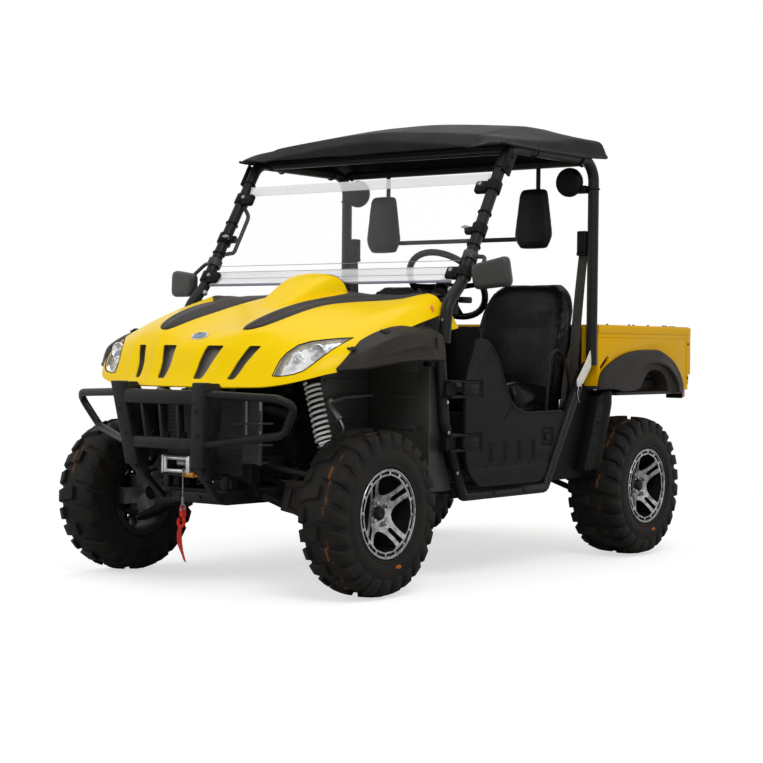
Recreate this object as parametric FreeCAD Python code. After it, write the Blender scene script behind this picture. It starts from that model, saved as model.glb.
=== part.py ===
"""Side by side utility vehicle: two seats, dump bed, steel tube cage, four driven wheels.

Millimetres. +Z up, the nose points to -Y, the driver's (left) side is +X.
The origin is on the ground, midway between the nose and the tail.
Each function below makes one named sub-part and returns its solids.
"""
import FreeCAD
import Part
import math
import os

V = FreeCAD.Vector

# ---------------------------------------------------------------- driving sizes
WHEELBASE = 1920.0
FRONT_OVERHANG = 485.0       # front axle to the bumper's face
REAR_OVERHANG = 495.0        # rear axle to the back of the bed
FRONT_AXLE_Y = -965.0
REAR_AXLE_Y = FRONT_AXLE_Y + WHEELBASE
NOSE_Y = FRONT_AXLE_Y - FRONT_OVERHANG
TAIL_Y = REAR_AXLE_Y + REAR_OVERHANG

TYRE_R = 315.0               # over the lugs
RIM_SEAT_R = 158.0           # where the tyre sits on the rim
RIM_LIP_R = 168.0
RIM_BARREL = 16.0            # thickness of the barrel
FRONT_TRACK_HALF = 632.0     # wheel centre plane from the middle
REAR_TRACK_HALF = 622.0
FRONT_TYRE_W = 200.0
REAR_TYRE_W = 250.0
SPINDLE_R = 20.0
SPINDLE_GAP = 0.05
RUN_GAP = 6.0                # air left round what moves

FRAME_Z0 = 335.0             # underside of the frame rails
RAIL = 50.0                  # rail depth
RAIL_W = 40.0
RAIL_X = 150.0               # rail centre from the middle
SKID_T = 5.0
FLOOR_T = 15.0
FLOOR_Z = FRAME_Z0 + RAIL    # the floor lies on the rails

CAGE_R = 24.0
CAGE_X = 686.0
CAGE_POST_Y = 545.0          # rear post
CAGE_TOP_Z = 1752.0
CAGE_FOOT_Z = 860.0
HOOP_R = 22.0                # tube round each door opening
HOOP_X = 662.0
SILL_Z = 345.0
SEAT_GAP = 0.3               # between pieces that rest on each other
BODY_HALF = HOOP_X - HOOP_R - SEAT_GAP   # side panels end against the hoops

DOOR_X0 = 690.0
DOOR_T = 28.0
DOOR_X1 = DOOR_X0 + DOOR_T
DOOR_HINGE_Y = -468.0

BED_Y0 = 578.0
BED_SIDE_X = 700.0           # outer skin
BED_INNER_X = 585.0          # inside wall of the load space
BED_FLOOR_Z = 770.0
BED_TOP_Z = 1040.0
BED_SHEET = 12.0
BED_RAIL = 26.0
BED_PIVOT_Y = REAR_AXLE_Y + 335.0
BED_PIVOT_Z = 735.0
BED_PIVOT_R = 12.0
BED_PIVOT_END = 250.0
BED_EAR_X = 220.0
TAILGATE_T = 22.0
TAILGATE_Z0 = 800.0
TAILGATE_R = 9.0             # hinge barrel
GATE_PIN_R = 4.0
GATE_HINGE_BACK = 12.0       # hinge line behind the bed's end
GATE_ARM = (440.0, 520.0)    # bed's hinge arm, from the middle
GATE_LEAF = (334.0, 434.0)   # tailgate's hinge leaf, from the middle

KINGPIN_X = 555.0
KINGPIN_R = 10.0
KINGPIN_GAP = 0.09
HUB_Z = TYRE_R
STEER_ARM = 60.0

ROOF_WALL = 8.0
ROOF_HALF = CAGE_X + CAGE_R + ROOF_WALL + 4
ROOF_Y0 = -212.0
ROOF_Y1 = 634.0
ROOF_LIP_Z = 1745.0
ROOF_TOP_Z = 1922.0


# ---------------------------------------------------------------- small tools
def box(x0, x1, y0, y1, z0, z1):
    return Part.makeBox(x1 - x0, y1 - y0, z1 - z0, V(x0, y0, z0))


def rod(p, q, r):
    """Round bar of radius r from point p to point q."""
    p, q = V(*p), V(*q)
    return Part.makeCylinder(r, (q - p).Length, p, q - p)


def mirror(shape):
    return shape.mirror(V(0, 0, 0), V(1, 0, 0))


def both_sides(shapes):
    return list(shapes) + [mirror(s) for s in shapes]


def fuse(shapes):
    first, rest = shapes[0], shapes[1:]
    return first.multiFuse(rest).removeSplitter() if rest else first


def polygon(points):
    return Part.makePolygon([V(*p) for p in points] + [V(*points[0])])


def plate(points, axis, low, high):
    """Flat plate: an outline of 2-D points in the plane across an axis, from low to high along it."""
    place = {"x": lambda a, b: (low, a, b), "y": lambda a, b: (a, low, b), "z": lambda a, b: (a, b, low)}
    along = {"x": V(1, 0, 0), "y": V(0, 1, 0), "z": V(0, 0, 1)}
    face = Part.Face(polygon([place[axis](*p) for p in points]))
    return face.extrude(along[axis] * (high - low))


def bent_path(points, radius):
    """Wire of straight runs joined by tangent arcs."""
    points = [V(*p) for p in points]
    edges, start = [], points[0]
    for before, corner, after in zip(points, points[1:], points[2:]):
        into, out = (before - corner).normalize(), (after - corner).normalize()
        half = into.getAngle(out) / 2
        cut = radius / math.tan(half)
        first, last = corner + into * cut, corner + out * cut
        middle = corner + (into + out).normalize() * (radius / math.sin(half) - radius)
        edges.append(Part.LineSegment(start, first).toShape())
        edges.append(Part.Arc(first, middle, last).toShape())
        start = last
    edges.append(Part.LineSegment(start, points[-1]).toShape())
    return Part.Wire(edges)


def tube(points, r, bend=60.0):
    """Round tube with bends of the given radius."""
    if len(points) == 2:
        return rod(points[0], points[1], r)
    path = bent_path(points, bend)
    start = V(*points[0])
    ring = Part.Wire(Part.makeCircle(r, start, V(*points[1]) - start))
    return path.makePipeShell([ring], True, False)


def loft(sections):
    """Ruled solid through closed outlines of 3-D points."""
    return Part.makeLoft([polygon(s) for s in sections], True, True)


def spin_x(profile, centre):
    """Solid of revolution about X from (along, radius) points, at a centre."""
    face = Part.Face(polygon([(a, 0.0, r) for a, r in profile]))
    solid = face.revolve(V(0, 0, 0), V(1, 0, 0), 360)
    solid.translate(V(*centre))
    return solid


def bored(shape, p, q, r):
    return shape.cut(rod(p, q, r))


def rounded(shape, r, pick):
    """Fillet of radius r on the edges that pick accepts by their middle point and direction."""
    chosen = []
    for edge in shape.Edges:
        ends = edge.Vertexes
        if len(ends) == 2 and edge.Curve.TypeId == "Part::GeomLine":
            along = (ends[1].Point - ends[0].Point).normalize()
            if pick(edge.CenterOfMass, along):
                chosen.append(edge)
    return shape.makeFillet(r, chosen) if chosen else shape


def is_along(axis):
    return lambda middle, along: abs(along.dot(axis)) > 0.99


# ---------------------------------------------------------------- wheels
WHEELS = {
    # name: (x, y, tyre width)
    "front_left": (FRONT_TRACK_HALF, FRONT_AXLE_Y, FRONT_TYRE_W),
    "front_right": (-FRONT_TRACK_HALF, FRONT_AXLE_Y, FRONT_TYRE_W),
    "rear_left": (REAR_TRACK_HALF, REAR_AXLE_Y, REAR_TYRE_W),
    "rear_right": (-REAR_TRACK_HALF, REAR_AXLE_Y, REAR_TYRE_W),
}
SPINDLE_REACH = 40.0         # how far inside the wheel's centre plane the hub starts
HUB_R = 46.0
FACE_T = 14.0                # spoked face of the rim
LIP_T = 7.0
DISC_R = 88.0
DISC_T = 5.0
DISH = 36.0                  # the hub plate lies this far inside the spokes' outer ends
HUB_PLATE_R = 62.0
SPOKE_R = 114.0              # radius of the spokes' outer ends
WINDOWS = ((97.0, 25.0), (84.0, 17.0))   # each spoke gap as two holes: radius of the centre, of the hole


def bead_half(width):
    return width / 2 - 12


def rim_face(width):
    """Outer end of the spokes from the wheel's centre plane, just inside the lip."""
    return bead_half(width) + LIP_T - 16


def tyre(name):
    x, y, width = WHEELS[name]
    half, bead = width / 2, bead_half(width)
    shoulder = half * 0.70
    side = [(bead, RIM_SEAT_R), (bead, RIM_LIP_R + SEAT_GAP), (bead + 9, RIM_LIP_R + 8), (half, 222.0),
            (half * 0.985, TYRE_R - 57), (half * 0.86, TYRE_R - 23), (shoulder, TYRE_R - 7),
            (shoulder * 0.55, TYRE_R)]
    profile = side + [(-a, r) for a, r in reversed(side)]
    return [spin_x(profile, (x, y, HUB_Z))]


def rim(name):
    x, y, width = WHEELS[name]
    out = 1 if x > 0 else -1
    bead = bead_half(width)
    seat = RIM_SEAT_R - SEAT_GAP
    inner = seat - RIM_BARREL
    lip0, lip1 = bead + SEAT_GAP, bead + LIP_T + SEAT_GAP
    face = rim_face(width)
    barrel = [(-lip1, inner), (lip1, inner), (lip1, RIM_LIP_R), (lip0, RIM_LIP_R), (lip0, seat),
              (-lip0, seat), (-lip0, RIM_LIP_R), (-lip1, RIM_LIP_R)]
    hub_face = face - DISH
    hub = [(-SPINDLE_REACH, SPINDLE_R + SPINDLE_GAP), (hub_face - FACE_T, SPINDLE_R + SPINDLE_GAP),
           (hub_face - FACE_T, 0), (hub_face + 14, 0), (hub_face + 14, 24), (hub_face, 28), (hub_face, HUB_PLATE_R),
           (face, SPOKE_R), (face, inner + 1), (face - FACE_T, inner + 1), (face - FACE_T, SPOKE_R + 3),
           (hub_face - FACE_T, HUB_PLATE_R + 4), (hub_face - FACE_T, HUB_R), (-SPINDLE_REACH + 20, HUB_R),
           (-SPINDLE_REACH + 20, DISC_R), (-SPINDLE_REACH + 20 - DISC_T, DISC_R),
           (-SPINDLE_REACH + 20 - DISC_T, HUB_R), (-SPINDLE_REACH, HUB_R)]
    solid = spin_x(barrel, (0, 0, 0)).fuse(spin_x(hub, (0, 0, 0)))
    for turn in range(4):
        angle = math.radians(90 * turn + 20)
        for reach, r in WINDOWS:
            y1, z1 = math.cos(angle) * reach, math.sin(angle) * reach
            solid = solid.cut(rod((hub_face - FACE_T - 2, y1, z1), (face + 2, y1, z1), r))
    if out < 0:
        solid = mirror(solid)
    solid.translate(V(x, y, HUB_Z))
    return [solid]


# ---------------------------------------------------------------- knuckles and suspension
LOWER_BALL_Z = 222.0
UPPER_BALL_Z = 414.0
BALL_BOSS = 26.0             # height of an arm's eye
BALL_GAP = 5.5
BLOCK_RISE = 30.0            # the upright's foot over the lower ball, clear of the rising arm at full lock
ARM_R = 13.0
BUSH_R = 18.0
ARM_FOOT_X = RAIL_X + RAIL_W / 2 + BUSH_R
ARM_SPREAD = 92.0            # bushes from the axle's line
ARM_NOSE = 22.0              # the same at the knuckle
LOWER_FOOT_Z = FRAME_Z0 + 24
UPPER_FOOT_Z = 480.0
CALIPER_GAP = 6.0
RACK_Z = 400.0
RACK_Y = FRONT_AXLE_Y + STEER_ARM
TIE_ROD_R = 8.0
RACK_GAP = 0.05
TIE_EYE_R = 11.0
TIE_EYE_H = 14.0
TIE_END_X = KINGPIN_X - 15


def upright(track, y, width, steered):
    """Knuckle of the left side: upright block, spindle into the wheel's hub, brake caliper."""
    hub_in = track - SPINDLE_REACH
    spindle_end = track + rim_face(width) - DISH - FACE_T - 2
    block_x0, block_x1 = KINGPIN_X - 14, hub_in - RUN_GAP
    z0, z1 = LOWER_BALL_Z + BLOCK_RISE, UPPER_BALL_Z - BALL_BOSS / 2 - BALL_GAP
    block = box(block_x0, block_x1, y - 32, y + 32, z0, z1)
    spindle = rod((block_x1 - 1, y, HUB_Z), (spindle_end, y, HUB_Z), SPINDLE_R)
    disc_x = hub_in + 20 - DISC_T
    hub_clear = HUB_R + RUN_GAP
    caliper = box(block_x0, disc_x + DISC_T + CALIPER_GAP + 12, y - DISC_R - 22, y - hub_clear,
                  HUB_Z - 32, HUB_Z + 32)
    caliper = caliper.fuse(box(block_x0, block_x1, y - hub_clear - 1, y - 31, HUB_Z - 32, HUB_Z + 32))
    slot = box(disc_x - CALIPER_GAP, disc_x + DISC_T + CALIPER_GAP, y - DISC_R - CALIPER_GAP, y + DISC_R,
               HUB_Z - DISC_R, HUB_Z + DISC_R)
    body = block.fuse([spindle, caliper.cut(slot)])
    pins = [rod((KINGPIN_X, y, z0 + 1), (KINGPIN_X, y, LOWER_BALL_Z - BALL_BOSS / 2 - 3), KINGPIN_R),
            rod((KINGPIN_X, y, z1 - 1), (KINGPIN_X, y, UPPER_BALL_Z + BALL_BOSS / 2 + 3), KINGPIN_R)]
    body = body.fuse(pins)
    if steered:
        top = RACK_Z - TIE_EYE_H / 2 - RUN_GAP
        arm = plate([(KINGPIN_X - 12, y + 20), (KINGPIN_X + 20, y + 20), (KINGPIN_X + 2, y + STEER_ARM + 12),
                     (KINGPIN_X - 30, y + STEER_ARM + 12)], "z", top - 14, top)
        body = body.fuse(arm)
    return body.removeSplitter()


def wishbone(y, foot_z, ball_z):
    """One arm of the left side: two legs from the frame's bushes to the eye round the kingpin."""
    eye = rod((KINGPIN_X, y, ball_z - BALL_BOSS / 2), (KINGPIN_X, y, ball_z + BALL_BOSS / 2), 20.0)
    pieces = [eye]
    for s in (-1, 1):
        foot = y + s * ARM_SPREAD
        pieces.append(rod((ARM_FOOT_X, foot, foot_z), (KINGPIN_X - 8, y + s * ARM_NOSE, ball_z), ARM_R))
        pieces.append(rod((ARM_FOOT_X, foot - 22, foot_z), (ARM_FOOT_X, foot + 22, foot_z), BUSH_R))
    middle_x, middle_z = (ARM_FOOT_X + KINGPIN_X) / 2, (foot_z + ball_z) / 2
    pieces.append(rod((middle_x, y - 50, middle_z), (middle_x, y + 50, middle_z), ARM_R * 0.8))
    bore_r = KINGPIN_R + KINGPIN_GAP
    return bored(fuse(pieces), (KINGPIN_X, y, ball_z - 40), (KINGPIN_X, y, ball_z + 40), bore_r)


def suspension_arms():
    heights = ((LOWER_FOOT_Z, LOWER_BALL_Z), (UPPER_FOOT_Z, UPPER_BALL_Z))
    left = [wishbone(y, foot_z, ball_z) for y in (FRONT_AXLE_Y, REAR_AXLE_Y) for foot_z, ball_z in heights]
    return both_sides(left)


def left_knuckle():
    return [upright(FRONT_TRACK_HALF, FRONT_AXLE_Y, FRONT_TYRE_W, True)]


def right_knuckle():
    return [mirror(left_knuckle()[0])]


def rear_knuckles():
    return both_sides([upright(REAR_TRACK_HALF, REAR_AXLE_Y, REAR_TYRE_W, False)])


def tie_rods():
    """Steering rack bar and its tie rods; the eyes pass over the steering arms."""
    bar = rod((-TIE_END_X, RACK_Y, RACK_Z), (TIE_END_X, RACK_Y, RACK_Z), TIE_ROD_R)
    half = TIE_EYE_H / 2
    eyes = [rod((s * TIE_END_X, RACK_Y, RACK_Z - half), (s * TIE_END_X, RACK_Y, RACK_Z + half), TIE_EYE_R)
            for s in (-1, 1)]
    return [fuse([bar] + eyes)]


SHOCK_EYE_R = 13.0
SHOCKS = {
    # axle: (y, top x, top z, bottom x); the bottom eye stands on the upper arm
    "front": (FRONT_AXLE_Y - 37, 372.0, 826.0, 478.0),
    "rear": (REAR_AXLE_Y - 46, 380.0, 648.0, 436.0),
}
SPRING_R = 34.0
DAMPER_R = 14.0


def arm_top(x):
    """Height of the upper arm's top at x."""
    share = (x - ARM_FOOT_X) / (KINGPIN_X - 8 - ARM_FOOT_X)
    return UPPER_FOOT_Z + (UPPER_BALL_Z - UPPER_FOOT_Z) * share + ARM_R


def shocks():
    """Coil-over dampers as plain bodies; the coils' own shape is a finish."""
    found = []
    for y, x1, z1, x0 in SHOCKS.values():
        low, high = V(x0, y, arm_top(x0) + SHOCK_EYE_R + 1), V(x1, y, z1)
        run = high - low
        spring = rod(low + run * 0.32, low + run * 0.92, SPRING_R)
        eyes = [rod((p.x, y - 17, p.z), (p.x, y + 17, p.z), SHOCK_EYE_R) for p in (low, high)]
        shaft = rod(low, high, DAMPER_R * 0.8)
        found.append(fuse([spring, shaft] + eyes))
    return both_sides(found)


def half_shafts():
    """Drive shafts from the gear cases out to the knuckles, with their boots."""
    found = []
    for y, case_half in ((FRONT_AXLE_Y, FRONT_CASE_HALF), (REAR_AXLE_Y, REAR_CASE_HALF)):
        inner, outer = V(case_half, y, SHAFT_OUT_Z), V(KINGPIN_X - 36, y, HUB_Z + 6)
        run = outer - inner
        pieces = [rod(inner, outer, 12.0), rod(inner, inner + run * 0.11, 32.0),
                  rod(inner + run * 0.80, inner + run * 0.96, 30.0)]
        found.append(fuse(pieces).cut(box(0, case_half + SEAT_GAP, y - 90, y + 90, 250, 500)))
    return both_sides(found)


FRONT_CASE_HALF = 72.0
REAR_CASE_HALF = 84.0
SHAFT_OUT_Z = 426.0
PROP_Z = 360.0
PROP_R = 17.0


def gearcases():
    """Front and rear gear cases with the propeller shaft between them, under the engine."""
    cases = []
    for y, half, ahead, behind in ((FRONT_AXLE_Y, FRONT_CASE_HALF, 85.0, 38.0),
                                   (REAR_AXLE_Y, REAR_CASE_HALF, 110.0, 110.0)):
        case = box(-half, half, y - ahead, y + behind, FRAME_Z0, SHAFT_OUT_Z + 38)
        cases.append(rounded(case, 26.0, is_along(V(1, 0, 0))))
    shaft = rod((0, FRONT_AXLE_Y + 20, PROP_Z), (0, REAR_AXLE_Y - 105, PROP_Z), PROP_R)
    return [fuse(cases + [shaft])]


# ---------------------------------------------------------------- frame and underside
FRAME_FRONT_Y = -1240.0
FRONT_TOWER_Y = -1105.0
SHOCK_TOWER_Y = FRONT_AXLE_Y + 125
REAR_TOWER_Y = REAR_AXLE_Y + 195
FRAME_REAR_Y = REAR_AXLE_Y + 345
DECK_FRONT_Y = REAR_AXLE_Y - 265
TOWER_BAR = (715.0, 745.0)
DECK = (662.0, 700.0)        # rear frame bars under the bed
PERCH_T = 24.0               # plate over the front shocks
BOX_BAR = (468.0, 508.0)     # bar that carries the upper arms


def chassis_frame():
    """Ladder of two rails, cross members, outriggers to the sills, and towers for the suspension."""
    z0, z1 = FRAME_Z0, FRAME_Z0 + RAIL
    x0, x1 = RAIL_X - RAIL_W / 2, RAIL_X + RAIL_W / 2
    perch_z = SHOCKS["front"][2] + SHOCK_EYE_R + SEAT_GAP
    rear_perch_z = SHOCKS["rear"][2] + SHOCK_EYE_R + SEAT_GAP
    left = [box(x0, x1, FRAME_FRONT_Y, FRAME_REAR_Y, z0, z1)]
    for y, top in ((FRONT_TOWER_Y, TOWER_BAR[1]), (SHOCK_TOWER_Y, perch_z + PERCH_T), (REAR_TOWER_Y, DECK[1]),
                   (DECK_FRONT_Y, DECK[1])):
        left.append(box(x0, x1, y - 18, y + 18, z1 - 1, top))
    left.append(box(x0, x1, FRONT_TOWER_Y, SHOCK_TOWER_Y, *TOWER_BAR))
    left.append(box(x0, x1, DECK_FRONT_Y, FRAME_REAR_Y, *DECK))
    for y in (FRONT_AXLE_Y, REAR_AXLE_Y):
        left.append(box(x0, x1, y - 140, y + 140, *BOX_BAR))
    for y in (REAR_AXLE_Y - 128, REAR_AXLE_Y + 128):
        left.append(box(x0, x1, y - 12, y + 12, z1 - 1, BOX_BAR[1]))
    reach = SHOCKS["front"][1] + 14
    left.append(box(x0, reach, SHOCKS["front"][0] - 20, SHOCK_TOWER_Y + 18, perch_z, perch_z + PERCH_T))
    reach = SHOCKS["rear"][1] + 14
    left.append(box(x0, reach, SHOCKS["rear"][0] - 20, SHOCKS["rear"][0] + 20, rear_perch_z, DECK[1]))
    pieces = both_sides(left)
    for y in (FRAME_FRONT_Y + 18, -700.0, -380.0, 120.0, DECK_FRONT_Y - 50, FRAME_REAR_Y - 18):
        pieces.append(box(-x1, x1, y - 18, y + 18, z0, z1))
    for y in (-330.0, 110.0):
        pieces.append(box(-BODY_HALF, BODY_HALF, y - 18, y + 18, z0 + 8, z1))
    pieces.append(box(-x1, x1, SHOCK_TOWER_Y - 18, SHOCK_TOWER_Y + 18, perch_z, perch_z + PERCH_T))
    pieces.append(box(-x1, x1, FRAME_REAR_Y - 36, FRAME_REAR_Y, *DECK))
    pieces.append(box(-x1, x1, FRONT_TOWER_Y - 18, FRONT_TOWER_Y + 18, *TOWER_BAR))
    for s in (-1, 1):
        post_x = s * RAIL_X
        pieces.append(box(post_x - 18, post_x + 18, BED_PIVOT_Y - 20, BED_PIVOT_Y + 10, DECK[1] - 1,
                          BED_PIVOT_Z + 8))
    pieces.append(rod((-BED_PIVOT_END, BED_PIVOT_Y, BED_PIVOT_Z), (BED_PIVOT_END, BED_PIVOT_Y, BED_PIVOT_Z),
                      BED_PIVOT_R))
    pieces.append(rod((-RAIL_X, RACK_Y, RACK_Z), (RAIL_X, RACK_Y, RACK_Z), TIE_ROD_R + 8))
    for s in (-1, 1):
        pieces.append(box(s * RAIL_X - 18, s * RAIL_X + 18, RACK_Y - 16, RACK_Y + 16, z1 - 1, RACK_Z))
    frame = fuse(pieces)
    rack_bore = rod((-RAIL_X - 30, RACK_Y, RACK_Z), (RAIL_X + 30, RACK_Y, RACK_Z), TIE_ROD_R + RACK_GAP)
    return [frame.cut([rod((0, FRONT_AXLE_Y, PROP_Z), (0, REAR_AXLE_Y, PROP_Z), PROP_R + RUN_GAP), rack_bore])]


def skid_plate():
    z1 = FRAME_Z0 - 0.3
    right = [(165, FRAME_FRONT_Y + 5), (200, -780), (250, -640), (250, 560)]
    outline = right + [(-x, y) for x, y in reversed(right)]
    belly = plate(outline, "z", z1 - SKID_T, z1)
    return [belly]


ENGINE = (-190.0, 190.0, DECK_FRONT_Y - 500, DECK_FRONT_Y - 50, FRAME_Z0 + RAIL + SEAT_GAP, 600.0)


def engine_block():
    return [box(*ENGINE)]


MUFFLER_Y = REAR_AXLE_Y + 270
MUFFLER_Z = 545.0
MUFFLER_R = 56.0


def muffler():
    """Cross-mounted can behind the rear axle, hung from the deck, with its pipe from the engine."""
    can = rod((-250, MUFFLER_Y, MUFFLER_Z), (250, MUFFLER_Y, MUFFLER_Z), MUFFLER_R)
    pipe = rod((60, ENGINE[3] + SEAT_GAP, 540), (60, MUFFLER_Y, MUFFLER_Z), 19.0)
    tail = rod((-238, MUFFLER_Y + 20, MUFFLER_Z + 20), (-300, MUFFLER_Y + 130, MUFFLER_Z + 8), 19.0)
    straps = [box(s * RAIL_X - 10, s * RAIL_X + 10, MUFFLER_Y - 12, MUFFLER_Y + 12, MUFFLER_Z + 40,
                  DECK[0] - SEAT_GAP) for s in (-1, 1)]
    return [fuse([can, pipe, tail] + straps)]


RECEIVER = 63.5
RECEIVER_WALL = 6.35
HITCH_PIN_R = 8.0
HITCH_PIN_Y = FRAME_REAR_Y + 65
HITCH_END_Y = FRAME_REAR_Y + 120
HITCH_Z = FRAME_Z0 + 42


def hitch():
    """Square receiver tube under the tail with a cross hole for its pin."""
    half, inner = RECEIVER / 2, RECEIVER / 2 - RECEIVER_WALL
    y0, y1 = FRAME_REAR_Y + SEAT_GAP, HITCH_END_Y
    tube_out = box(-half, half, y0, y1, HITCH_Z - half, HITCH_Z + half)
    tube_out = tube_out.cut(box(-inner, inner, y0 + 8, y1 + 1, HITCH_Z - inner, HITCH_Z + inner))
    plate_y = box(-RAIL_X, RAIL_X, y0, y0 + 8, HITCH_Z - 42, HITCH_Z + 42)
    body = tube_out.fuse(plate_y).removeSplitter()
    return [bored(body, (-60, HITCH_PIN_Y, HITCH_Z), (60, HITCH_PIN_Y, HITCH_Z), HITCH_PIN_R)]


# ---------------------------------------------------------------- nose
BUMPER_TOP = (212.0, NOSE_Y + 22, 795.0)
BUMPER_KNEE = (168.0, NOSE_Y + 62, 478.0)
BUMPER_FOOT = (138.0, -1257.0, 345.0)
UPRIGHT_W = 62.0
UPRIGHT_D = 44.0


def along_upright(z):
    """Centre of the left upright at a height between its knee and its top."""
    share = (z - BUMPER_KNEE[2]) / (BUMPER_TOP[2] - BUMPER_KNEE[2])
    return [k + (t - k) * share for k, t in zip(BUMPER_KNEE, BUMPER_TOP)]


def front_bumper():
    """Two uprights, two cross bars and three slats, standing on the frame's front cross member."""
    def ring(centre, w, d):
        x, y, z = centre
        return [(x - w / 2, y - d / 2, z), (x + w / 2, y - d / 2, z), (x + w / 2, y + d / 2, z),
                (x - w / 2, y + d / 2, z)]
    pieces = []
    upper = loft([ring(BUMPER_KNEE, UPRIGHT_W, UPRIGHT_D), ring(BUMPER_TOP, UPRIGHT_W, UPRIGHT_D)])
    foot = loft([ring(BUMPER_FOOT, 26, 30), ring(BUMPER_KNEE, 34, 36)])
    pieces += both_sides([upper, foot])
    for z0, z1, deep in ((712.0, 766.0, 40.0), (544.0, 588.0, 36.0)):
        x, y, _ = along_upright((z0 + z1) / 2)
        pieces.append(box(-x, x, y - deep / 2, y + deep / 2, z0, z1))
    for share in (-0.46, 0.0, 0.46):
        low, high = along_upright(586), along_upright(714)
        section = lambda c: [(share * c[0] - 7, c[1] - 15, c[2]), (share * c[0] + 7, c[1] - 15, c[2]),
                             (share * c[0] + 7, c[1] + 15, c[2]), (share * c[0] - 7, c[1] + 15, c[2])]
        pieces.append(loft([section(low), section(high)]))
    pieces.append(box(-BUMPER_FOOT[0] - 13, BUMPER_FOOT[0] + 13, -1262, -1240.3, FRAME_Z0, FRAME_Z0 + 40))
    return [fuse(pieces)]


GUARD_R = 15.0


def bumper_hoops():
    """Round side hoops, each running from the upright's side out, back and in again."""
    top, low = along_upright(752), along_upright(572)
    skin = UPRIGHT_W / 2 + 0.3
    points = [(top[0] + skin, top[1] + 2, 752), (505, -1345, 742), (552, -1300, 716), (478, -1272, 606),
              (low[0] + skin, low[1], 566)]
    hoop = tube(points, GUARD_R, 38.0).cut(front_bumper()[0])
    return both_sides([max(hoop.Solids, key=lambda s: s.Volume)])


WINCH_Z = 482.0


def winch():
    """Drum winch on a tray between the rails, with its roller fairlead in front."""
    drum = rod((-60, -1262, WINCH_Z), (60, -1262, WINCH_Z), 24.0)
    motor = rod((60, -1262, WINCH_Z), (128, -1262, WINCH_Z), 38.0)
    gears = rod((-118, -1262, WINCH_Z), (-60, -1262, WINCH_Z), 36.0)
    tray = box(-128, 128, -1314, -1214, WINCH_Z - 44, WINCH_Z - 36)
    front = box(-95, 95, -1320, -1312, WINCH_Z - 44, WINCH_Z + 42)
    front = front.cut(box(-50, 50, -1330, -1300, WINCH_Z - 20, WINCH_Z + 20))
    rollers = [rod((s * 58, -1334, WINCH_Z - 32), (s * 58, -1334, WINCH_Z + 32), 9.0) for s in (-1, 1)]
    rollers += [rod((-70, ROLLER_Y, WINCH_Z + t), (70, ROLLER_Y, WINCH_Z + t), ROLLER_R) for t in (-24, 24)]
    cheeks = [box(x - 5, x + 5, -1344, -1312, WINCH_Z - 34, WINCH_Z + 34) for x in (-68, 68)]
    posts = [box(s * RAIL_X - 14, s * RAIL_X + 14, -1236, -1214, FRAME_Z0 + RAIL, WINCH_Z - 36)
             for s in (-1, 1)]
    wide_tray = box(-164, 164, -1236, -1214, WINCH_Z - 44, WINCH_Z - 36)
    return [fuse([drum, motor, gears, tray, front, wide_tray] + rollers + cheeks + posts)]


CABLE_R = 3.0
CABLE_X = 44.0
ROLLER_Z = WINCH_Z - 24      # lower roller of the fairlead
ROLLER_Y = -1334.0
ROLLER_R = 8.0
CABLE_OUT = ROLLER_R + CABLE_R + SEAT_GAP    # cable's line from the roller's centre
CABLE_POINTS = ((CABLE_X, -1286.0, 475.0), (CABLE_X, ROLLER_Y - CABLE_OUT, ROLLER_Z + CABLE_OUT),
                (CABLE_X, ROLLER_Y - CABLE_OUT, 330.0))


def winch_cable():
    """Free end of the winch cable: off the drum, over the lower roller and straight down to its hook."""
    print("cable arc radius", CABLE_OUT)
    return [tube(CABLE_POINTS, CABLE_R, CABLE_OUT)]


def winch_hook():
    """Clevis hook on the cable's end with the webbing pull strap below it."""
    x, y, z = CABLE_POINTS[-1]
    body = fuse([box(x - 7, x + 7, y - 11, y + 11, z - 26, z),
                 rod((x, y - 14, z - 16), (x, y + 14, z - 16), 5.0)])
    bow = tube([(x, y, z - 20), (x, y, z - 40), (x - 24, y, z - 52), (x - 24, y, z - 78), (x + 4, y, z - 84)],
               6.5, 9.0)
    strap = plate([(x - 26, z - 76), (x - 8, z - 76), (x - 2, z - 150), (x + 22, z - 205), (x + 4, z - 212),
                   (x - 20, z - 152)], "y", y - 9.5, y - 6.8)
    return [fuse([body, bow]), strap]


def radiator():
    """Radiator core in its tanks, standing on the frame's nose and tied to the front tower."""
    core = box(-200, 200, -1182, -1142, 420, 742)
    tanks = [box(s * 224 - 24, s * 224 + 24, -1190, -1134, 410, 752) for s in (-1, 1)]
    feet = [box(s * RAIL_X - 16, s * RAIL_X + 16, -1178, -1146, FRAME_Z0 + RAIL, 420) for s in (-1, 1)]
    shroud = rod((0, -1142, 590), (0, -1128, 590), 138.0)
    return [fuse([core, shroud] + tanks + feet)]


# ---------------------------------------------------------------- hood, lamps and arches
HOOD_WALL = 7.0
HOOD_REAR_Y = -520.0
HOOD_SIDE_X = CAGE_X - CAGE_R - 4  # clear of the pillars
HOOD_SEAM_Z = 990.0          # lower edge of the hood's sides at the back
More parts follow.
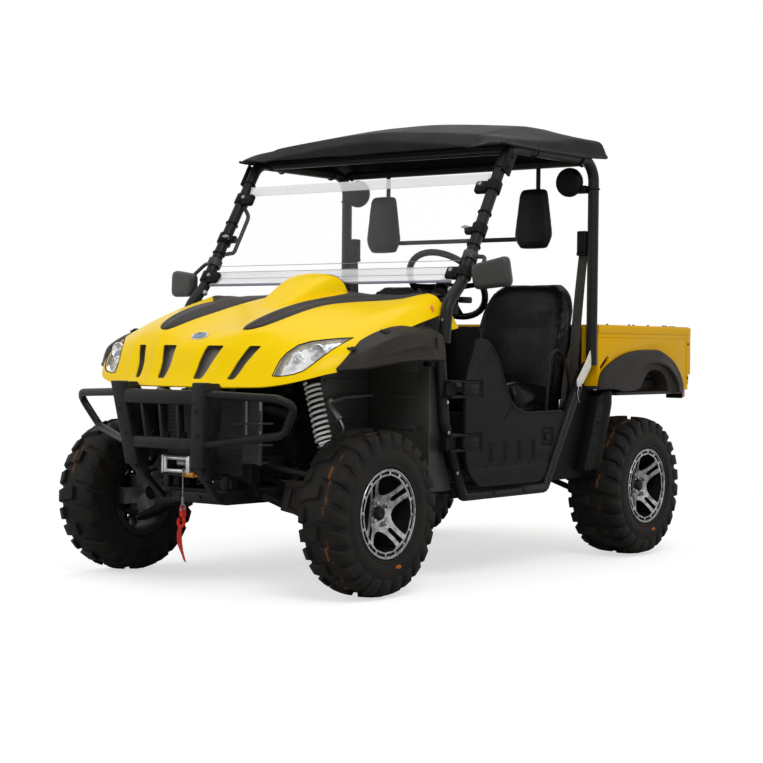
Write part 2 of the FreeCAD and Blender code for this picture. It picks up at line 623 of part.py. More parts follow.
# Profiles of the hood's left half, one per x: (y, z) of the lip's back, the lip, the fascia's foot and
# top, the nose's shoulder, the middle and the rear edge.
HOOD_PROFILES = (
    (0.0, (-1335, 772), (-1362, 778), (-1332, 812), (-1262, 932), (-1205, 968), (-900, 1068), (-520, 1160)),
    (110.0, (-1332, 772), (-1360, 778), (-1325, 812), (-1250, 934), (-1200, 973), (-900, 1074), (-520, 1158)),
    (214.0, (-1318, 772), (-1345, 778), (-1310, 812), (-1237, 938), (-1190, 990), (-900, 1088), (-520, 1146)),
    (300.0, (-1292, 774), (-1318, 780), (-1290, 812), (-1216, 940), (-1165, 992), (-900, 1090), (-520, 1136)),
    (400.0, (-1262, 778), (-1288, 784), (-1268, 814), (-1190, 938), (-1130, 985), (-880, 1082), (-520, 1134)),
    (500.0, (-1214, 796), (-1240, 802), (-1230, 826), (-1150, 932), (-1085, 972), (-850, 1062), (-520, 1140)),
    (575.0, (-1145, 822), (-1168, 828), (-1162, 848), (-1100, 928), (-1035, 965), (-800, 1060), (-520, 1144)),
    (628.0, (-1062, 848), (-1084, 854), (-1080, 870), (-1042, 924), (-985, 955), (-760, 1042), (-520, 1118)),
    (HOOD_SIDE_X, (-985, 890), (-1004, 896), (-1002, 906), (-975, 932), (-930, 950), (-740, 1012), (-520, 1068)),
)
# Slots of the nose: x at the foot and top, half width at the foot and top.
HOOD_SLOTS = ((94.0, 117.0, 16.0, 23.0), (251.0, 292.0, 9.0, 13.0))
SLOT_Z = (806.0, 932.0)
LAMP_OUTLINE = ((408, 822), (414, 868), (430, 908), (458, 935), (520, 955), (590, 966), (576, 930), (547, 882),
                (515, 842), (462, 826))
LAMP_DEPTH = 34.0
LAMP_SINK = 1.0
# Middle bulge: y, lift over the hood, half width.
SCOOP = ((-905.0, -6.0, 60.0), (-720.0, 34.0, 112.0), (-560.0, 66.0, 148.0), (-492.0, 40.0, 158.0))


def hood_loft(profiles):
    """Solid through profiles mirrored about the middle."""
    left = [[(x, y, z) for y, z in points] for x, *points in profiles]
    right = [[(-x, y, z) for x, y, z in section] for section in left[:0:-1]]
    return loft(right + left)


def hood_solid(shift=(0, 0, 0)):
    """The hood's outer form, filled, moved by shift."""
    closed = [(x, *points, (HOOD_REAR_Y, HOOD_SEAM_Z)) for x, *points in HOOD_PROFILES]
    solid = hood_loft(closed)
    solid.translate(V(*shift))
    return solid


def hood_cavity():
    """What is taken out of the filled form to leave the wall; it runs out below and behind."""
    w = HOOD_WALL
    inside = []
    for x, lip_back, lip, foot, top, shoulder, middle, rear in HOOD_PROFILES:
        inside.append((
            x * (HOOD_SIDE_X - w) / HOOD_SIDE_X, (lip_back[0], lip_back[1] - 60), (lip_back[0], lip[1] + w),
            (foot[0] + w, foot[1]), (top[0] + w, top[1] - 3), (shoulder[0] + 4, shoulder[1] - w),
            (middle[0], middle[1] - w), (rear[0] + 20, rear[1] - w + 3), (HOOD_REAR_Y + 20, HOOD_SEAM_Z - 260),
        ))
    return hood_loft(inside)


def lamp_prism(grow):
    """Lamp outline run back along the hood, grown by grow."""
    wire = polygon([(x, -1340, z) for x, z in LAMP_OUTLINE])
    wire = wire.makeOffset2D(grow) if grow else wire
    return Part.Face(wire).extrude(V(0, 400, 0))


def hood():
    """One-piece nose and hood shell, open below and behind, with slots and lamp openings."""
    shell = hood_solid().cut(hood_cavity())
    z0, z1 = SLOT_Z
    for x0, x1, half0, half1 in HOOD_SLOTS:
        slot = plate([(x0 - half0, z0), (x0 + half0, z0), (x1 + half1, z1), (x1 - half1, z1)], "y", -1400, -1180)
        shell = shell.cut([slot, mirror(slot)])
    opening = lamp_prism(SEAT_GAP)
    shell = shell.cut([opening, mirror(opening)])
    return [max(shell.Solids, key=lambda s: s.Volume)]


def hood_top(y):
    """Height of the hood's middle line at y."""
    rows = HOOD_PROFILES[0][5:]
    for (y0, z0), (y1, z1) in zip(rows, rows[1:]):
        if y0 <= y <= y1:
            return z0 + (z1 - z0) * (y - y0) / (y1 - y0)
    return rows[-1][1]


def cowl():
    """Middle bulge on the hood, rising towards the windshield."""
    sections = []
    for y, lift, half in SCOOP:
        top = hood_top(y)
        sections.append([(-half, y, top - 20), (-half * 0.74, y, top + lift + 6), (half * 0.74, y, top + lift + 6),
                         (half, y, top - 20)])
    bulge = loft(sections).cut(hood_solid((0, 0, SEAT_GAP)))
    return [max(bulge.Solids, key=lambda s: s.Volume)]


def headlights():
    """Almond lamps that follow the hood's corners, set just under its skin."""
    lamp = lamp_prism(0).common(hood_solid((0, LAMP_SINK, 0))).cut(hood_solid((0, LAMP_DEPTH, 0)))
    return both_sides([max(lamp.Solids, key=lambda s: s.Volume)])


FLARE_T = 7.0
# Arch cover: y, then (x, z) of its seam on the hood, its shoulder and its lip.
FLARE_ROWS = (
    (-1130.0, (560, 850), (600, 852), (614, 840)),
    (-1070.0, (590, 914), (664, 906), (684, 848)),
    (-985.0, (620, 968), (702, 954), (718, 862)),
    (-885.0, (640, 1002), (712, 978), (726, 876)),
    (-760.0, (645, 1016), (716, 986), (728, 882)),
    (-612.0, (645, 1012), (716, 984), (728, 882)),
)


def front_flares():
    """Arch covers over the front wheels, from the seam on the hood's side out over the tyre."""
    t = FLARE_T
    sections = []
    for y, (xi, zi), (xs, zs), (xl, zl) in FLARE_ROWS:
        sections.append([(xi, y, zi), (xs, y, zs), (xl, y, zl), (xl - t, y, zl), (xs - t, y, zs - t),
                         (xi, y, zi - t)])
    flare = loft(sections).cut(hood_solid((SEAT_GAP, 0, 0)))
    return both_sides([max(flare.Solids, key=lambda s: s.Volume)])


def front_side_panels():
    """Wall behind each front wheel up to the hood's skin, with the footwell's side turned back to the hoop."""
    under_hood = hood_cavity()
    under_hood.translate(V(0, 0, -SEAT_GAP))
    back = box(345, BODY_HALF, -598, -578, 368, 860)
    back = back.fuse(box(345, 600, -598, -578, 850, 1200).common(under_hood))
    side = plate([(-579, 368), (-440, 368), (-500, 520), (-545, 860), (-579, 860)], "x", BODY_HALF - 18, BODY_HALF)
    return both_sides([fuse([back, side])])


# ---------------------------------------------------------------- cabin
def floor_pan():
    """Floor, firewall and centre tunnel, resting on the rails."""
    half = BODY_HALF - 20
    floor = box(-half, half, -577.7, 150, FLOOR_Z + SEAT_GAP, FLOOR_Z + FLOOR_T)
    wall = box(-half, half, -577.7, -560, FLOOR_Z + SEAT_GAP, 880)
    tunnel = box(-90, 90, -565, SEAT_BASE_Y0 - SEAT_GAP, FLOOR_Z + 1, FLOOR_Z + 75)
    return [fuse([floor, wall, tunnel])]


SEAT_BASE_TOP = 655.0
SEAT_BASE_Y0 = 105.0
SEAT_BASE_Y1 = 590.0
SEAT_BASE_WALL = 14.0
SEAT_X = 345.0
SEAT_W = 470.0


def seat_base():
    """Moulded box that carries the seats and covers the engine, open below and behind."""
    half, wall = BODY_HALF - 20, SEAT_BASE_WALL
    outer = box(-half, half, SEAT_BASE_Y0, SEAT_BASE_Y1, FLOOR_Z + FLOOR_T + SEAT_GAP, SEAT_BASE_TOP)
    inner = box(-half + wall, half - wall, SEAT_BASE_Y0 + wall, SEAT_BASE_Y1 + 10, 300, SEAT_BASE_TOP - wall)
    return [outer.cut(inner)]


def cab_back_panel():
    """Panel between the seats and the bed, standing on the seat base."""
    half = BODY_HALF - 20
    return [box(-half, half, 567, 572, SEAT_BASE_TOP + SEAT_GAP, 1030)]


def seats():
    """Bucket seats: a cushion and a tall back with rounded shoulders for each side."""
    foot = SEAT_BASE_TOP + SEAT_GAP
    profile = [(120, foot), (452, foot), (448, 770), (150, 800), (112, 780)]
    cushion = plate(profile, "x", SEAT_X - SEAT_W / 2, SEAT_X + SEAT_W / 2)
    rows = (
        # z, front y, depth, half width
        (foot, 452.6, 104.0, 200.0), (770.0, 448.6, 108.0, 229.0), (900.0, 470.0, 90.0, 233.0),
        (1035.0, 500.0, 66.0, 229.0), (1130.0, 536.0, 70.0, 212.0), (1190.0, 562.0, 66.0, 172.0),
        (1230.0, 588.0, 56.0, 112.0),
    )
    back = loft([[(SEAT_X - half, y, z), (SEAT_X + half, y, z), (SEAT_X + half, y + deep, z),
                  (SEAT_X - half, y + deep, z)] for z, y, deep, half in rows])
    return both_sides([cushion, back])


def dashboard():
    """Dashboard on the firewall, with an open shelf on the passenger's side."""
    y0 = -560 + SEAT_GAP
    shelf = plate([(y0, 700), (-470, 760), (-428, 900), (-400, 1040), (-392, 1122), (-514, 1128), (-514, 1100),
                   (y0, 1090)], "x", -DASH_HALF, DASH_HALF)
    glove = box(-490, -180, -490, -380, 850, 990)
    return [shelf.cut(glove)]


DASH_HALF = 560.0
COLUMN_FOOT = (370.0, -470.0, 868.0)
WHEEL_HUB = (370.0, -105.0, 1195.0)
WHEEL_R = 175.0
WHEEL_RIM_R = 14.0
COLUMN_SHAFT_R = 14.0


def column_axis():
    return (V(*WHEEL_HUB) - V(*COLUMN_FOOT)).normalize()


def steering_column():
    """Fixed column tube from the dashboard; the wheel's shaft turns in its bore."""
    axis = column_axis()
    start = V(*COLUMN_FOOT) + axis * 40
    end = V(*WHEEL_HUB) - axis * 52
    jacket = Part.makeCylinder(30.0, (end - start).Length, start, axis)
    bore = Part.makeCylinder(COLUMN_SHAFT_R + 0.05, 130.0, end - axis * 120, axis)
    column = jacket.cut(bore).cut(dashboard()[0])
    return [max(column.Solids, key=lambda s: s.Volume)]


def steering_wheel():
    axis = column_axis()
    hub = V(*WHEEL_HUB)
    ring = Part.makeTorus(WHEEL_R, WHEEL_RIM_R, hub, axis)
    boss = Part.makeCylinder(42.0, 34.0, hub - axis * 40, axis)
    shaft = Part.makeCylinder(COLUMN_SHAFT_R, 120.0, hub - axis * 150, axis)
    side = V(1, 0, 0)
    up = axis.cross(side).normalize()
    spokes = []
    for direction in (side, side * -1, up * -1):
        tip = hub + direction * (WHEEL_R - 4)
        root = hub - axis * 18
        spokes.append(Part.makeCylinder(9.0, (tip - root).Length, root, tip - root))
    return [fuse([ring, boss, shaft] + spokes)]


def grab_rails():
    """Hip hoops at the seats' outer sides and the passenger's handle on the front pillar."""
    foot_z = SEAT_BASE_TOP + SEAT_GAP
    hip = tube([(606, 300, foot_z + 2), (606, 330, 900), (606, 392, 930), (606, 450, 895),
                (606, 515, foot_z + 2)], 8.0, 40.0)
    low, high = pillar_point(1335), pillar_point(1540)
    reach, inward = 75.0, 22.0
    handle = tube([(-low[0] + inward, low[1] + CAGE_R - 4, low[2]), (-low[0] + inward, low[1] + reach, low[2] + 8),
                   (-high[0] + inward, high[1] + reach - 30, high[2] - 30),
                   (-high[0] + inward, high[1] + CAGE_R - 4, high[2])], 9.0, 26.0)
    handle = handle.cut(cage_right()[0])
    handle = max(handle.Solids, key=lambda s: s.Volume)
    return both_sides([hip]) + [handle]


# ---------------------------------------------------------------- cage, roof and what hangs on it
PILLAR_LOW = (CAGE_X, -455.0, 1187.0)
PILLAR_TOP = (CAGE_X - 14, -118.0, CAGE_TOP_Z)
PILLAR_FOOT = (CAGE_X, -565.0, 950.0)


def pillar_point(z):
    """Centre of the left front pillar at height z on its straight run."""
    share = (z - PILLAR_LOW[2]) / (PILLAR_TOP[2] - PILLAR_LOW[2])
    return tuple(a + (b - a) * share for a, b in zip(PILLAR_LOW, PILLAR_TOP))


def cage_side():
    """Left side of the cage: one bent tube for post, roof rail and pillar, and the door hoop below it."""
    x = CAGE_X
    upper = tube([(x, CAGE_POST_Y, CAGE_FOOT_Z), (x, CAGE_POST_Y, CAGE_TOP_Z), PILLAR_TOP, PILLAR_LOW,
                  (x, -552, 1095), PILLAR_FOOT], CAGE_R, 95.0)
    foot_y, foot_z = PILLAR_FOOT[1], PILLAR_FOOT[2] - SEAT_GAP
    hoop = tube([(HOOP_X, foot_y, foot_z), (HOOP_X, -526, 640), (HOOP_X, -400, SILL_Z), (HOOP_X, 205, SILL_Z),
                 (HOOP_X, 508, 830), (HOOP_X, CAGE_POST_Y, CAGE_FOOT_Z - SEAT_GAP)], HOOP_R, 24.0)
    hoop = hoop.cut(upper)
    return [upper, max(hoop.Solids, key=lambda s: s.Volume)]


def cage_left():
    return cage_side()


def cage_right():
    return [mirror(s) for s in cage_side()]


CROSSBAR_R = 19.0
REAR_BAR_Y = 520.0


def cage_crossbars():
    """Bars that tie the two sides of the roof together, front and rear."""
    found = []
    for y, x in ((-60.0, CAGE_X - 11), (REAR_BAR_Y, CAGE_X)):
        end = x - CAGE_R + 1
        bar = rod((-end, y, CAGE_TOP_Z - 4), (end, y, CAGE_TOP_Z - 4), CROSSBAR_R)
        bar = bar.cut(cage_left() + cage_right())
        found.append(max(bar.Solids, key=lambda s: s.Volume))
    return found


HEADREST = (417.0, REAR_BAR_Y)
HANGER_R = 10.0


def headrest_frame():
    """Hanging bars behind the heads with the cross bar between the pads."""
    x, y = HEADREST
    top = CAGE_TOP_Z - 4 - CROSSBAR_R - SEAT_GAP
    hangers = [rod((s * x, y, 1410), (s * x, y, top), HANGER_R) for s in (-1, 1)]
    cross = rod((-x, y, 1420), (x, y, 1420), HANGER_R)
    return [fuse(hangers + [cross])]


def headrests():
    """Moulded pads, narrow at the top and chamfered below."""
    x, y = HEADREST
    outline = [(x - 68, 1638), (x + 68, 1638), (x + 98, 1432), (x + 72, 1376), (x - 72, 1376), (x - 98, 1432)]
    back = y - HANGER_R - SEAT_GAP
    pad = plate(outline, "y", back - 60, back)
    return both_sides([rounded(pad, 16.0, is_along(V(0, 1, 0)))])


POD_R = 64.0


def speaker_pods():
    """Round pods beside the rear posts on short arms."""
    x, y, z = 588.0, 505.0, 1660.0
    pod = rod((x, y - 26, z), (x, y + 26, z), POD_R)
    arm = box(x, CAGE_X, y + 8, CAGE_POST_Y + 12, z - 50, z - 14)
    pod = fuse([pod, arm]).cut(cage_left()[0])
    return both_sides([max(pod.Solids, key=lambda s: s.Volume)])


def seat_belts():
    """Shoulder belts: reel on the rear post's inner side, webbing down to the hip anchor."""
    inner = CAGE_X - CAGE_R - SEAT_GAP
    reel = box(inner - 46, inner, CAGE_POST_Y - 22, CAGE_POST_Y + 22, 1352, 1448)
    web = loft([[(572, 532, 662), (612, 532, 662), (612, 535, 662), (572, 535, 662)],
                [(inner - 44, 543, 1354), (inner - 4, 543, 1354), (inner - 4, 546, 1354), (inner - 44, 546, 1354)]])
    anchor = box(576, 608, 526, 541, SEAT_BASE_TOP + SEAT_GAP, 700)
    return both_sides([fuse([reel, web, anchor])])


ROOF_ROWS = (
    # y, half width, lip z, side z, middle z, how far in the side leans
    (ROOF_Y0, ROOF_HALF, ROOF_LIP_Z + 7, ROOF_LIP_Z + 18, ROOF_LIP_Z + 56, 26.0),
    (ROOF_Y0 + 62, ROOF_HALF, ROOF_LIP_Z + 3, ROOF_LIP_Z + 58, ROOF_TOP_Z - 62, 34.0),
    (80.0, ROOF_HALF, ROOF_LIP_Z, ROOF_LIP_Z + 86, ROOF_TOP_Z - 12, 38.0),
    (340.0, ROOF_HALF, ROOF_LIP_Z, ROOF_LIP_Z + 90, ROOF_TOP_Z, 38.0),
    (ROOF_Y1 - 40, ROOF_HALF - 4, ROOF_LIP_Z + 14, ROOF_LIP_Z + 84, ROOF_TOP_Z - 28, 34.0),
    (ROOF_Y1, ROOF_HALF - 10, ROOF_LIP_Z + 28, ROOF_LIP_Z + 42, ROOF_LIP_Z + 66, 24.0),
)
ROOF_SHOULDER = 150.0


def roof_ring(y, half, lip_z, side_z, middle_z, lean):
    """Cross outline of the roof at y, closed level with its lip."""
    left = [(half, lip_z), (half - 3, (lip_z + side_z) / 2), (half - lean, side_z),
            (half - lean - ROOF_SHOULDER, middle_z - 26), (0, middle_z)]
    whole = left + [(-x, z) for x, z in reversed(left[:-1])]
    return [(x, y, z) for x, z in whole]


def roof():
    """Moulded roof: a lip all round, leaning sides and a raised middle, open below, on four pads."""
    outer = loft([roof_ring(*row) for row in ROOF_ROWS])
    w, last = ROOF_WALL, len(ROOF_ROWS) - 1
    inside = []
    for i, (y, half, lip_z, side_z, middle_z, lean) in enumerate(ROOF_ROWS):
        shift = 2 * w if i == 0 else (-2 * w if i == last else 0)
        inside.append(roof_ring(y + shift, half - w, lip_z - 30, side_z - w, middle_z - w - 2, lean))
    cavity = loft(inside)
    pads = [box(s * (CAGE_X - 6) - 20, s * (CAGE_X - 6) + 20, y - 35, y + 35, CAGE_TOP_Z + CAGE_R + SEAT_GAP,
                ROOF_LIP_Z + 84) for s in (-1, 1) for y in (60.0, 420.0)]
    pads = [pad.common(cavity) for pad in pads]
    return [fuse([outer.cut(cavity)] + pads)]


SHIELD_T = 5.0
SHIELD_HALF = 645.0
SHIELD_ROWS = ((1188.0, 14.0), (1252.0, 0.0), (1600.0, 0.0), (1640.0, 10.0))


def shield_sheet(grow, half):
    """The windshield's sheet in the pillars' plane, its two edges folded forward, grown each way by grow."""
    rows = [(pillar_point(z)[1] - SHIELD_T / 2 - push, z) for z, push in SHIELD_ROWS]
    front = [(y - grow, z) for y, z in rows]
    back = [(y + SHIELD_T + grow, z) for y, z in rows]
    return plate(front + back[::-1], "x", -half, half)


def windshield():
    """Clear sheet between the front pillars."""
    return [shield_sheet(0, SHIELD_HALF)]


def windshield_clamps():
    """Clamps on the pillars that grip the sheet's sides, three a side."""
    slot = shield_sheet(SEAT_GAP, SHIELD_HALF + SEAT_GAP)
    found = []
    for z in (1226.0, 1400.0, 1580.0):
        x, y, _ = pillar_point(z)
        jaw = rod((SHIELD_HALF - 24, y, z), (x, y, z), 17.0)
        band = rod(pillar_point(z - 19), pillar_point(z + 19), CAGE_R + 8)
        clamp = fuse([jaw, band]).cut([rod(pillar_point(z - 60), pillar_point(z + 60), CAGE_R + SEAT_GAP), slot])
        found.append(max(clamp.Solids, key=lambda s: s.Volume))
    return both_sides(found)


MIRROR_AT = (824.0, -430.0, 1216.0)


def mirrors():
    """Door mirrors on short arms from the front pillars."""
    x, y, z = MIRROR_AT
    shell = box(-93, 93, -20, 20, -62, 62)
    shell = rounded(shell, 16.0, is_along(V(0, 1, 0)))
    shell.rotate(V(0, 0, 0), V(0, 0, 1), 12)
    shell.translate(V(x, y, z))
    clamp_z = 1292.0
    band = rod(pillar_point(clamp_z - 15), pillar_point(clamp_z + 15), CAGE_R + 8)
    px, py, pz = pillar_point(clamp_z)
    arm = rod((px + 10, py, pz), (x - 60, y + 6, z + 30), 8.0)
    room = rod(pillar_point(clamp_z - 60), pillar_point(clamp_z + 60), CAGE_R + SEAT_GAP)
    return both_sides([fuse([shell, band, arm]).cut(room)])


# ---------------------------------------------------------------- sides behind the doors
def rear_side_panels():
    """Panel behind each door and the guard that turns in ahead of the rear wheel."""
    x0, x1 = BODY_HALF - 14, BODY_HALF
    back = BED_Y0 - 10
    outline = [(225, 368), (560, 368), (628, 640), (640, 756), (back, 760), (back, 838), (522, 838)]
    panel = plate(outline, "x", x0, x1)
    flank = plate([(482, 400), (628, 400), (722, 690), (722, 752), (650, 752), (600, 730)], "x", x1 - 1, x1 + 66)
    skin = plate([(604, 400), (628, 400), (722, 690), (722, 752), (700, 752), (700, 696)], "x", 470, x1)
    room = cage_left()[1]
    whole = fuse([panel, flank, skin]).cut(room)
    return both_sides([max(whole.Solids, key=lambda s: s.Volume)])


# ---------------------------------------------------------------- doors
DOOR_TOP = ((-386, 968), (-300, 968), (-222, 888), (-176, 790), (-110, 702), (-10, 668), (292, 668))
DOOR_LOW = ((108, 380), (-350, 380), (-425, 430), (-456, 520), (-456, 820))


def door_side():
    """Half-height door shell with its hinge leaves at the front edge."""
    outline = list(DOOR_TOP) + list(DOOR_LOW)
    shell = plate(outline, "x", DOOR_X0, DOOR_X1)
    recess = box(DOOR_X1 - 12, DOOR_X1 + 5, 108, 172, 528, 600)
    shell = shell.cut(recess)
    eyes = []
    for z in (560.0, 770.0):
        leaf = box(DOOR_X1 - 10, DOOR_X1, DOOR_HINGE_Y, -440, z - 20, z + 20)
        barrel = rod((DOOR_X1 - 5, DOOR_HINGE_Y, z - 20), (DOOR_X1 - 5, DOOR_HINGE_Y, z + 20), 9.0)
        eyes += [leaf, barrel]
    door = fuse([shell] + eyes)
    return bored(door, (DOOR_X1 - 5, DOOR_HINGE_Y, 500), (DOOR_X1 - 5, DOOR_HINGE_Y, 860), 4.05)


def left_door():
    return [door_side()]


def right_door():
    return [mirror(door_side())]


def door_hinges():
    """Fixed hinge brackets with their pins, on the front tube of each door opening."""
    found = []
    for z in (560.0, 770.0):
        pin = rod((DOOR_X1 - 5, DOOR_HINGE_Y, z - 34), (DOOR_X1 - 5, DOOR_HINGE_Y, z + 34), 4.0)
        ears = [box(HOOP_X, DOOR_X1 + 1, DOOR_HINGE_Y - 92, DOOR_HINGE_Y + 6, e, e + 8) for e in (z - 34, z + 26)]
        back = box(HOOP_X + 12, HOOP_X + 34, DOOR_HINGE_Y - 92, DOOR_HINGE_Y - 28, z - 34, z + 34)
        bracket = fuse([pin, back] + ears).cut(cage_left()[1])
        found.append(max(bracket.Solids, key=lambda s: s.Volume))
    return both_sides(found)


# ---------------------------------------------------------------- load bed
ARCH_C = (REAR_AXLE_Y + 22, 700.0)
ARCH_R = 245.0


def arch_cutter(r, x0, x1):
    """Round-topped wheel arch opening in the bed's side."""
    y, z = ARCH_C
    return rod((x0, y, z), (x1, y, z), r)


def bed_box():
    """Steel load bed: floor, inner walls, outer skins with arches, rails round the top, front wall."""
    y0, y1 = BED_Y0, TAIL_Y - TAILGATE_T - 14
    z0, z1, t = BED_FLOOR_Z, BED_TOP_Z, BED_SHEET
    pieces = [box(-BED_INNER_X - t, BED_INNER_X + t, y0, y1, z0, z0 + t),
              box(-BED_SIDE_X, BED_SIDE_X, y0, y0 + t, z0, z1)]
    for s in (-1, 1):
        inner = sorted((s * BED_INNER_X, s * (BED_INNER_X + t)))
        outer = sorted((s * (BED_SIDE_X - t), s * BED_SIDE_X))
        rail = sorted((s * BED_INNER_X, s * BED_SIDE_X))
        skin = box(outer[0], outer[1], y0, y1, z0, z1)
        skin = skin.cut(arch_cutter(ARCH_R, s * 500, s * 800))
        pieces += [box(inner[0], inner[1], y0, y1, z0, z1), skin,
                   box(rail[0], rail[1], y0, y1, z1 - BED_RAIL, z1),
                   box(rail[0], rail[1], y1 - t, y1, z0, z1)]
        ear = sorted((s * (BED_EAR_X - 8), s * (BED_EAR_X + 8)))
        lug = box(ear[0], ear[1], BED_PIVOT_Y - 22, BED_PIVOT_Y + 22, BED_PIVOT_Z - 22, z0 + 1)
        pieces.append(bored(lug, (ear[0] - 5, BED_PIVOT_Y, BED_PIVOT_Z), (ear[1] + 5, BED_PIVOT_Y, BED_PIVOT_Z),
                            BED_PIVOT_R + 0.05))
    bed = fuse(pieces)
    hinge_y = y1 + GATE_HINGE_BACK
    bed = bed.cut(rod((-700, hinge_y, TAILGATE_Z0), (700, hinge_y, TAILGATE_Z0), TAILGATE_R + 5))
    arms = []
    for s in (-1, 1):
        x0, x1 = sorted((s * GATE_ARM[0], s * GATE_ARM[1]))
        arms.append(box(x0, x1, y1 - 14, hinge_y, TAILGATE_Z0 - 30, TAILGATE_Z0 + 4))
        arms.append(rod((x0, hinge_y, TAILGATE_Z0), (x1, hinge_y, TAILGATE_Z0), TAILGATE_R))
        arms.append(rod((s * GATE_ARM[0], hinge_y, TAILGATE_Z0), (s * GATE_LEAF[0], hinge_y, TAILGATE_Z0),
                        GATE_PIN_R))
    return [fuse([bed] + arms)]


def bed_flares():
    """Black arch covers on the bed's sides with the liner inside the arch."""
    y, z = ARCH_C
    x0, x1 = BED_SIDE_X + 0.3, BED_SIDE_X + 28
    ring = rod((x0, y, z), (x1, y, z), ARCH_R + 2).cut(rod((x0 - 5, y, z), (x1 + 5, y, z), ARCH_R - 62))
    band = rod((BED_INNER_X + BED_SHEET + 0.5, y, z), (x1, y, z), ARCH_R - 0.4).cut(
        rod((500, y, z), (x1 + 5, y, z), ARCH_R - 12))
    flare = ring.fuse(band).common(box(500, 800, y - 300, y + 300, 728, 1000))
    return both_sides([flare.removeSplitter()])


def tailgate():
    """Drop tailgate on three hinge knuckles at the floor's back edge."""
    y1 = TAIL_Y - TAILGATE_T - 14
    hinge_y = y1 + GATE_HINGE_BACK
    panel = box(-BED_SIDE_X + 4, BED_SIDE_X - 4, y1 + 6, y1 + 6 + TAILGATE_T, TAILGATE_Z0 + 16, BED_TOP_Z - 4)
    rib = box(-BED_SIDE_X + 60, BED_SIDE_X - 60, y1 + 6 + TAILGATE_T, y1 + 14 + TAILGATE_T, 860, 980)
    pieces = [panel, rib]
    for s in (-1, 1):
        x0, x1 = sorted((s * GATE_LEAF[0], s * GATE_LEAF[1]))
        leaf = box(x0, x1, hinge_y - 6, hinge_y + 10, TAILGATE_Z0, TAILGATE_Z0 + 17)
        barrel = rod((x0, hinge_y, TAILGATE_Z0), (x1, hinge_y, TAILGATE_Z0), TAILGATE_R)
        pieces += [leaf, barrel]
    gate = fuse(pieces)
    return [bored(gate, (-700, hinge_y, TAILGATE_Z0), (700, hinge_y, TAILGATE_Z0), GATE_PIN_R + 0.05)]


def tail_lights():
    """Lamps on the bed's rear corners."""
    y1 = TAIL_Y - TAILGATE_T - 14
    lamp = box(612, 690, y1 - 40, y1 - 6, BED_FLOOR_Z - 62, BED_FLOOR_Z - SEAT_GAP)
    return both_sides([lamp])


SUBPARTS = (
    chassis_frame, skid_plate, engine_block, gearcases, muffler, hitch,
    suspension_arms, shocks, half_shafts, rear_knuckles,
    front_bumper, bumper_hoops, winch, winch_cable, winch_hook, radiator,
    hood, cowl, headlights, front_flares, front_side_panels,
    floor_pan, seat_base, cab_back_panel, seats, dashboard, steering_column, grab_rails,
    cage_left, cage_right, cage_crossbars, door_hinges,
    headrest_frame, headrests, speaker_pods, seat_belts,
    roof, windshield, windshield_clamps, mirrors, rear_side_panels,
    left_door, right_door, steering_wheel, left_knuckle, right_knuckle, tie_rods,
    bed_box, bed_flares, tail_lights, tailgate,
)


def save(name, solids):
    solids = [s for shape in solids for s in shape.Solids]
    for solid in solids:
        if not solid.isValid() or solid.Volume <= 0:
            print("BAD SOLID", name, solid.isValid(), round(solid.Volume))
    shape = solids[0] if len(solids) == 1 else Part.makeCompound(solids)
    shape.exportStep(os.path.join("parts", name + ".step"))
    return len(solids)


def main():
    os.makedirs("parts", exist_ok=True)
    for make in SUBPARTS:
        save(make.__name__, make())
    for name in WHEELS:
        save(name + "_tyre", tyre(name))
        save(name + "_rim", rim(name))


main()
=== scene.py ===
"""Looks of a side by side utility vehicle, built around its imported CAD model."""
import math

import bpy
from mathutils import Matrix, Vector


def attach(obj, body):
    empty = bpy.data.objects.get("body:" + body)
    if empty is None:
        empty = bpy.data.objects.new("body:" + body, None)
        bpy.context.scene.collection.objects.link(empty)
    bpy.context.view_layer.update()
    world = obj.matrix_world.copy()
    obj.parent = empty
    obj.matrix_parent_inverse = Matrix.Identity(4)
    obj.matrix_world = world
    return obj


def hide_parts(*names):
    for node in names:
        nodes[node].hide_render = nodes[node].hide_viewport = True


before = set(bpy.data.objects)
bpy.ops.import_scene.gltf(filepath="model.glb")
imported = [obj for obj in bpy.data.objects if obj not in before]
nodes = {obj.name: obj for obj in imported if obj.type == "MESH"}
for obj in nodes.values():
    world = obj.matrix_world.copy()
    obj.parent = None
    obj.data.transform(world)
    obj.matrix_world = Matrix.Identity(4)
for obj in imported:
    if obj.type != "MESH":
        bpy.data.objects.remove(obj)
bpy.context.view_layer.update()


# ---------------------------------------------------------------- tools of the bench

SIDES = -1, 1     # the sign of x: right, left


def only(*pieces):
    """Selects these pieces and nothing else; the first is the active one."""
    bpy.ops.object.select_all(action="DESELECT")
    for piece in pieces:
        piece.select_set(True)
    if pieces:
        bpy.context.view_layer.objects.active = pieces[0]


def named(name):
    """Names the primitive just added, with its place moved into its mesh."""
    piece = bpy.context.object
    piece.name = name
    piece.data.name = name
    only(piece)
    bpy.ops.object.transform_apply(location=True, rotation=True, scale=True)
    return piece


def block(name, one, other):
    """A cube between two opposite corners, given in either order."""
    low, high = (Vector(corner) for corner in zip(*(sorted(pair) for pair in zip(one, other))))
    only()
    bpy.ops.mesh.primitive_cube_add(size=1, location=(low + high) / 2, scale=high - low)
    return named(name)


def barrel(name, foot, top, r, r_top=None, verts=24):
    """A cylinder, or a cone with r_top, from foot to top."""
    foot, top = Vector(foot), Vector(top)
    only()
    bpy.ops.mesh.primitive_cone_add(
        vertices=verts, radius1=r, radius2=r if r_top is None else r_top, depth=(top - foot).length,
        end_fill_type="NGON", location=(foot + top) / 2, rotation=(top - foot).to_track_quat("Z", "Y").to_euler())
    return named(name)


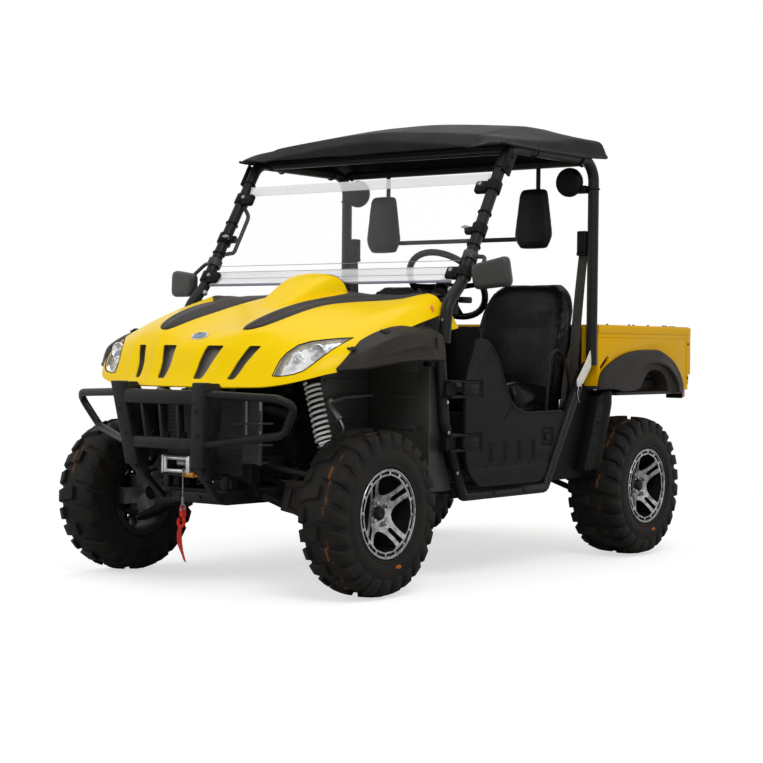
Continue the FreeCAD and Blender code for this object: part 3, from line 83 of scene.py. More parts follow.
def ball(name, centre, radii, segments, rings):
    """A sphere stretched to three radii."""
    only()
    bpy.ops.mesh.primitive_uv_sphere_add(segments=segments, ring_count=rings, radius=1, location=centre, scale=radii)
    return named(name)


def ring(name, centre, axis, major, minor, turns, sides):
    """A torus about an axis."""
    only()
    bpy.ops.mesh.primitive_torus_add(major_radius=major, minor_radius=minor, major_segments=turns,
                                     minor_segments=sides, location=centre,
                                     rotation=Vector(axis).to_track_quat("Z", "Y").to_euler())
    return named(name)


def sheet_of(name, rows):
    """A grid whose rows of points follow a table."""
    only()
    bpy.ops.mesh.primitive_grid_add(x_subdivisions=len(rows[0]) - 1, y_subdivisions=len(rows) - 1, size=1)
    piece = named(name)
    piece.data.vertices.foreach_set("co", [value for row in rows for point in row for value in point])
    piece.data.update()
    return piece


def turned(piece, measure):
    """Turns the faces round if a measure of them adds up to less than 0."""
    if sum(measure(face) for face in piece.data.polygons) < 0:
        piece.data.flip_normals()
    return piece


def weld(piece, distance=1e-5):
    """Merges doubled vertices and turns the faces outwards."""
    edit(piece, lambda: bpy.ops.mesh.remove_doubles(threshold=distance),
         lambda: bpy.ops.mesh.normals_make_consistent(inside=False))
    return piece


def edit(piece, *steps):
    """Runs edit-mode steps on the whole mesh."""
    only(piece)
    bpy.ops.object.mode_set(mode="EDIT")
    bpy.ops.mesh.select_mode(type="VERT")
    bpy.ops.mesh.select_all(action="SELECT")
    for step in steps:
        step()
    bpy.ops.object.mode_set(mode="OBJECT")
    return piece


def on_faces(piece, test, *steps):
    """Runs edit-mode steps on the faces whose centre and normal pass the test."""
    only(piece)
    bpy.ops.object.mode_set(mode="EDIT")
    bpy.ops.mesh.select_mode(type="FACE")
    bpy.ops.mesh.select_all(action="DESELECT")
    bpy.ops.object.mode_set(mode="OBJECT")
    for face in piece.data.polygons:
        face.select = bool(test(face.center, face.normal))
    bpy.ops.object.mode_set(mode="EDIT")
    for step in steps:
        step()
    bpy.ops.object.mode_set(mode="OBJECT")
    return piece



def push(x, y, z):
    """Extrudes what is selected along a vector."""
    return lambda: bpy.ops.mesh.extrude_region_move(TRANSFORM_OT_translate={"value": (x, y, z)})


def work(piece, kind, **settings):
    """Adds a modifier and applies it."""
    modifier = piece.modifiers.new(kind.title(), kind)
    for name, value in settings.items():
        setattr(modifier, name, value)
    only(piece)
    bpy.ops.object.modifier_apply(modifier=modifier.name)
    return piece


def rounded(piece, width, segments, angle=32):
    """Rounds the edges that are sharper than an angle."""
    return work(piece, "BEVEL", width=width, segments=segments, limit_method="ANGLE",
                angle_limit=math.radians(angle), harden_normals=False)


def soft_block(name, one, other, width, segments=2):
    """A block with its edges rounded."""
    return rounded(block(name, one, other), width, segments)


def soft_barrel(name, foot, top, radius, verts, width, segments):
    """A barrel with its edges rounded."""
    return rounded(barrel(name, foot, top, radius, verts=verts), width, segments)


def joined(name, *pieces):
    """One piece from several."""
    only(*pieces)
    if len(pieces) > 1:
        bpy.ops.object.join()
    piece = bpy.context.object
    piece.name = name
    piece.data.name = name
    return piece


def copied(piece, name, move):
    """A copy with its own mesh, moved by a matrix; a mirroring one has its faces turned back."""
    other = piece.copy()
    other.data = piece.data.copy()
    other.name = name
    bpy.context.scene.collection.objects.link(other)
    other.data.transform(move)
    if move.determinant() < 0:
        other.data.flip_normals()
    return other


ACROSS = Matrix.Scale(-1, 4, (1, 0, 0))


def both_halves(piece, name=None):
    """The piece together with its mirror image in one mesh."""
    return joined(name or piece.name, piece, copied(piece, piece.name + "_far", ACROSS))


def pipe(name, points, r, bend, sides):
    """A round tube along straight runs, its corners rounded by a bend radius."""
    path = [Vector(p) for p in points]
    line = []
    for i, point in enumerate(path):
        if 0 < i < len(path) - 1 and bend:
            before, after = path[i - 1] - point, path[i + 1] - point
            half = before.angle(after) / 2
            cut = min(bend / math.tan(half), before.length * 0.48, after.length * 0.48)
            start, end = point + before.normalized() * cut, point + after.normalized() * cut
            line += [start.lerp(point, t).lerp(point.lerp(end, t), t) for t in (i / 8 for i in range(9))]
        else:
            line.append(point)
    return wire(name, line, r, sides)


def wire(name, line, r, sides=12, closed=False):
    """A round tube through every point of a line."""
    only()
    bpy.ops.curve.primitive_bezier_curve_add()
    curve = bpy.context.object
    data = curve.data
    data.splines.clear()
    spline = data.splines.new("POLY")
    spline.points.add(len(line) - 1)
    for point, place in zip(spline.points, line):
        point.co = (*place, 1)
    spline.use_cyclic_u = closed
    data.bevel_depth = r
    data.bevel_resolution = max(1, sides // 4 - 1)
    data.use_fill_caps = True
    only(curve)
    bpy.ops.object.convert(target="MESH")
    piece = named(name)
    piece.matrix_world = Matrix.Identity(4)
    return piece


def refined(name, node, bevel=0.0, segments=2):
    """A merged copy of a CAD node with its edges rounded."""
    piece = nodes[node].copy()
    piece.data = nodes[node].data.copy()
    piece.parent = None
    piece.name = name
    for key in list(piece.keys()):
        del piece[key]
    bpy.context.scene.collection.objects.link(piece)
    weld(piece)
    edit(piece, lambda: bpy.ops.mesh.dissolve_limited(angle_limit=math.radians(1.0)))
    if bevel:
        rounded(piece, bevel, segments)
    return piece


def finish(piece, look, body, smooth=34, replaces=()):
    """Smooths, paints and mounts a piece."""
    if piece.type == "MESH":
        only(piece)
        bpy.ops.object.shade_smooth_by_angle(angle=math.radians(smooth))
    if look:
        piece.data.materials.clear()
        piece.data.materials.append(look.material)
    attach(piece, body)
    if replaces:
        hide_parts(*replaces)
    return piece


# ---------------------------------------------------------------- finishes
class Wire:
    """A socket in a finish; arithmetic on it adds Math nodes."""

    def __init__(self, look, socket):
        self.look = look
        self.socket = socket

    def math(self, operation, *values):
        return self.look.add("Math", {"operation": operation}, *values)

    def __add__(self, other):
        return self.math("ADD", self, other)

    __radd__ = __add__

    def __sub__(self, other):
        return self.math("SUBTRACT", self, other)

    def __rsub__(self, other):
        return self.math("SUBTRACT", other, self)

    def __mul__(self, other):
        return self.math("MULTIPLY", self, other)

    __rmul__ = __mul__

    def most(self, other):
        return self.math("MAXIMUM", self, other)

    def sine(self):
        return self.math("SINE", self)

class Look:
    """A finish: a Principled shader, and nodes added to vary it."""

    def __init__(self, name, slot, colour, roughness, metallic=0.0, **sockets):
        self.slot = slot
        self.colour = (*colour, 1.0)
        self.material = bpy.data.materials.new(name)
        self.material.use_nodes = True
        self.tree = self.material.node_tree
        self.shader = self.tree.nodes["Principled BSDF"]
        self.feed("Base Color", self.colour)
        self.feed("Roughness", roughness)
        self.feed("Metallic", metallic)
        for socket, value in sockets.items():
            self.feed(socket.replace("_", " "), value)
        self._place = None

    def feed(self, socket, value, node=None):
        """Sets a socket to a value, or links it."""
        target = (node or self.shader).inputs[socket]
        if isinstance(value, Wire):
            self.tree.links.new(value.socket, target)
        elif isinstance(value, tuple) and len(value) == 3 and target.type == "RGBA":
            target.default_value = (*value, 1.0)
        else:
            target.default_value = value

    def add(self, kind, settings=None, *values, out=0, **named_values):
        """Adds a node: settings first, then its sockets by order or by name."""
        node = self.tree.nodes.new("ShaderNode" + kind)
        for key, value in (settings or {}).items():
            if key == "stops":
                ramp = node.color_ramp
                while len(ramp.elements) < len(value):
                    ramp.elements.new(0.5)
                for element, (position, shade) in zip(ramp.elements, value):
                    element.position = position
                    element.color = (*shade, 1.0) if isinstance(shade, tuple) else (shade, shade, shade, 1.0)
            else:
                setattr(node, key, value)
        for index, value in enumerate(values):
            self.feed(index, value, node)
        for key, value in named_values.items():
            self.feed(key.replace("_", " "), value, node)
        return Wire(self, node.outputs[out])

    def place(self):
        """Object coordinates, in metres."""
        if self._place is None:
            self._place = self.add("TexCoord", out=3)
        return self._place

    def along(self, axis):
        """One of the three object coordinates."""
        return self.add("SeparateXYZ", None, self.place(), out="XYZ".index(axis))

    def noise(self, scale, detail, stretch=None):
        at = self.place()
        if stretch:
            at = self.add("VectorMath", {"operation": "MULTIPLY"}, at, stretch)
        return self.add("TexNoise", None, Vector=at, Scale=scale, Detail=detail)

    def ramp(self, value, *stops):
        return self.add("ValToRGB", {"stops": stops}, value)

    def blend(self, factor, one, two):
        """Mix of two colours."""
        node = self.tree.nodes.new("ShaderNodeMix")
        node.data_type = "RGBA"
        for index, value in ((0, factor), (6, one), (7, two)):
            if isinstance(value, tuple) and len(value) == 3:
                value = (*value, 1.0)
            self.feed(index, value, node)
        return Wire(self, node.outputs[2])

    def bump(self, height, distance, strength):
        """Feeds Normal from a height."""
        self.feed("Normal", self.add("Bump", None, Height=height, Distance=distance, Strength=strength))


def shaded(colour, factor):
    return tuple(min(1.0, channel * factor) for channel in colour)


def satin_steel():
    """Black powder coat: orange peel, and a little dust low down."""
    colour = (0.0090, 0.0090, 0.0086)
    look = Look("Powder coated steel", "frame_steel", colour, 0.42, Specular_IOR_Level=0.16)
    dust = look.ramp(look.noise(14, 4), (0.46, 0.0), (0.72, 1.0))
    low = look.ramp(look.along("Z"), (0.25, 1.0), (0.75, 0.25))
    look.feed("Base Color", look.blend(dust * low * 0.45, colour, (0.040, 0.037, 0.032)))
    look.feed("Roughness", 0.34 + look.noise(60, 2) * 0.12 + dust * low * 0.2)
    look.bump(look.noise(420, 2), 0.0006, 0.35)
    return look


def moulded_plastic(name, slot, colour, roughness=0.55, grain=900.0, dust=0.35, shine=0.09):
    """Matt moulded plastic with a fine pebbled grain and scuffs."""
    look = Look(name, slot, colour, roughness, Specular_IOR_Level=shine)
    cloud = look.ramp(look.noise(7, 5), (0.4, 0.0), (0.75, 1.0))
    low = look.ramp(look.along("Z"), (0.3, 1.0), (0.9, 0.3))
    scuff = look.ramp(look.noise(30, 6, (1.0, 0.25, 1.0)), (0.56, 0.0), (0.66, 1.0))
    tint = look.blend(cloud * low * dust, colour, tuple(channel * 1.4 + 0.006 for channel in colour))
    look.feed("Base Color", tint)
    look.feed("Roughness", roughness - 0.05 + cloud * 0.1 + scuff * 0.07)
    look.bump(look.add("TexVoronoi", {"feature": "SMOOTH_F1"}, Vector=look.place(), Scale=grain), 0.0004, 0.5)
    return look


def gloss_paint(name, slot, colour, shine=0.08):
    """Body colour under clear coat, with faint orange peel, darker patches at random and duller spots in the coat."""
    look = Look(name, slot, colour, 0.30, Coat_Roughness=0.06, Specular_IOR_Level=0.05)
    cloud = look.noise(3.2, 4)
    look.feed("Base Color", look.blend(cloud * 0.35, colour, shaded(colour, 0.86)))
    look.feed("Roughness", 0.26 + look.noise(18, 4) * 0.12)
    look.feed("Coat Weight", shine - look.ramp(look.noise(40, 5), (0.55, 0.0), (0.8, 1.0)) * shine * 0.4)
    look.bump(look.noise(160, 2), 0.0008, 0.12)
    return look


def bare_metal(name, slot, colour, roughness, brushed=None, stain=0.3):
    """Machined or plated metal with fine turning marks and smudges."""
    look = Look(name, slot, colour, roughness, 1.0)
    smudge = look.ramp(look.noise(45, 5), (0.4, 0.0), (0.7, 1.0))
    look.feed("Roughness", roughness + smudge * 0.14)
    look.feed("Base Color", look.blend(smudge * stain, colour, shaded(colour, 0.30)))
    look.bump(look.noise(500, 2, brushed), 0.0003, 0.35)
    return look


def clear_sheet():
    """Polycarbonate sheet: clear, with fine scratches."""
    look = Look("Clear polycarbonate", "clear_sheet", (0.93, 0.95, 0.96), 0.05, Specular_IOR_Level=0.5)
    scratch = look.ramp(look.noise(90, 3, (0.2, 1.0, 1.0)), (0.6, 0.0), (0.75, 1.0))
    look.feed("Roughness", 0.04 + scratch * 0.05)
    look.feed("Alpha", 0.025 + scratch * 0.02)
    return look


def tyre_rubber():
    """Dusty rubber with the broken paint line that runs round the tread."""
    look = Look("Tyre rubber", "tyre", (0.0095, 0.0090, 0.0082), 0.68, Specular_IOR_Level=0.12)
    cloud = look.ramp(look.noise(9, 5), (0.40, 0.0), (0.72, 1.0))
    dusty = look.blend(cloud * 0.8, (0.0080, 0.0076, 0.0070), (0.0240, 0.0210, 0.0175))
    place = look.along("X") * 0.5 + 0.5
    line = look.ramp(place, (0.1660, 0.0), (0.1672, 1.0), (0.1696, 1.0), (0.1706, 0.0), (0.8294, 0.0), (0.8304, 1.0),
                     (0.8328, 1.0), (0.8340, 0.0))
    broken = look.ramp(look.noise(11, 3), (0.50, 0.0), (0.60, 1.0))
    look.feed("Base Color", look.blend(line * broken * 0.8, dusty, (0.20, 0.075, 0.018)))
    look.feed("Roughness", 0.60 + cloud * 0.15)
    look.bump(look.add("TexVoronoi", {"feature": "SMOOTH_F1"}, Vector=look.place(), Scale=500.0), 0.0005, 0.5)
    return look


YELLOW = (0.98, 0.66, 0.0)
steel_black = satin_steel()
plastic_black = moulded_plastic("Black moulded plastic", "dark_plastic", (0.0056, 0.0055, 0.0050))
plastic_flare = moulded_plastic("Brown grey moulded plastic", "flare_plastic", (0.028, 0.0245, 0.0215), 0.5)
paint_yellow = gloss_paint("Yellow paint", "yellow_paint", YELLOW)
paint_bed = gloss_paint("Ochre bed paint", "bed_paint", (0.78, 0.42, 0.0), 0.03)
rubber = tyre_rubber()
alloy = bare_metal("Machined alloy", "alloy", (0.42, 0.42, 0.42), 0.26, None, 0.9)
# Dark grey plastic for the wheel wells, mirror shells and guard frames: partly its own grey, and partly painted
# light, lighter than the black plastic to lift the shade in the wells.
grey_plastic_painted_light = moulded_plastic("Dull inner plastic", "dark_plastic", (0.030, 0.029, 0.027), 0.45, 900.0, 0.5, 0.3)
zinc = bare_metal("Zinc plated steel", "steel", (0.52, 0.52, 0.53), 0.33)
casting = bare_metal("Cast aluminium", "cast", (0.30, 0.30, 0.31), 0.5)
white_spring = gloss_paint("White spring coat", "spring_white", (0.78, 0.78, 0.76))
clear = clear_sheet()
lens = Look("Lamp lens", "lamp_lens", (0.95, 0.96, 0.97), 0.03, Alpha=0.12)
red_glass = Look("Red lens", "red_lens", (0.45, 0.01, 0.008), 0.12, Coat_Weight=0.6)
vinyl = moulded_plastic("Black vinyl", "vinyl", (0.0035, 0.0035, 0.0037), 0.30, 700.0, 0.2, 0.10)
webbing = moulded_plastic("Belt webbing", "webbing", (0.095, 0.085, 0.072), 0.7, 900.0, 0.2)
red_coat = gloss_paint("Red hook paint", "red_hook", (0.62, 0.03, 0.015))

NODE_LOOKS = {
    "chassis_frame": steel_black, "skid_plate": plastic_black, "engine_block": casting, "gearcases": casting,
    "muffler": zinc, "hitch": steel_black, "suspension_arms": steel_black, "shocks": white_spring,
    "half_shafts": plastic_black, "rear_knuckles": casting, "left_knuckle": casting, "right_knuckle": casting,
    "tie_rods": zinc, "front_bumper": steel_black, "bumper_hoops": steel_black, "winch": steel_black,
    "winch_cable": zinc, "winch_hook": red_coat, "radiator": plastic_black, "hood": paint_yellow,
    "cowl": paint_yellow, "headlights": lens, "front_flares": plastic_flare, "front_side_panels": plastic_black,
    "floor_pan": plastic_black, "seat_base": plastic_black, "cab_back_panel": plastic_black, "seats": vinyl,
    "dashboard": plastic_black,
    "steering_column": plastic_black, "steering_wheel": vinyl, "grab_rails": steel_black,
    "cage_left": steel_black, "cage_right": steel_black, "cage_crossbars": steel_black,
    "door_hinges": steel_black, "headrest_frame": steel_black, "headrests": vinyl, "speaker_pods": plastic_black,
    "seat_belts": webbing, "roof": plastic_black, "windshield": clear, "windshield_clamps": plastic_black,
    "mirrors": plastic_black, "rear_side_panels": plastic_black, "left_door": plastic_black,
    "right_door": plastic_black, "bed_box": paint_bed, "bed_flares": plastic_flare, "tailgate": paint_bed,
    "tail_lights": red_glass,
}
for corner in ("front_left", "front_right", "rear_left", "rear_right"):
    NODE_LOOKS[corner + "_tyre"] = rubber
    NODE_LOOKS[corner + "_rim"] = alloy
for node, look in NODE_LOOKS.items():
    nodes[node].data.materials.clear()
    nodes[node].data.materials.append(look.material)


# ---------------------------------------------------------------- camera, floor and light
CAMERA_PLACE, CAMERA_LENS = (4.738, -6.272, 0.934), 85.085     # metres; millimetres on a sensor 36 wide
CAMERA_TURN, CAMERA_DIP, CAMERA_ROLL = 37.36, 1.11, 0.58       # degrees: about z, below level, about its own axis
LIGHT_AIM = Vector((0, 0, 0.7))
# Name, place, width in metres, watts.
LIGHTS = (("key", (4.5, -3.5, 5.5), 3.0, 185), ("top", (-0.5, 0.5, 6.0), 4.0, 85),
          ("fill", (-4.5, -5.0, 3.0), 3.0, 70))


def node(tree, kind, operation=None, **values):
    """A new shader node with its operation and the values of its inputs."""
    made = tree.nodes.new("ShaderNode" + kind)
    if operation:
        made.operation = operation
    for key, value in values.items():
        made.inputs[key.replace("_", " ")].default_value = value
    return made


def link(tree, *pairs):
    """Links each output to the input beside it."""
    for start, end in pairs:
        tree.links.new(start, end)


def studio():
    scene = bpy.context.scene
    scene.view_settings.view_transform = "Standard"
    data = bpy.data.cameras.new("camera")
    data.sensor_width = 36.0
    data.lens = CAMERA_LENS
    camera = bpy.data.objects.new("camera", data)
    scene.collection.objects.link(camera)
    turn = (Matrix.Rotation(math.radians(CAMERA_TURN), 4, "Z") @ Matrix.Rotation(math.radians(90 - CAMERA_DIP), 4,
            "X") @ Matrix.Rotation(math.radians(CAMERA_ROLL), 4, "Z"))
    camera.matrix_world = Matrix.Translation(CAMERA_PLACE) @ turn
    scene.camera = camera

    world = bpy.data.worlds.new("studio")
    scene.world = world
    world.use_nodes = True
    tree = world.node_tree
    tree.nodes.clear()
    # White where the camera looks, in reflections and through glass; dimmer as a light.
    path = node(tree, "LightPath")
    seen, clear_view = (node(tree, "Math", "MAXIMUM") for _ in range(2))
    plain, white = (node(tree, "Background", Color=(1, 1, 1, 1), Strength=strength) for strength in (0.40, 1.0))
    mix, output = node(tree, "MixShader"), node(tree, "OutputWorld")
    link(tree, (path.outputs["Is Glossy Ray"], clear_view.inputs[0]),
         (path.outputs["Is Transmission Ray"], clear_view.inputs[1]), (path.outputs["Is Camera Ray"], seen.inputs[0]),
         (clear_view.outputs[0], seen.inputs[1]), (seen.outputs[0], mix.inputs[0]), (plain.outputs[0], mix.inputs[1]),
         (white.outputs[0], mix.inputs[2]), (mix.outputs[0], output.inputs[0]))

    for name, place, width, watts in LIGHTS:
        light = bpy.data.lights.new(name, "AREA")
        light.size = width
        light.energy = watts
        lamp = bpy.data.objects.new(name, light)
        scene.collection.objects.link(lamp)
        lamp.location = place
        lamp.rotation_euler = (LIGHT_AIM - Vector(place)).to_track_quat("-Z", "Y").to_euler()

    only()
    bpy.ops.mesh.primitive_plane_add(size=60, location=(0, 0, -0.001))
    floor = bpy.context.object
    floor.name = "floor"
    look = bpy.data.materials.new("floor")
    look.use_nodes = True
    tree = look.node_tree
    shader = tree.nodes["Principled BSDF"]
    shader.inputs["Base Color"].default_value = (0.62, 0.62, 0.62, 1)
    shader.inputs["Roughness"].default_value = 0.9
    shader.inputs["Emission Color"].default_value = (1, 1, 1, 1)
    path, lift = node(tree, "LightPath"), node(tree, "Math", "MULTIPLY")
    lift.inputs[1].default_value = 0.62
    where, reach = node(tree, "TexCoord"), node(tree, "VectorMath", "LENGTH")
    # The floor turns to plain white between these distances from the middle.
    fade = node(tree, "MapRange", From_Min=2.2, From_Max=5.0)
    pale, edge = node(tree, "Emission"), node(tree, "MixShader")
    link(tree, (path.outputs["Is Camera Ray"], lift.inputs[0]), (lift.outputs[0], shader.inputs["Emission Strength"]),
         (where.outputs["Object"], reach.inputs[0]), (reach.outputs["Value"], fade.inputs["Value"]),
         (fade.outputs[0], edge.inputs[0]), (shader.outputs[0], edge.inputs[1]), (pale.outputs[0], edge.inputs[2]),
         (edge.outputs[0], tree.nodes["Material Output"].inputs[0]))
    floor.data.materials.append(look)


studio()


# ---------------------------------------------------------------- winch cable, hook and pull strap
CABLE = ((0.044, -1.286, 0.475), (0.044, -1.3465, 0.4755), (0.044, -1.3465, 0.440), (0.044, -1.3453, 0.330))


def winch_line():
    """Free end of the wire rope over the fairlead's lower roller, with its red hook and strap."""
    rope_look = Look("Galvanised wire rope", "steel", (0.42, 0.42, 0.42), 0.38, 0.8)
    strands = ((rope_look.along("Z") * 1.6 + rope_look.along("X")) * 900).sine()
    # The grooves between the strands are painted darker than the strands' crowns: painted shade.
    rope_look.feed("Base Color", rope_look.blend(rope_look.ramp(strands, (0.2, 0.0), (0.7, 1.0)), (0.16, 0.16, 0.16),
                                                 (0.56, 0.56, 0.55)))
    rope_look.bump(strands, 0.0012, 0.9)
    only()
    bpy.ops.curve.primitive_nurbs_path_add()
    rope = bpy.context.object
    rope.name = "winch_rope"
    data = rope.data
    data.splines.clear()
    spline = data.splines.new("NURBS")
    spline.points.add(len(CABLE) - 1)
    for point, place in zip(spline.points, CABLE):
        point.co = (*place, 1)
    spline.order_u = 3
    spline.use_endpoint_u = True
    spline.resolution_u = 24
    data.bevel_depth = 0.003
    data.bevel_resolution = 4
    data.use_fill_caps = True
    finish(rope, rope_look, "chassis", replaces=["winch_cable"])

    x, y, z = CABLE[-1]
    sleeve = rounded(barrel("rope_sleeve", (x, y, z + 0.030), (x, y, z + 0.004), 0.0052, 0.0062, 20), 0.001, 2)
    thimble = ring("rope_thimble", (x, y, z - 0.006), (0, 1, 0), 0.010, 0.003, 28, 10)
    pin = barrel("hook_pin", (x, y - 0.0135, z - 0.016), (x, y + 0.0135, z - 0.016), 0.0045, verts=18)
    finish(joined("rope_end", sleeve, thimble, pin), rope_look, "chassis", 40)

    cheeks = []
    for side in SIDES:
        cheeks.append(soft_block("hook_cheek", (x - 0.007, y + side * 0.0095 - 0.0022, z - 0.030),
                                 (x + 0.007, y + side * 0.0095 + 0.0022, z - 0.004), 0.0018))
    neck = soft_block("hook_neck", (x - 0.0075, y - 0.0115, z - 0.044), (x + 0.0075, y + 0.0115, z - 0.028), 0.003)
    line = [(x, y, z - 0.040), (x + 0.004, y, z - 0.050), (x + 0.008, y, z - 0.060), (x + 0.005, y, z - 0.072),
            (x - 0.006, y, z - 0.081), (x - 0.019, y, z - 0.078), (x - 0.024, y, z - 0.066),
            (x - 0.020, y, z - 0.054)]
    bowl = pipe("hook_bowl", line, 0.0062, 0.012, 16)
    tip = ball("hook_tip", line[-1], (0.0063, 0.0063, 0.0063), 16, 10)
    latch = soft_block("hook_latch", (x - 0.021, y - 0.004, z - 0.0585),
                       (x - 0.001, y + 0.004, z - 0.0565), 0.0008, 1)
    hook = finish(joined("tow_hook", *cheeks, neck, bowl, tip, latch), red_coat, "chassis", 50, ["winch_hook"])

    strap_look = Look("Red webbing", "red_hook", (0.50, 0.035, 0.02), 0.75, Specular_IOR_Level=0.2)
    weave = (strap_look.along("Z") * 1500).sine() * (strap_look.along("X") * 1700).sine()
    wear = strap_look.ramp(strap_look.noise(70, 4), (0.45, 0.0), (0.7, 1.0))
    strap_look.feed("Base Color", strap_look.blend(wear * 0.6, (0.52, 0.035, 0.02), (0.30, 0.03, 0.02)))
    strap_look.bump(weave, 0.0006, 0.8)
    rows = []
    for dx, drop, turn, half in ((-0.010, -0.079, 0.1, 0.009), (-0.013, -0.092, 0.15, 0.0095),
                                 (-0.014, -0.110, 0.3, 0.0105), (-0.013, -0.130, 0.45, 0.0105),
                                 (-0.010, -0.150, 0.35, 0.0105), (-0.003, -0.168, 0.1, 0.0105),
                                 (0.006, -0.186, -0.15, 0.0105), (0.014, -0.204, -0.25, 0.0105),
                                 (0.017, -0.211, -0.25, 0.0105)):
        lean = math.radians(-22) if drop < -0.155 else 0.0
        rows.append([(x + dx + s * half * math.cos(turn) * math.cos(lean), y - 0.004 + s * half * math.sin(turn),
                      z + drop + s * half * math.sin(lean)) for s in (-1, -0.5, 0, 0.5, 1)])
    strap = sheet_of("pull_strap", rows)
    weld(strap)
    work(strap, "SOLIDIFY", thickness=0.0026, offset=0.0)
    work(strap, "SUBSURF", levels=2, render_levels=2)
    finish(strap, strap_look, "chassis", 60)


winch_line()


# ---------------------------------------------------------------- wheels
FRONT_AXLE_Y, REAR_AXLE_Y = -0.965, 0.955
# End, half the tyre's width, x and y of the left wheel's centre.
WHEELS = (("front", 0.1, 0.632, FRONT_AXLE_Y), ("rear", 0.125, 0.622, REAR_AXLE_Y))
TYRE_R = 0.315
LUGS = 25
# Tyre of a half width of 0.1: the casing's (x, r) from bead to crown, then the lug's foot and its top.
CASING = ((0.088, 0.158), (0.0885, 0.170), (0.0955, 0.1745), (0.0975, 0.184), (0.0965, 0.187), (0.0985, 0.190),
          (0.0992, 0.212), (0.0985, 0.236), (0.0970, 0.240), (0.0975, 0.252), (0.0925, 0.272), (0.0815, 0.288),
          (0.060, 0.2955), (0.030, 0.2990), (0.0, 0.3000))
LUG_FOOT = ((0.0965, 0.243), (0.0945, 0.262), (0.082, 0.284), (0.060, 0.293), (0.030, 0.2965), (0.0, 0.2975))
LUG_TOP = ((0.0992, 0.245), (0.0998, 0.271), (0.0945, 0.2985), (0.064, 0.3095), (0.032, 0.3138), (0.0, 0.3150))


def lathe(name, profile, steps):
    """A closed profile of (x, r) spun about the x axis."""
    only()
    bpy.ops.mesh.primitive_circle_add(vertices=len(profile), radius=1, fill_type="NOTHING")
    piece = named(name)
    piece.data.vertices.foreach_set("co", [value for x, r in profile for value in (x, 0, r)])
    edit(piece, lambda: bpy.ops.mesh.spin(steps=steps, angle=2 * math.pi, center=(0, 0, 0), axis=(1, 0, 0)))
    return weld(piece, 2e-5)


def skin(name, sections):
    """A closed skin through sections of as many points each, its ends filled."""
    piece = sheet_of(name, [[*section, section[0]] for section in sections])
    weld(piece, 1e-6)
    edit(piece, lambda: bpy.ops.mesh.fill_holes(sides=0), lambda: bpy.ops.mesh.normals_make_consistent(inside=False))
    return piece


def tread_bar(widen, span):
    """One crescent lug between two shares of the width, wrapped from shoulder to crown, at the tyre's top."""
    stations = [(-x, *rest) for x, *rest in zip([p[0] for p in LUG_FOOT], LUG_FOOT, LUG_TOP)]
    stations += [(p[0], p, q) for p, q in zip(reversed(LUG_FOOT[:-1]), reversed(LUG_TOP[:-1]))]
    low, high = span
    sections = []
    for x, (foot_x, foot_r), (top_x, top_r) in stations:
        share = x / 0.1
        if not low <= share <= high:
            continue
        side = -1 if x < 0 else 1
        middle = 0.085 * share * share + (0.03 * max(0.0, abs(share) - 0.8) * 5)
        section = []
        for px, pr, half in ((foot_x, foot_r, 0.094), (top_x, top_r, 0.078)):
            for way in SIDES:
                turn = -(middle + way * half)
                section.append((side * px * widen, -math.sin(-turn) * pr, math.cos(turn) * pr))
        sections.append([section[0], section[2], section[3], section[1]])
    return skin("bar", sections)


def tyre(name, centre, half):
    """Tyre with crescent lugs that run down its shoulders."""
    widen = half / 0.1
    profile = [(x * widen, r) for x, r in CASING]
    profile += [(-x, r) for x, r in reversed(profile[:-1])]
    casing = lathe(name + "_casing", profile, 100)
    pair = []
    for flip in (1, -1):
        parts = [tread_bar(widen, (-1.0, 0.15)), tread_bar(widen, (0.31, 1.0))]
        bar = rounded(joined("lug", *parts), 0.0028, 1, 40)
        pair.append(copied(bar, "lug_side", Matrix.Scale(flip, 4, (1, 0, 0))))
        bpy.data.objects.remove(bar)
    lugs = [copied(pair[i % 2], "lug_copy", Matrix.Rotation(-2 * math.pi * i / LUGS, 4, "X")) for i in range(LUGS)]
    for bar in pair:
        bpy.data.objects.remove(bar)
    piece = joined(name, casing, *lugs)
    piece.data.transform(Matrix.Translation(centre))
    return piece


def polar(turn, r, x):
    """A point of the rim: angle clockwise from the top as seen from outside, radius, depth."""
    return (x, -math.sin(turn) * r, math.cos(turn) * r)


def cutter(name, outline, x0, x1):
    """A prism through the rim from an outline of (degrees, radius)."""
    return skin(name, [[polar(math.radians(a), r, x) for a, r in outline] for x in (x0, x1)])


def cut(piece, *tools):
    """Takes tools out of a piece."""
    tool = joined("tool", *tools)
    work(piece, "BOOLEAN", object=tool, operation="DIFFERENCE", solver="EXACT")
    bpy.data.objects.remove(tool)
    return piece


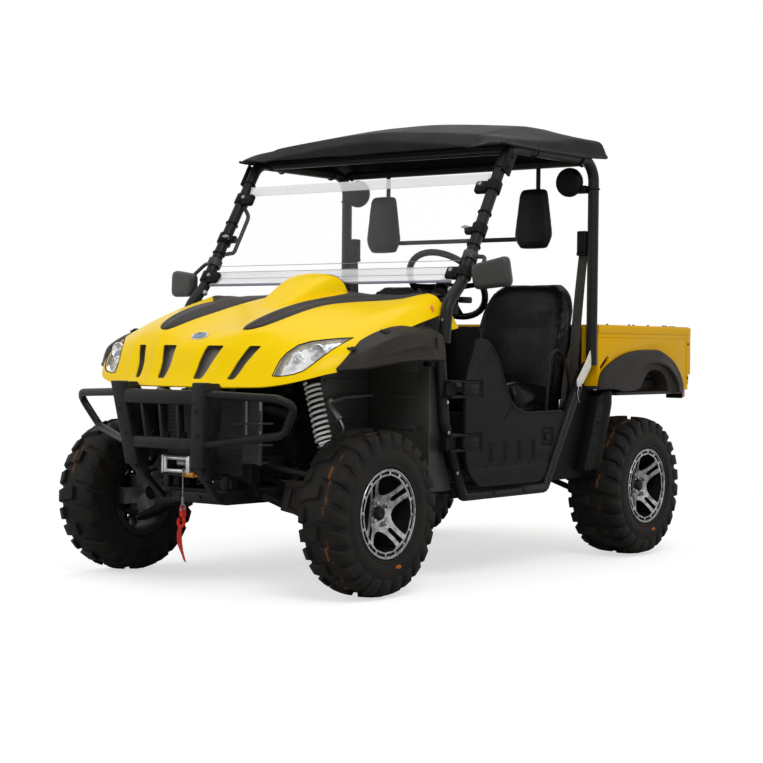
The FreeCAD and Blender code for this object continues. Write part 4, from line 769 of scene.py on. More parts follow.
def rim(name, centre, half, dark):
    """Alloy wheel: dished hub plate, four split spokes, slotted outer ring, lug nuts and cap."""
    bead = half - 0.012
    lip = bead + 0.007
    ring_x, hub_x = lip - 0.004, lip - 0.046
    well = lathe("barrel", [(-lip, 0.142), (lip - 0.020, 0.1425), (lip - 0.010, 0.1600), (lip - 0.001, 0.1625),
                            (lip, 0.1640), (lip, 0.1668), (lip - 0.0015, 0.168), (bead, 0.168), (bead, 0.158),
                            (-bead, 0.158), (-bead, 0.168), (-lip, 0.168)], 96)
    dish = lathe("dish", [(hub_x, 0.0002), (hub_x, 0.056), (hub_x + 0.005, 0.066), (ring_x - 0.004, 0.130),
                          (ring_x, 0.142), (ring_x, 0.1618), (ring_x - 0.014, 0.1618), (ring_x - 0.016, 0.132),
                          (hub_x - 0.012, 0.066), (hub_x - 0.012, 0.0002)], 96)
    tools = []
    for quarter in range(4):
        spoke = 38 + 90 * quarter
        tools.append(cutter("window", [(spoke + 14, 0.138), (spoke + 15, 0.112), (spoke + 20, 0.088),
                                       (spoke + 29, 0.073), (spoke + 45, 0.066), (spoke + 61, 0.073),
                                       (spoke + 70, 0.088), (spoke + 75, 0.112), (spoke + 76, 0.138),
                                       (spoke + 66, 0.1425), (spoke + 45, 0.1438), (spoke + 24, 0.1425)], -0.1, 0.2))
        tools.append(cutter("slot", [(spoke - 4.8, 0.139), (spoke - 5.2, 0.108), (spoke - 7.5, 0.084),
                                     (spoke - 4, 0.074), (spoke + 4, 0.074), (spoke + 7.5, 0.084),
                                     (spoke + 5.2, 0.108), (spoke + 4.8, 0.139)], -0.1, 0.2))
    for step in range(16):
        turn = 22.5 * step + 7
        tools.append(cutter("pocket", [(turn - 9.2, 0.1478), (turn, 0.1484), (turn + 9.2, 0.1478),
                                       (turn + 9.2, 0.1582), (turn, 0.1588), (turn - 9.2, 0.1582)], ring_x - 0.007,
                            ring_x + 0.02))
    cut(dish, *tools)
    rounded(dish, 0.0014, 2, 30)
    hub = lathe("hub", [(-0.04, 0.0205), (-0.04, 0.046), (hub_x - 0.011, 0.046), (hub_x - 0.011, 0.0205)], 48)
    disc = lathe("disc", [(-0.02, 0.0465), (-0.02, 0.088), (-0.025, 0.088), (-0.025, 0.0465)], 64)
    cap = lathe("cap", [(hub_x - 0.002, 0.0002), (hub_x + 0.012, 0.0002), (hub_x + 0.014, 0.014),
                        (hub_x + 0.010, 0.0235), (hub_x + 0.004, 0.027), (hub_x - 0.002, 0.028)], 40)
    nuts = []
    for quarter in range(4):
        _, y, z = polar(math.radians(32 + 90 * quarter), 0.0465, 0)
        nuts.append(barrel("seat", (hub_x - 0.001, y, z), (hub_x + 0.0015, y, z), 0.0125, verts=20))
        nuts.append(soft_barrel("nut", (hub_x, y, z), (hub_x + 0.016, y, z), 0.0092, 6, 0.002, 2))
    piece = joined(name, dish, *nuts, well, hub, disc, cap)
    piece.data.materials.clear()
    piece.data.materials.append(alloy.material)
    piece.data.materials.append(dark.material)
    for face in piece.data.polygons:
        x, y, z = face.center
        r = math.hypot(y, z)
        outward = face.normal.x
        pocket = 0.147 < r < 0.1595 and x < ring_x - 0.002
        shiny = outward > 0.55 and x > hub_x - 0.004 and r > 0.028 and not pocket
        nut = r < 0.064 and x > hub_x + 0.001 and r > 0.03
        face.material_index = 0 if (shiny or nut or (r > 0.160 and x > lip - 0.006)) else 1
    piece.data.transform(Matrix.Translation(centre))
    return piece


def wheels():
    dark = gloss_paint("Black wheel paint", "alloy", (0.012, 0.012, 0.013))
    for end, half, x, y in WHEELS:
        rubber_piece = tyre(end + "_left_tyre_tread", (x, y, TYRE_R), half)
        rim_piece = rim(end + "_left_wheel_face", (x, y, TYRE_R), half, dark)
        for side in ("left", "right"):
            corner = f"{end}_{side}"
            if side == "right":
                rubber_piece = copied(rubber_piece, corner + "_tyre_tread", ACROSS)
                rim_piece = copied(rim_piece, corner + "_wheel_face", ACROSS)
            finish_wheel(rubber_piece, rim_piece, corner)
        dab = ball("dab", (x + half * 0.985 + 0.0008, y + 0.058, TYRE_R - 0.200), (0.0022, 0.017, 0.0075), 20, 8)
        finish(dab, sidewall_dab, f"{end}_left_wheel", 60)


sidewall_dab = moulded_plastic("Orange paint dab", "tyre", (0.42, 0.12, 0.02), 0.6, 300.0, 0.1)


def finish_wheel(rubber_piece, rim_piece, corner):
    finish(rubber_piece, rubber, corner + "_wheel", 40, [corner + "_tyre"])
    finish(rim_piece, None, corner + "_wheel", 30, [corner + "_rim"])


wheels()


# ---------------------------------------------------------------- nose
# Half of the hood's skin, one profile per x: (y, z) of its lip, the front's foot and top, the shoulder,
# the middle and the rear edge.
HOOD = (
    (0.000, (-1.362, 0.778), (-1.332, 0.812), (-1.262, 0.932), (-1.205, 0.968), (-0.900, 1.068), (-0.520, 1.160)),
    (0.110, (-1.360, 0.778), (-1.325, 0.812), (-1.250, 0.934), (-1.200, 0.973), (-0.900, 1.074), (-0.520, 1.158)),
    (0.214, (-1.345, 0.778), (-1.310, 0.812), (-1.237, 0.938), (-1.190, 0.990), (-0.900, 1.088), (-0.520, 1.146)),
    (0.300, (-1.318, 0.780), (-1.290, 0.812), (-1.216, 0.940), (-1.165, 0.992), (-0.900, 1.090), (-0.520, 1.136)),
    (0.400, (-1.288, 0.784), (-1.268, 0.814), (-1.190, 0.938), (-1.130, 0.985), (-0.880, 1.082), (-0.520, 1.134)),
    (0.500, (-1.240, 0.802), (-1.230, 0.826), (-1.150, 0.932), (-1.085, 0.972), (-0.850, 1.062), (-0.520, 1.140)),
    (0.575, (-1.168, 0.828), (-1.162, 0.848), (-1.100, 0.928), (-1.035, 0.965), (-0.800, 1.060), (-0.520, 1.144)),
    (0.628, (-1.084, 0.854), (-1.080, 0.870), (-1.042, 0.924), (-0.985, 0.955), (-0.760, 1.042), (-0.520, 1.118)),
    (0.658, (-1.004, 0.896), (-1.002, 0.906), (-0.975, 0.932), (-0.930, 0.950), (-0.740, 1.012), (-0.520, 1.068)),
)


def smooth_run(places, values, at):
    """Value of a smooth curve through (place, value) knots; values are numbers or vectors."""
    last = len(places) - 1
    i = max(0, min(last - 1, sum(1 for place in places[1:-1] if place <= at)))

    def slope(k):
        if k == 0 or k == last:
            a, b = (0, 1) if k == 0 else (last - 1, last)
            return (values[b] - values[a]) / (places[b] - places[a])
        before = (values[k] - values[k - 1]) / (places[k] - places[k - 1])
        after = (values[k + 1] - values[k]) / (places[k + 1] - places[k])
        share = (places[k + 1] - places[k]) / (places[k + 1] - places[k - 1])
        return before * share + after * (1 - share)

    width = places[i + 1] - places[i]
    t = (at - places[i]) / width
    a, b = values[i], values[i + 1]
    return (a * (2 * t ** 3 - 3 * t ** 2 + 1) + slope(i) * (width * (t ** 3 - 2 * t ** 2 + t))
            + b * (3 * t ** 2 - 2 * t ** 3) + slope(i + 1) * (width * (t ** 3 - t ** 2)))


HOOD_X = [row[0] for row in HOOD]


def hood_profile(x):
    """The six points of the hood's profile at any x, mirrored past the middle."""
    places = [-HOOD_X[1]] + HOOD_X
    return [smooth_run(places, [Vector(HOOD[1][k])] + [Vector(row[k]) for row in HOOD], min(abs(x), HOOD_X[-1]))
            for k in range(1, 7)]


def hood_point(x, share):
    """A point of the hood's skin: share runs from 0 at the lip to 5 at the rear edge."""
    y, z = smooth_run([0, 0.35, 1.5, 2.2, 3.6, 5], hood_profile(x), share)
    return Vector((x, y, z))


def hood_share(x, low, high, before):
    """The share, found by halving, up to which the hood's points at x pass the test."""
    for _ in range(22):
        middle = (low + high) / 2
        if before(hood_point(x, middle)):
            low = middle
        else:
            high = middle
    return low


def on_hood(x, y, lift=0.0):
    """A point of the hood's top at x and y, lifted."""
    return hood_point(x, hood_share(x, 1.0, 5.0, lambda p: p.y < y)) + Vector((0, -0.25 * lift, lift))


# Slots of the front: x at the foot, the middle and the top, half width at the foot and the top.
SLOTS = ((0.094, 0.100, 0.118, 0.022, 0.040), (0.241, 0.258, 0.293, 0.017, 0.025))
SLOT_Z = (0.806, 0.865, 0.932)
# Soft ridges between the slots: x at the foot and at the top, height, width.
RIDGES = ((0.045, 0.048, 0.0030, 0.016), (0.158, 0.196, 0.0055, 0.020), (0.300, 0.356, 0.0050, 0.022),
          (0.360, 0.430, 0.0022, 0.016))
LAMP = ((0.408, 0.822), (0.411, 0.848), (0.416, 0.880), (0.430, 0.908), (0.455, 0.936), (0.485, 0.950),
        (0.520, 0.957), (0.560, 0.963), (0.592, 0.966), (0.586, 0.952), (0.576, 0.930), (0.562, 0.905),
        (0.547, 0.882), (0.532, 0.861), (0.515, 0.842), (0.490, 0.830), (0.462, 0.824), (0.432, 0.821))


def ridge_lift(x, z):
    """Height of the ridges at a place on the front, fading out towards the lip and the hood's top."""
    rise = (z - 0.79) / 0.15
    if not 0 < rise < 1.35:
        return 0.0
    fade = min(1.0, rise * 4) * max(0.0, min(1.0, (1.35 - rise) * 3))
    total = 0.0
    for x0, x1, height, width in RIDGES:
        off = (abs(x) - (x0 + (x1 - x0) * rise)) / width
        total += height * math.exp(-off * off)
    return total * fade


def front_prism(name, outline, y0, y1, s=1):
    """A prism along y from an outline of (x, z)."""
    return skin(name, [[(s * x, y, z) for x, z in outline] for y in (y0, y1)])


def side_prism(name, outline, x0, x1, s=1):
    """A prism along x from an outline of (y, z)."""
    return skin(name, [[(s * x, y, z) for y, z in outline] for x in (x0, x1)])


def grown(outline, by):
    """An outline moved outwards from its middle."""
    middle = Vector((sum(p[0] for p in outline) / len(outline), sum(p[1] for p in outline) / len(outline)))
    return [tuple(Vector(p) + (Vector(p) - middle).normalized() * by) for p in outline]


def slot_outlines():
    for low_x, mid_x, top_x, low_half, top_half in SLOTS:
        mid_half = (low_half * 1.2 + top_half) / 2.2
        yield [(low_x - low_half, SLOT_Z[0]), (low_x + low_half, SLOT_Z[0]), (mid_x + mid_half, SLOT_Z[1]),
               (top_x + top_half, SLOT_Z[2]), (top_x - top_half, SLOT_Z[2]), (mid_x - mid_half, SLOT_Z[1])]


def hood_shell():
    """The painted nose and hood: ridged front with four slots, lamp openings, rolled lip."""
    half = HOOD_X[-1]
    columns = [half * (i / 66 - 1) for i in range(133)]
    rows = []
    for share in [i * 0.07 for i in range(30)] + [2.1 + i * 0.1 for i in range(30)]:
        row = []
        for x in columns:
            point = hood_point(x, share)
            lift = ridge_lift(x, point.z)
            row.append(point + Vector((0, -lift, lift * 0.3)))
        rows.append(row)
    shell = sheet_of("hood_shell", rows)
    edit(shell, lambda: bpy.ops.mesh.normals_make_consistent(inside=False))
    turned(shell, lambda face: face.normal.z - face.normal.y)
    work(shell, "SOLIDIFY", thickness=0.006, offset=-1.0, use_even_offset=True)
    tools = []
    for outline in slot_outlines():
        tool = rounded(front_prism("slot", outline, -1.42, -1.17), 0.007, 3)
        tools += [tool, copied(tool, "slot_far", ACROSS)]
    opening = front_prism("lamp_hole", LAMP, -1.40, -0.80)
    tools += [opening, copied(opening, "lamp_hole_far", ACROSS)]
    cut(shell, *tools)
    return finish(shell, paint_yellow, "chassis", 38, ["hood"])


STRIP = (
    # y, inner x, outer x along the hood's dark strip
    (-1.190, 0.200, 0.218), (-1.170, 0.176, 0.262), (-1.120, 0.164, 0.298), (-1.040, 0.154, 0.326),
    (-0.940, 0.142, 0.344), (-0.840, 0.138, 0.366), (-0.740, 0.146, 0.402), (-0.660, 0.154, 0.446),
    (-0.590, 0.158, 0.512), (-0.540, 0.158, 0.590), (-0.522, 0.158, 0.612),
)


def strips():
    """Dark strips on the hood, pointed in front, with a raised spine, that widen to the windshield."""
    rows = []
    for i, (y, inner, outer) in enumerate(STRIP):
        row = []
        for j in range(13):
            share = j / 12
            x = inner + (outer - inner) * share
            edge = min(1.0, min(share, 1 - share) * 6)
            spine = math.exp(-((share - 0.42) / 0.13) ** 2) * 0.006 * min(1.0, i / 3)
            groove = -math.exp(-((share - 0.64) / 0.05) ** 2) * 0.002
            row.append(on_hood(x, y, -0.002 + 0.008 * math.sqrt(edge) + spine + groove))
        rows.append(row)
    piece = sheet_of("hood_strip", rows)
    turned(piece, lambda face: face.normal.z)
    work(piece, "SOLIDIFY", thickness=0.005, offset=-1.0)
    work(piece, "SUBSURF", levels=2, render_levels=2)
    return finish(both_halves(piece, "hood_strips"), plastic_flare, "chassis", 50)


def scoop():
    """Yellow bulge between the strips, its lid dark at the rear edge under the windshield."""
    rows = []
    for y, top, half in ((-0.860, -0.004, 0.026), (-0.840, 0.002, 0.050), (-0.790, 0.011, 0.080),
                         (-0.715, 0.034, 0.110), (-0.640, 0.062, 0.132), (-0.585, 0.079, 0.144),
                         (-0.535, 0.080, 0.152), (-0.497, 0.066, 0.157)):
        row = []
        base = [on_hood(x, min(y, -0.521)).z for x in (-half, 0, half)]
        for share, rise in ((-1.0, -0.10), (-0.97, 0.15), (-0.82, 0.72), (-0.62, 0.95), (-0.3, 1.0), (0.0, 1.02),
                            (0.3, 1.0), (0.62, 0.95), (0.82, 0.72), (0.97, 0.15), (1.0, -0.10)):
            low = base[1] + (base[2] - base[1]) * abs(share)
            row.append((half * share, y, low + max(top, 0.0) * rise + (top if top < 0 else 0) - (0.004
                    if abs(share) == 1 else 0)))
        rows.append(row)
    piece = sheet_of("scoop", rows)
    turned(piece, lambda face: face.normal.z)
    work(piece, "SOLIDIFY", thickness=0.004, offset=-1.0)
    work(piece, "SUBSURF", levels=2, render_levels=2)
    finish(piece, paint_yellow, "chassis", 60, ["cowl"])
    rim_line = wire("scoop_edge", [(x, -0.494, 1.166 + 0.062 * (1 - abs(x / 0.152) ** 3)) for x in
                                   (i * 0.0152 for i in range(-10, 11))], 0.0045, 8)
    return finish(rim_line, plastic_black, "chassis")


def cowl_panel():
    """Dark panel across the gap between the hood's rear edge and the windshield's foot."""
    rows = []
    for y, drop in ((-0.524, -0.004), (-0.505, -0.001), (-0.480, 0.004), (-0.450, 0.006), (-0.436, -0.012)):
        rows.append([hood_point(x, 5.0) + Vector((0, y + 0.52, drop)) for x in (i * 0.06 for i in range(-10, 11))])
    piece = sheet_of("cowl_panel", rows)
    turned(piece, lambda face: face.normal.z)
    work(piece, "SOLIDIFY", thickness=0.005, offset=-1.0)
    work(piece, "SUBSURF", levels=1, render_levels=1)
    return finish(piece, plastic_flare, "chassis", 50)


def badge():
    """Blank oval badge with a plated rim."""
    middle = on_hood(0.0, -1.212)
    tilt = Matrix.Translation(middle) @ Matrix.Rotation(math.radians(36), 4, "X")
    oval = Matrix.Diagonal((1.0, 0.62, 1.0, 1.0))
    plate = barrel("badge_face", (0, 0, -0.004), (0, 0, 0.0045), 0.036, verts=48)
    rounded(plate, 0.002, 2)
    rim_piece = ring("badge_rim", (0, 0, 0.0035), (0, 0, 1), 0.037, 0.0035, 48, 8)
    for piece in (plate, rim_piece):
        piece.data.transform(tilt @ oval)
    face = Look("Blue grey enamel", "steel", (0.10, 0.16, 0.24), 0.25, 0.3, Coat_Weight=0.5)
    face.feed("Base Color", face.blend(face.noise(60, 3), (0.10, 0.16, 0.24), (0.16, 0.22, 0.30)))
    finish(plate, face, "chassis")
    return finish(rim_piece, zinc, "chassis")


def grille_mesh():
    """Perforated sheet behind the slots, folded along the nose."""
    look = Look("Perforated grille", "dark_plastic", (0.02, 0.02, 0.02), 0.45)
    wave_a = ((look.along("X") + look.along("Z")) * 580).sine()
    wave_b = ((look.along("X") - look.along("Z")) * 580).sine()
    wires = look.ramp(wave_a.most(wave_b), (0.80, 0.0), (0.93, 1.0))
    # The openings between the wires are painted near black: painted shade behind the mesh.
    look.feed("Base Color", look.blend(wires, (0.003, 0.003, 0.003), (0.50, 0.50, 0.51)))
    look.feed("Metallic", wires * 0.9)
    look.bump(wires, 0.002, 0.8)
    rows = [[hood_point(x, share) + Vector((0, 0.026, -0.004)) for x in (i * 0.02 for i in range(-17, 18))]
            for share in (0.2, 0.6, 1.0, 1.4, 1.9)]
    piece = sheet_of("slot_mesh", rows)
    turned(piece, lambda face: -face.normal.y)
    work(piece, "SOLIDIFY", thickness=0.002, offset=-1.0)
    return finish(piece, look, "chassis", 40)


def lamp_skin(name, sink, by):
    """The hood's form inside the lamp's outline, sunk and given a wall."""
    xs = [0.385 + i * 0.006 for i in range(38)]
    rows = [[hood_point(x, 0.02 + k * 0.06) + Vector((0, sink, 0)) for x in xs] for k in range(50)]
    piece = sheet_of(name, rows)
    turned(piece, lambda face: -face.normal.y)
    work(piece, "SOLIDIFY", thickness=0.003, offset=-1.0)
    tool = front_prism("lamp_trim", grown(LAMP, by), -1.40, -0.70)
    work(piece, "BOOLEAN", object=tool, operation="INTERSECT", solver="EXACT")
    bpy.data.objects.remove(tool)
    return piece


def lamps():
    """Almond headlights: clear fluted lens, dark surround, two reflector bowls with their bulbs."""
    lens_piece = lamp_skin("lamp_lens", 0.0015, -0.0008)
    finish(both_halves(lens_piece, "headlight_lenses"), lens, "chassis", 40, ["headlights"])
    mirror_look = Look("Lamp reflector", "lamp_lens", (0.82, 0.83, 0.84), 0.12, 0.9)
    flutes = (mirror_look.along("X") * 420).sine()
    # Large bright and dark blotches in the reflector's colour are painted reflections.
    painted_reflections = mirror_look.ramp(mirror_look.noise(17, 1), (0.40, 1.0), (0.50, 0.75), (0.56, 0.12), (0.64, 0.45))
    mirror_look.feed("Base Color", mirror_look.blend(painted_reflections, (0.20, 0.20, 0.21), (0.90, 0.90, 0.90)))
    mirror_look.bump(flutes, 0.002, 0.10)
    back = lamp_skin("lamp_back", 0.026, 0.0005)
    bowls = [back]
    for x, z, r in ((0.462, 0.880, 0.031), (0.520, 0.905, 0.034)):
        middle = Vector((x, 0, z))
        share_y = min((abs(hood_point(x, k * 0.05).z - z), hood_point(x, k * 0.05).y) for k in range(60))[1]
        middle.y = share_y + 0.028
        bowl = ball("bowl", middle, (r, r * 0.75, r), 28, 14)
        on_faces(bowl, lambda c, n: c.y < middle.y - 0.002, lambda: bpy.ops.mesh.delete(type="FACE"))
        work(bowl, "SOLIDIFY", thickness=0.0015, offset=-1.0)
        bulb = ball("bulb", middle + Vector((0, -0.004, 0)), (0.0075, 0.013, 0.0075), 16, 10)
        bowls += [bowl, ring("bowl_rim", middle, (0, 1, 0), r, 0.0022, 32, 6), bulb]
    finish(both_halves(joined("lamp_bowls", *bowls), "headlight_reflectors"), mirror_look, "chassis", 40)
    seal = wire("lamp_seal", [seal_point(x, z) for x, z in LAMP], 0.0022, 6, closed=True)
    return finish(both_halves(seal, "headlight_seals"), plastic_black, "chassis", 60)


def seal_point(x, z):
    """The place on the hood's skin at x and z."""
    return hood_point(x, hood_share(x, 0.0, 3.2, lambda p: p.z < z)) + Vector((0, -0.0005, 0))


def nose():
    hood_shell()
    strips()
    scoop()
    cowl_panel()
    badge()
    grille_mesh()
    lamps()


nose()


# ---------------------------------------------------------------- arch covers
# Arch cover of the left front wheel: y, then (x, z) of its seam, its shoulder and its lip.
FLARE = (
    (-1.130, (0.560, 0.850), (0.598, 0.853), (0.612, 0.842)),
    (-1.070, (0.590, 0.914), (0.664, 0.906), (0.684, 0.850)),
    (-0.985, (0.620, 0.966), (0.700, 0.950), (0.716, 0.864)),
    (-0.885, (0.640, 1.002), (0.711, 0.978), (0.725, 0.877)),
    (-0.760, (0.645, 1.016), (0.715, 0.986), (0.7275, 0.883)),
    (-0.612, (0.645, 1.012), (0.715, 0.984), (0.7275, 0.883)),
)


def front_flare():
    """Moulded arch cover with a double rib that runs to an end cap, three clips and a rolled lip."""
    places = [row[0] for row in FLARE]
    rows = []
    for i in range(49):
        y = places[0] + (places[-1] - places[0]) * i / 48
        seam, shoulder, lip = (smooth_run(places, [Vector(row[k]) for row in FLARE], y) for k in (1, 2, 3))
        along = i / 48
        row = []
        for j in range(41):
            share = j / 40
            if share < 0.42:
                point = seam.lerp(shoulder, share / 0.42)
            else:
                point = shoulder.lerp(lip, (share - 0.42) / 0.58)
            soft = math.exp(-((share - 0.42) / 0.10) ** 2)
            point = point + (seam.lerp(lip, 0.5) - point) * 0.10 * soft
            out = Vector((lip.y - seam.y, seam.x - lip.x)).normalized() * -1
            fade = max(0.0, min(1.0, (along - 0.22) / 0.2)) * max(0.0, min(1.0, (0.88 - along) / 0.03))
            rib = (math.exp(-((share - (0.80 - 0.14 * along)) / 0.035) ** 2)
                   + math.exp(-((share - (0.93 - 0.10 * along)) / 0.030) ** 2)) * 0.0055 * fade
            groove = math.exp(-((share - (0.865 - 0.12 * along)) / 0.03) ** 2) * 0.004 * fade
            point = point + out * (rib - groove)
            row.append((point.x, y, point.y))
        rows.append(row)
    cover = sheet_of("arch_cover", rows)
    turned(cover, lambda face: face.normal.x)
    work(cover, "SOLIDIFY", thickness=0.006, offset=-1.0)
    bits = [cover]
    bits.append(soft_block("rib_cap", (0.7185, -0.668, 0.926), (0.7275, -0.655, 0.975), 0.003))
    for y, share in ((-1.052, 0.30), (-0.900, 0.28), (-0.690, 0.22)):
        seam, shoulder = (smooth_run(places, [Vector(row[k]) for row in FLARE], y) for k in (1, 2))
        place = seam.lerp(shoulder, share)
        clip = soft_block("clip", (-0.017, -0.021, -0.006), (0.017, 0.021, 0.0035), 0.004)
        tab = soft_block("clip_tab", (-0.006, -0.012, 0.002), (0.006, 0.012, 0.0075), 0.003)
        piece = joined("clip", clip, tab)
        lean = math.atan2(seam.y - shoulder.y, shoulder.x - seam.x)
        piece.data.transform(Matrix.Translation((place.x, y, place.y)) @ Matrix.Rotation(lean, 4, "Y"))
        bits.append(piece)
    finish(both_halves(joined("front_arch_cover", *bits), "front_arch_covers"), plastic_flare, "chassis", 45,
           ["front_flares"])
    lip_line = []
    for i in range(49):
        y = places[0] + (places[-1] - places[0]) * i / 48
        lip = smooth_run(places, [Vector(row[3]) for row in FLARE], y)
        lip_line.append((lip.x - 0.004, y, lip.y + 0.001))
    finish(both_halves(wire("arch_lip", lip_line, 0.005, 8), "arch_lips"), plastic_black, "chassis", 60)


def inner_panels():
    """Wheel-well walls with pressed panels, ribs and bolts."""
    panel = refined("well_wall", "front_side_panels", 0.002, 2)
    bits = [panel]
    for side in SIDES:
        for x, z in ((0.39, 0.80), (0.50, 0.82), (0.59, 0.80), (0.60, 0.62), (0.60, 0.46), (0.44, 0.42), (0.39, 0.60),
                     (0.38, 0.93), (0.52, 0.97)):
            bits.append(bolt((side * x, -0.5985, z), (0, -1, 0), 0.0075))
        for z in (0.50, 0.62, 0.74):
            bits.append(soft_block("well_rib", (side * 0.41, -0.603, z - 0.010),
                                   (side * 0.57, -0.5975, z + 0.010), 0.003))
        bits.append(soft_block("well_frame", (side * 0.40, -0.6015, 0.835), (side * 0.585, -0.5975, 0.90), 0.003))
        bits.append(soft_block("splash_wall", (side * 0.338, -0.900, 0.560), (side * 0.344, -0.598, 0.900), 0.003))
        for z in (0.64, 0.72, 0.80):
            bits.append(soft_block("splash_rib", (side * 0.343, -0.880, z - 0.008),
                                   (side * 0.349, -0.610, z + 0.008), 0.002))
    finish(joined("front_well_walls", *bits), grey_plastic_painted_light, "chassis", 35, ["front_side_panels"])


def bolt(place, axis, r, tall=0.005):
    """A flanged hexagon head."""
    place, axis = Vector(place), Vector(axis)
    washer = barrel("washer", place - axis * 0.001, place + axis * tall * 0.3, r * 1.35, verts=16)
    head = barrel("bolt", place, place + axis * tall, r, r * 0.9, 6)
    return joined("bolt", washer, head)


# ---------------------------------------------------------------- bumper
TOP, KNEE, FOOT = Vector((0.212, -1.428, 0.795)), Vector((0.168, -1.388, 0.478)), Vector((0.138, -1.257, 0.345))


def upright_at(z):
    return KNEE.lerp(TOP, (z - KNEE.z) / (TOP.z - KNEE.z))


def bumper():
    """Welded brush bumper: pressed uprights with holes, plate cross bars, three slats, side hoops."""
    def section(c, w, d):
        return [(c.x - w / 2, c.y - d / 2, c.z), (c.x + w / 2, c.y - d / 2, c.z), (c.x + w / 2, c.y + d / 2, c.z),
                (c.x - w / 2, c.y + d / 2, c.z)]
    upper = skin("upright", [section(upright_at(z), 0.062, 0.044) for z in (0.478, 0.600, 0.700, 0.795)])
    rounded(upper, 0.007, 3)
    inner_hole = []
    for z in (0.660, 0.565):
        c = upright_at(z)
        inner_hole.append(barrel("hole", (c.x - 0.06, c.y + 0.002, z), (c.x - 0.022, c.y + 0.002, z),
                                 0.0125, verts=28))
    cut(upper, *inner_hole)
    foot = skin("brace", [section(FOOT, 0.026, 0.030), section(FOOT.lerp(KNEE, 0.5), 0.030, 0.033),
                          section(KNEE, 0.034, 0.036)])
    rounded(foot, 0.004, 2)
    gusset = skin("gusset", [[(x, KNEE.y - 0.020, 0.500), (x, KNEE.y + 0.020, 0.500), (x, KNEE.y + 0.046, 0.452),
                              (x, KNEE.y + 0.030, 0.436), (x, KNEE.y - 0.004, 0.462)] for x in (0.139, 0.145)])
    rear_web = skin("rear_web", [[(c.x - w, c.y + 0.015, c.z), (c.x + w, c.y + 0.015, c.z),
                                  (c.x + w * 0.92, c.y + deep, c.z), (c.x - w * 0.92, c.y + deep, c.z)] for c, w,
                                 deep in ((upright_at(0.430), 0.022, 0.040), (upright_at(0.500), 0.026, 0.062),
                                          (upright_at(0.640), 0.030, 0.080), (upright_at(0.755), 0.030, 0.092),
                                          (upright_at(0.792), 0.029, 0.070))])
    side = both_halves(joined("side", upper, foot, rounded(rear_web, 0.005, 2), rounded(gusset, 0.0015, 1)))
    bars = []
    for z0, z1, deep in ((0.712, 0.766, 0.040), (0.544, 0.588, 0.036)):
        c = upright_at((z0 + z1) / 2)
        bars.append(soft_block("bar", (-c.x, c.y - deep / 2, z0), (c.x, c.y + deep / 2, z1), 0.006, 3))
    for share in (-0.46, 0.0, 0.46):
        low, high = upright_at(0.586), upright_at(0.714)
        slat = skin("slat", [[(share * c.x - 0.007, c.y - 0.015, c.z), (share * c.x + 0.007, c.y - 0.015, c.z),
                              (share * c.x + 0.007, c.y + 0.015, c.z), (share * c.x - 0.007, c.y + 0.015, c.z)]
                             for c in (low, high)])
        bars.append(rounded(slat, 0.002, 2))
        web = skin("web", [[(share * low.x + s, low.y - 0.012, 0.587), (share * low.x + s, low.y + 0.014, 0.587),
                            (share * low.x + s, low.y + 0.014, 0.612)] for s in (0.006, 0.018)])
        bars.append(web)
    bars.append(soft_block("bumper_foot", (-0.151, -1.262, 0.335), (0.151, -1.2403, 0.375), 0.003))
    # Black discs on the uprights' front faces stand in for holes: painted shade.
    hole_shade_discs = []
    for s in SIDES:
        for z, off in ((0.690, -0.004), (0.600, 0.006)):
            c = upright_at(z)
            hole_shade_discs.append(barrel("dot", (s * (c.x + off * s), c.y - 0.0222, z), (s * (c.x + off * s), c.y - 0.0226, z),
                               0.0105, verts=24))
    finish(joined("bumper_hole_dots", *hole_shade_discs), vinyl, "chassis", 40)
    bolts = [bolt((s * x, -1.2625, 0.355), (0, -1, 0), 0.009) for s in SIDES for x in (0.05, 0.110)]
    finish(joined("brush_bumper", side, *bars, *bolts), steel_black, "chassis", 38, ["front_bumper"])
    top, low = upright_at(0.752), upright_at(0.572)
    points = [(top.x + 0.028, top.y + 0.002, 0.752), (0.505, -1.345, 0.742), (0.552, -1.300, 0.716),
              (0.478, -1.272, 0.606), (low.x + 0.028, low.y, 0.566)]
    hoop = pipe("hoop", points, 0.015, 0.055, 20)
    welds = [ring("weld", points[0], (1, 0.1, 0), 0.0155, 0.0035, 24, 8),
             ring("weld", points[-1], (1, 0.1, 0.1), 0.0155, 0.0035, 24, 8)]
    finish(both_halves(joined("bumper_side_hoop", hoop, *welds), "bumper_side_hoops"), steel_black, "chassis", 50,
           ["bumper_hoops"])


# ---------------------------------------------------------------- winch and radiator
WINCH_Y = -1.262     # axis of the drum


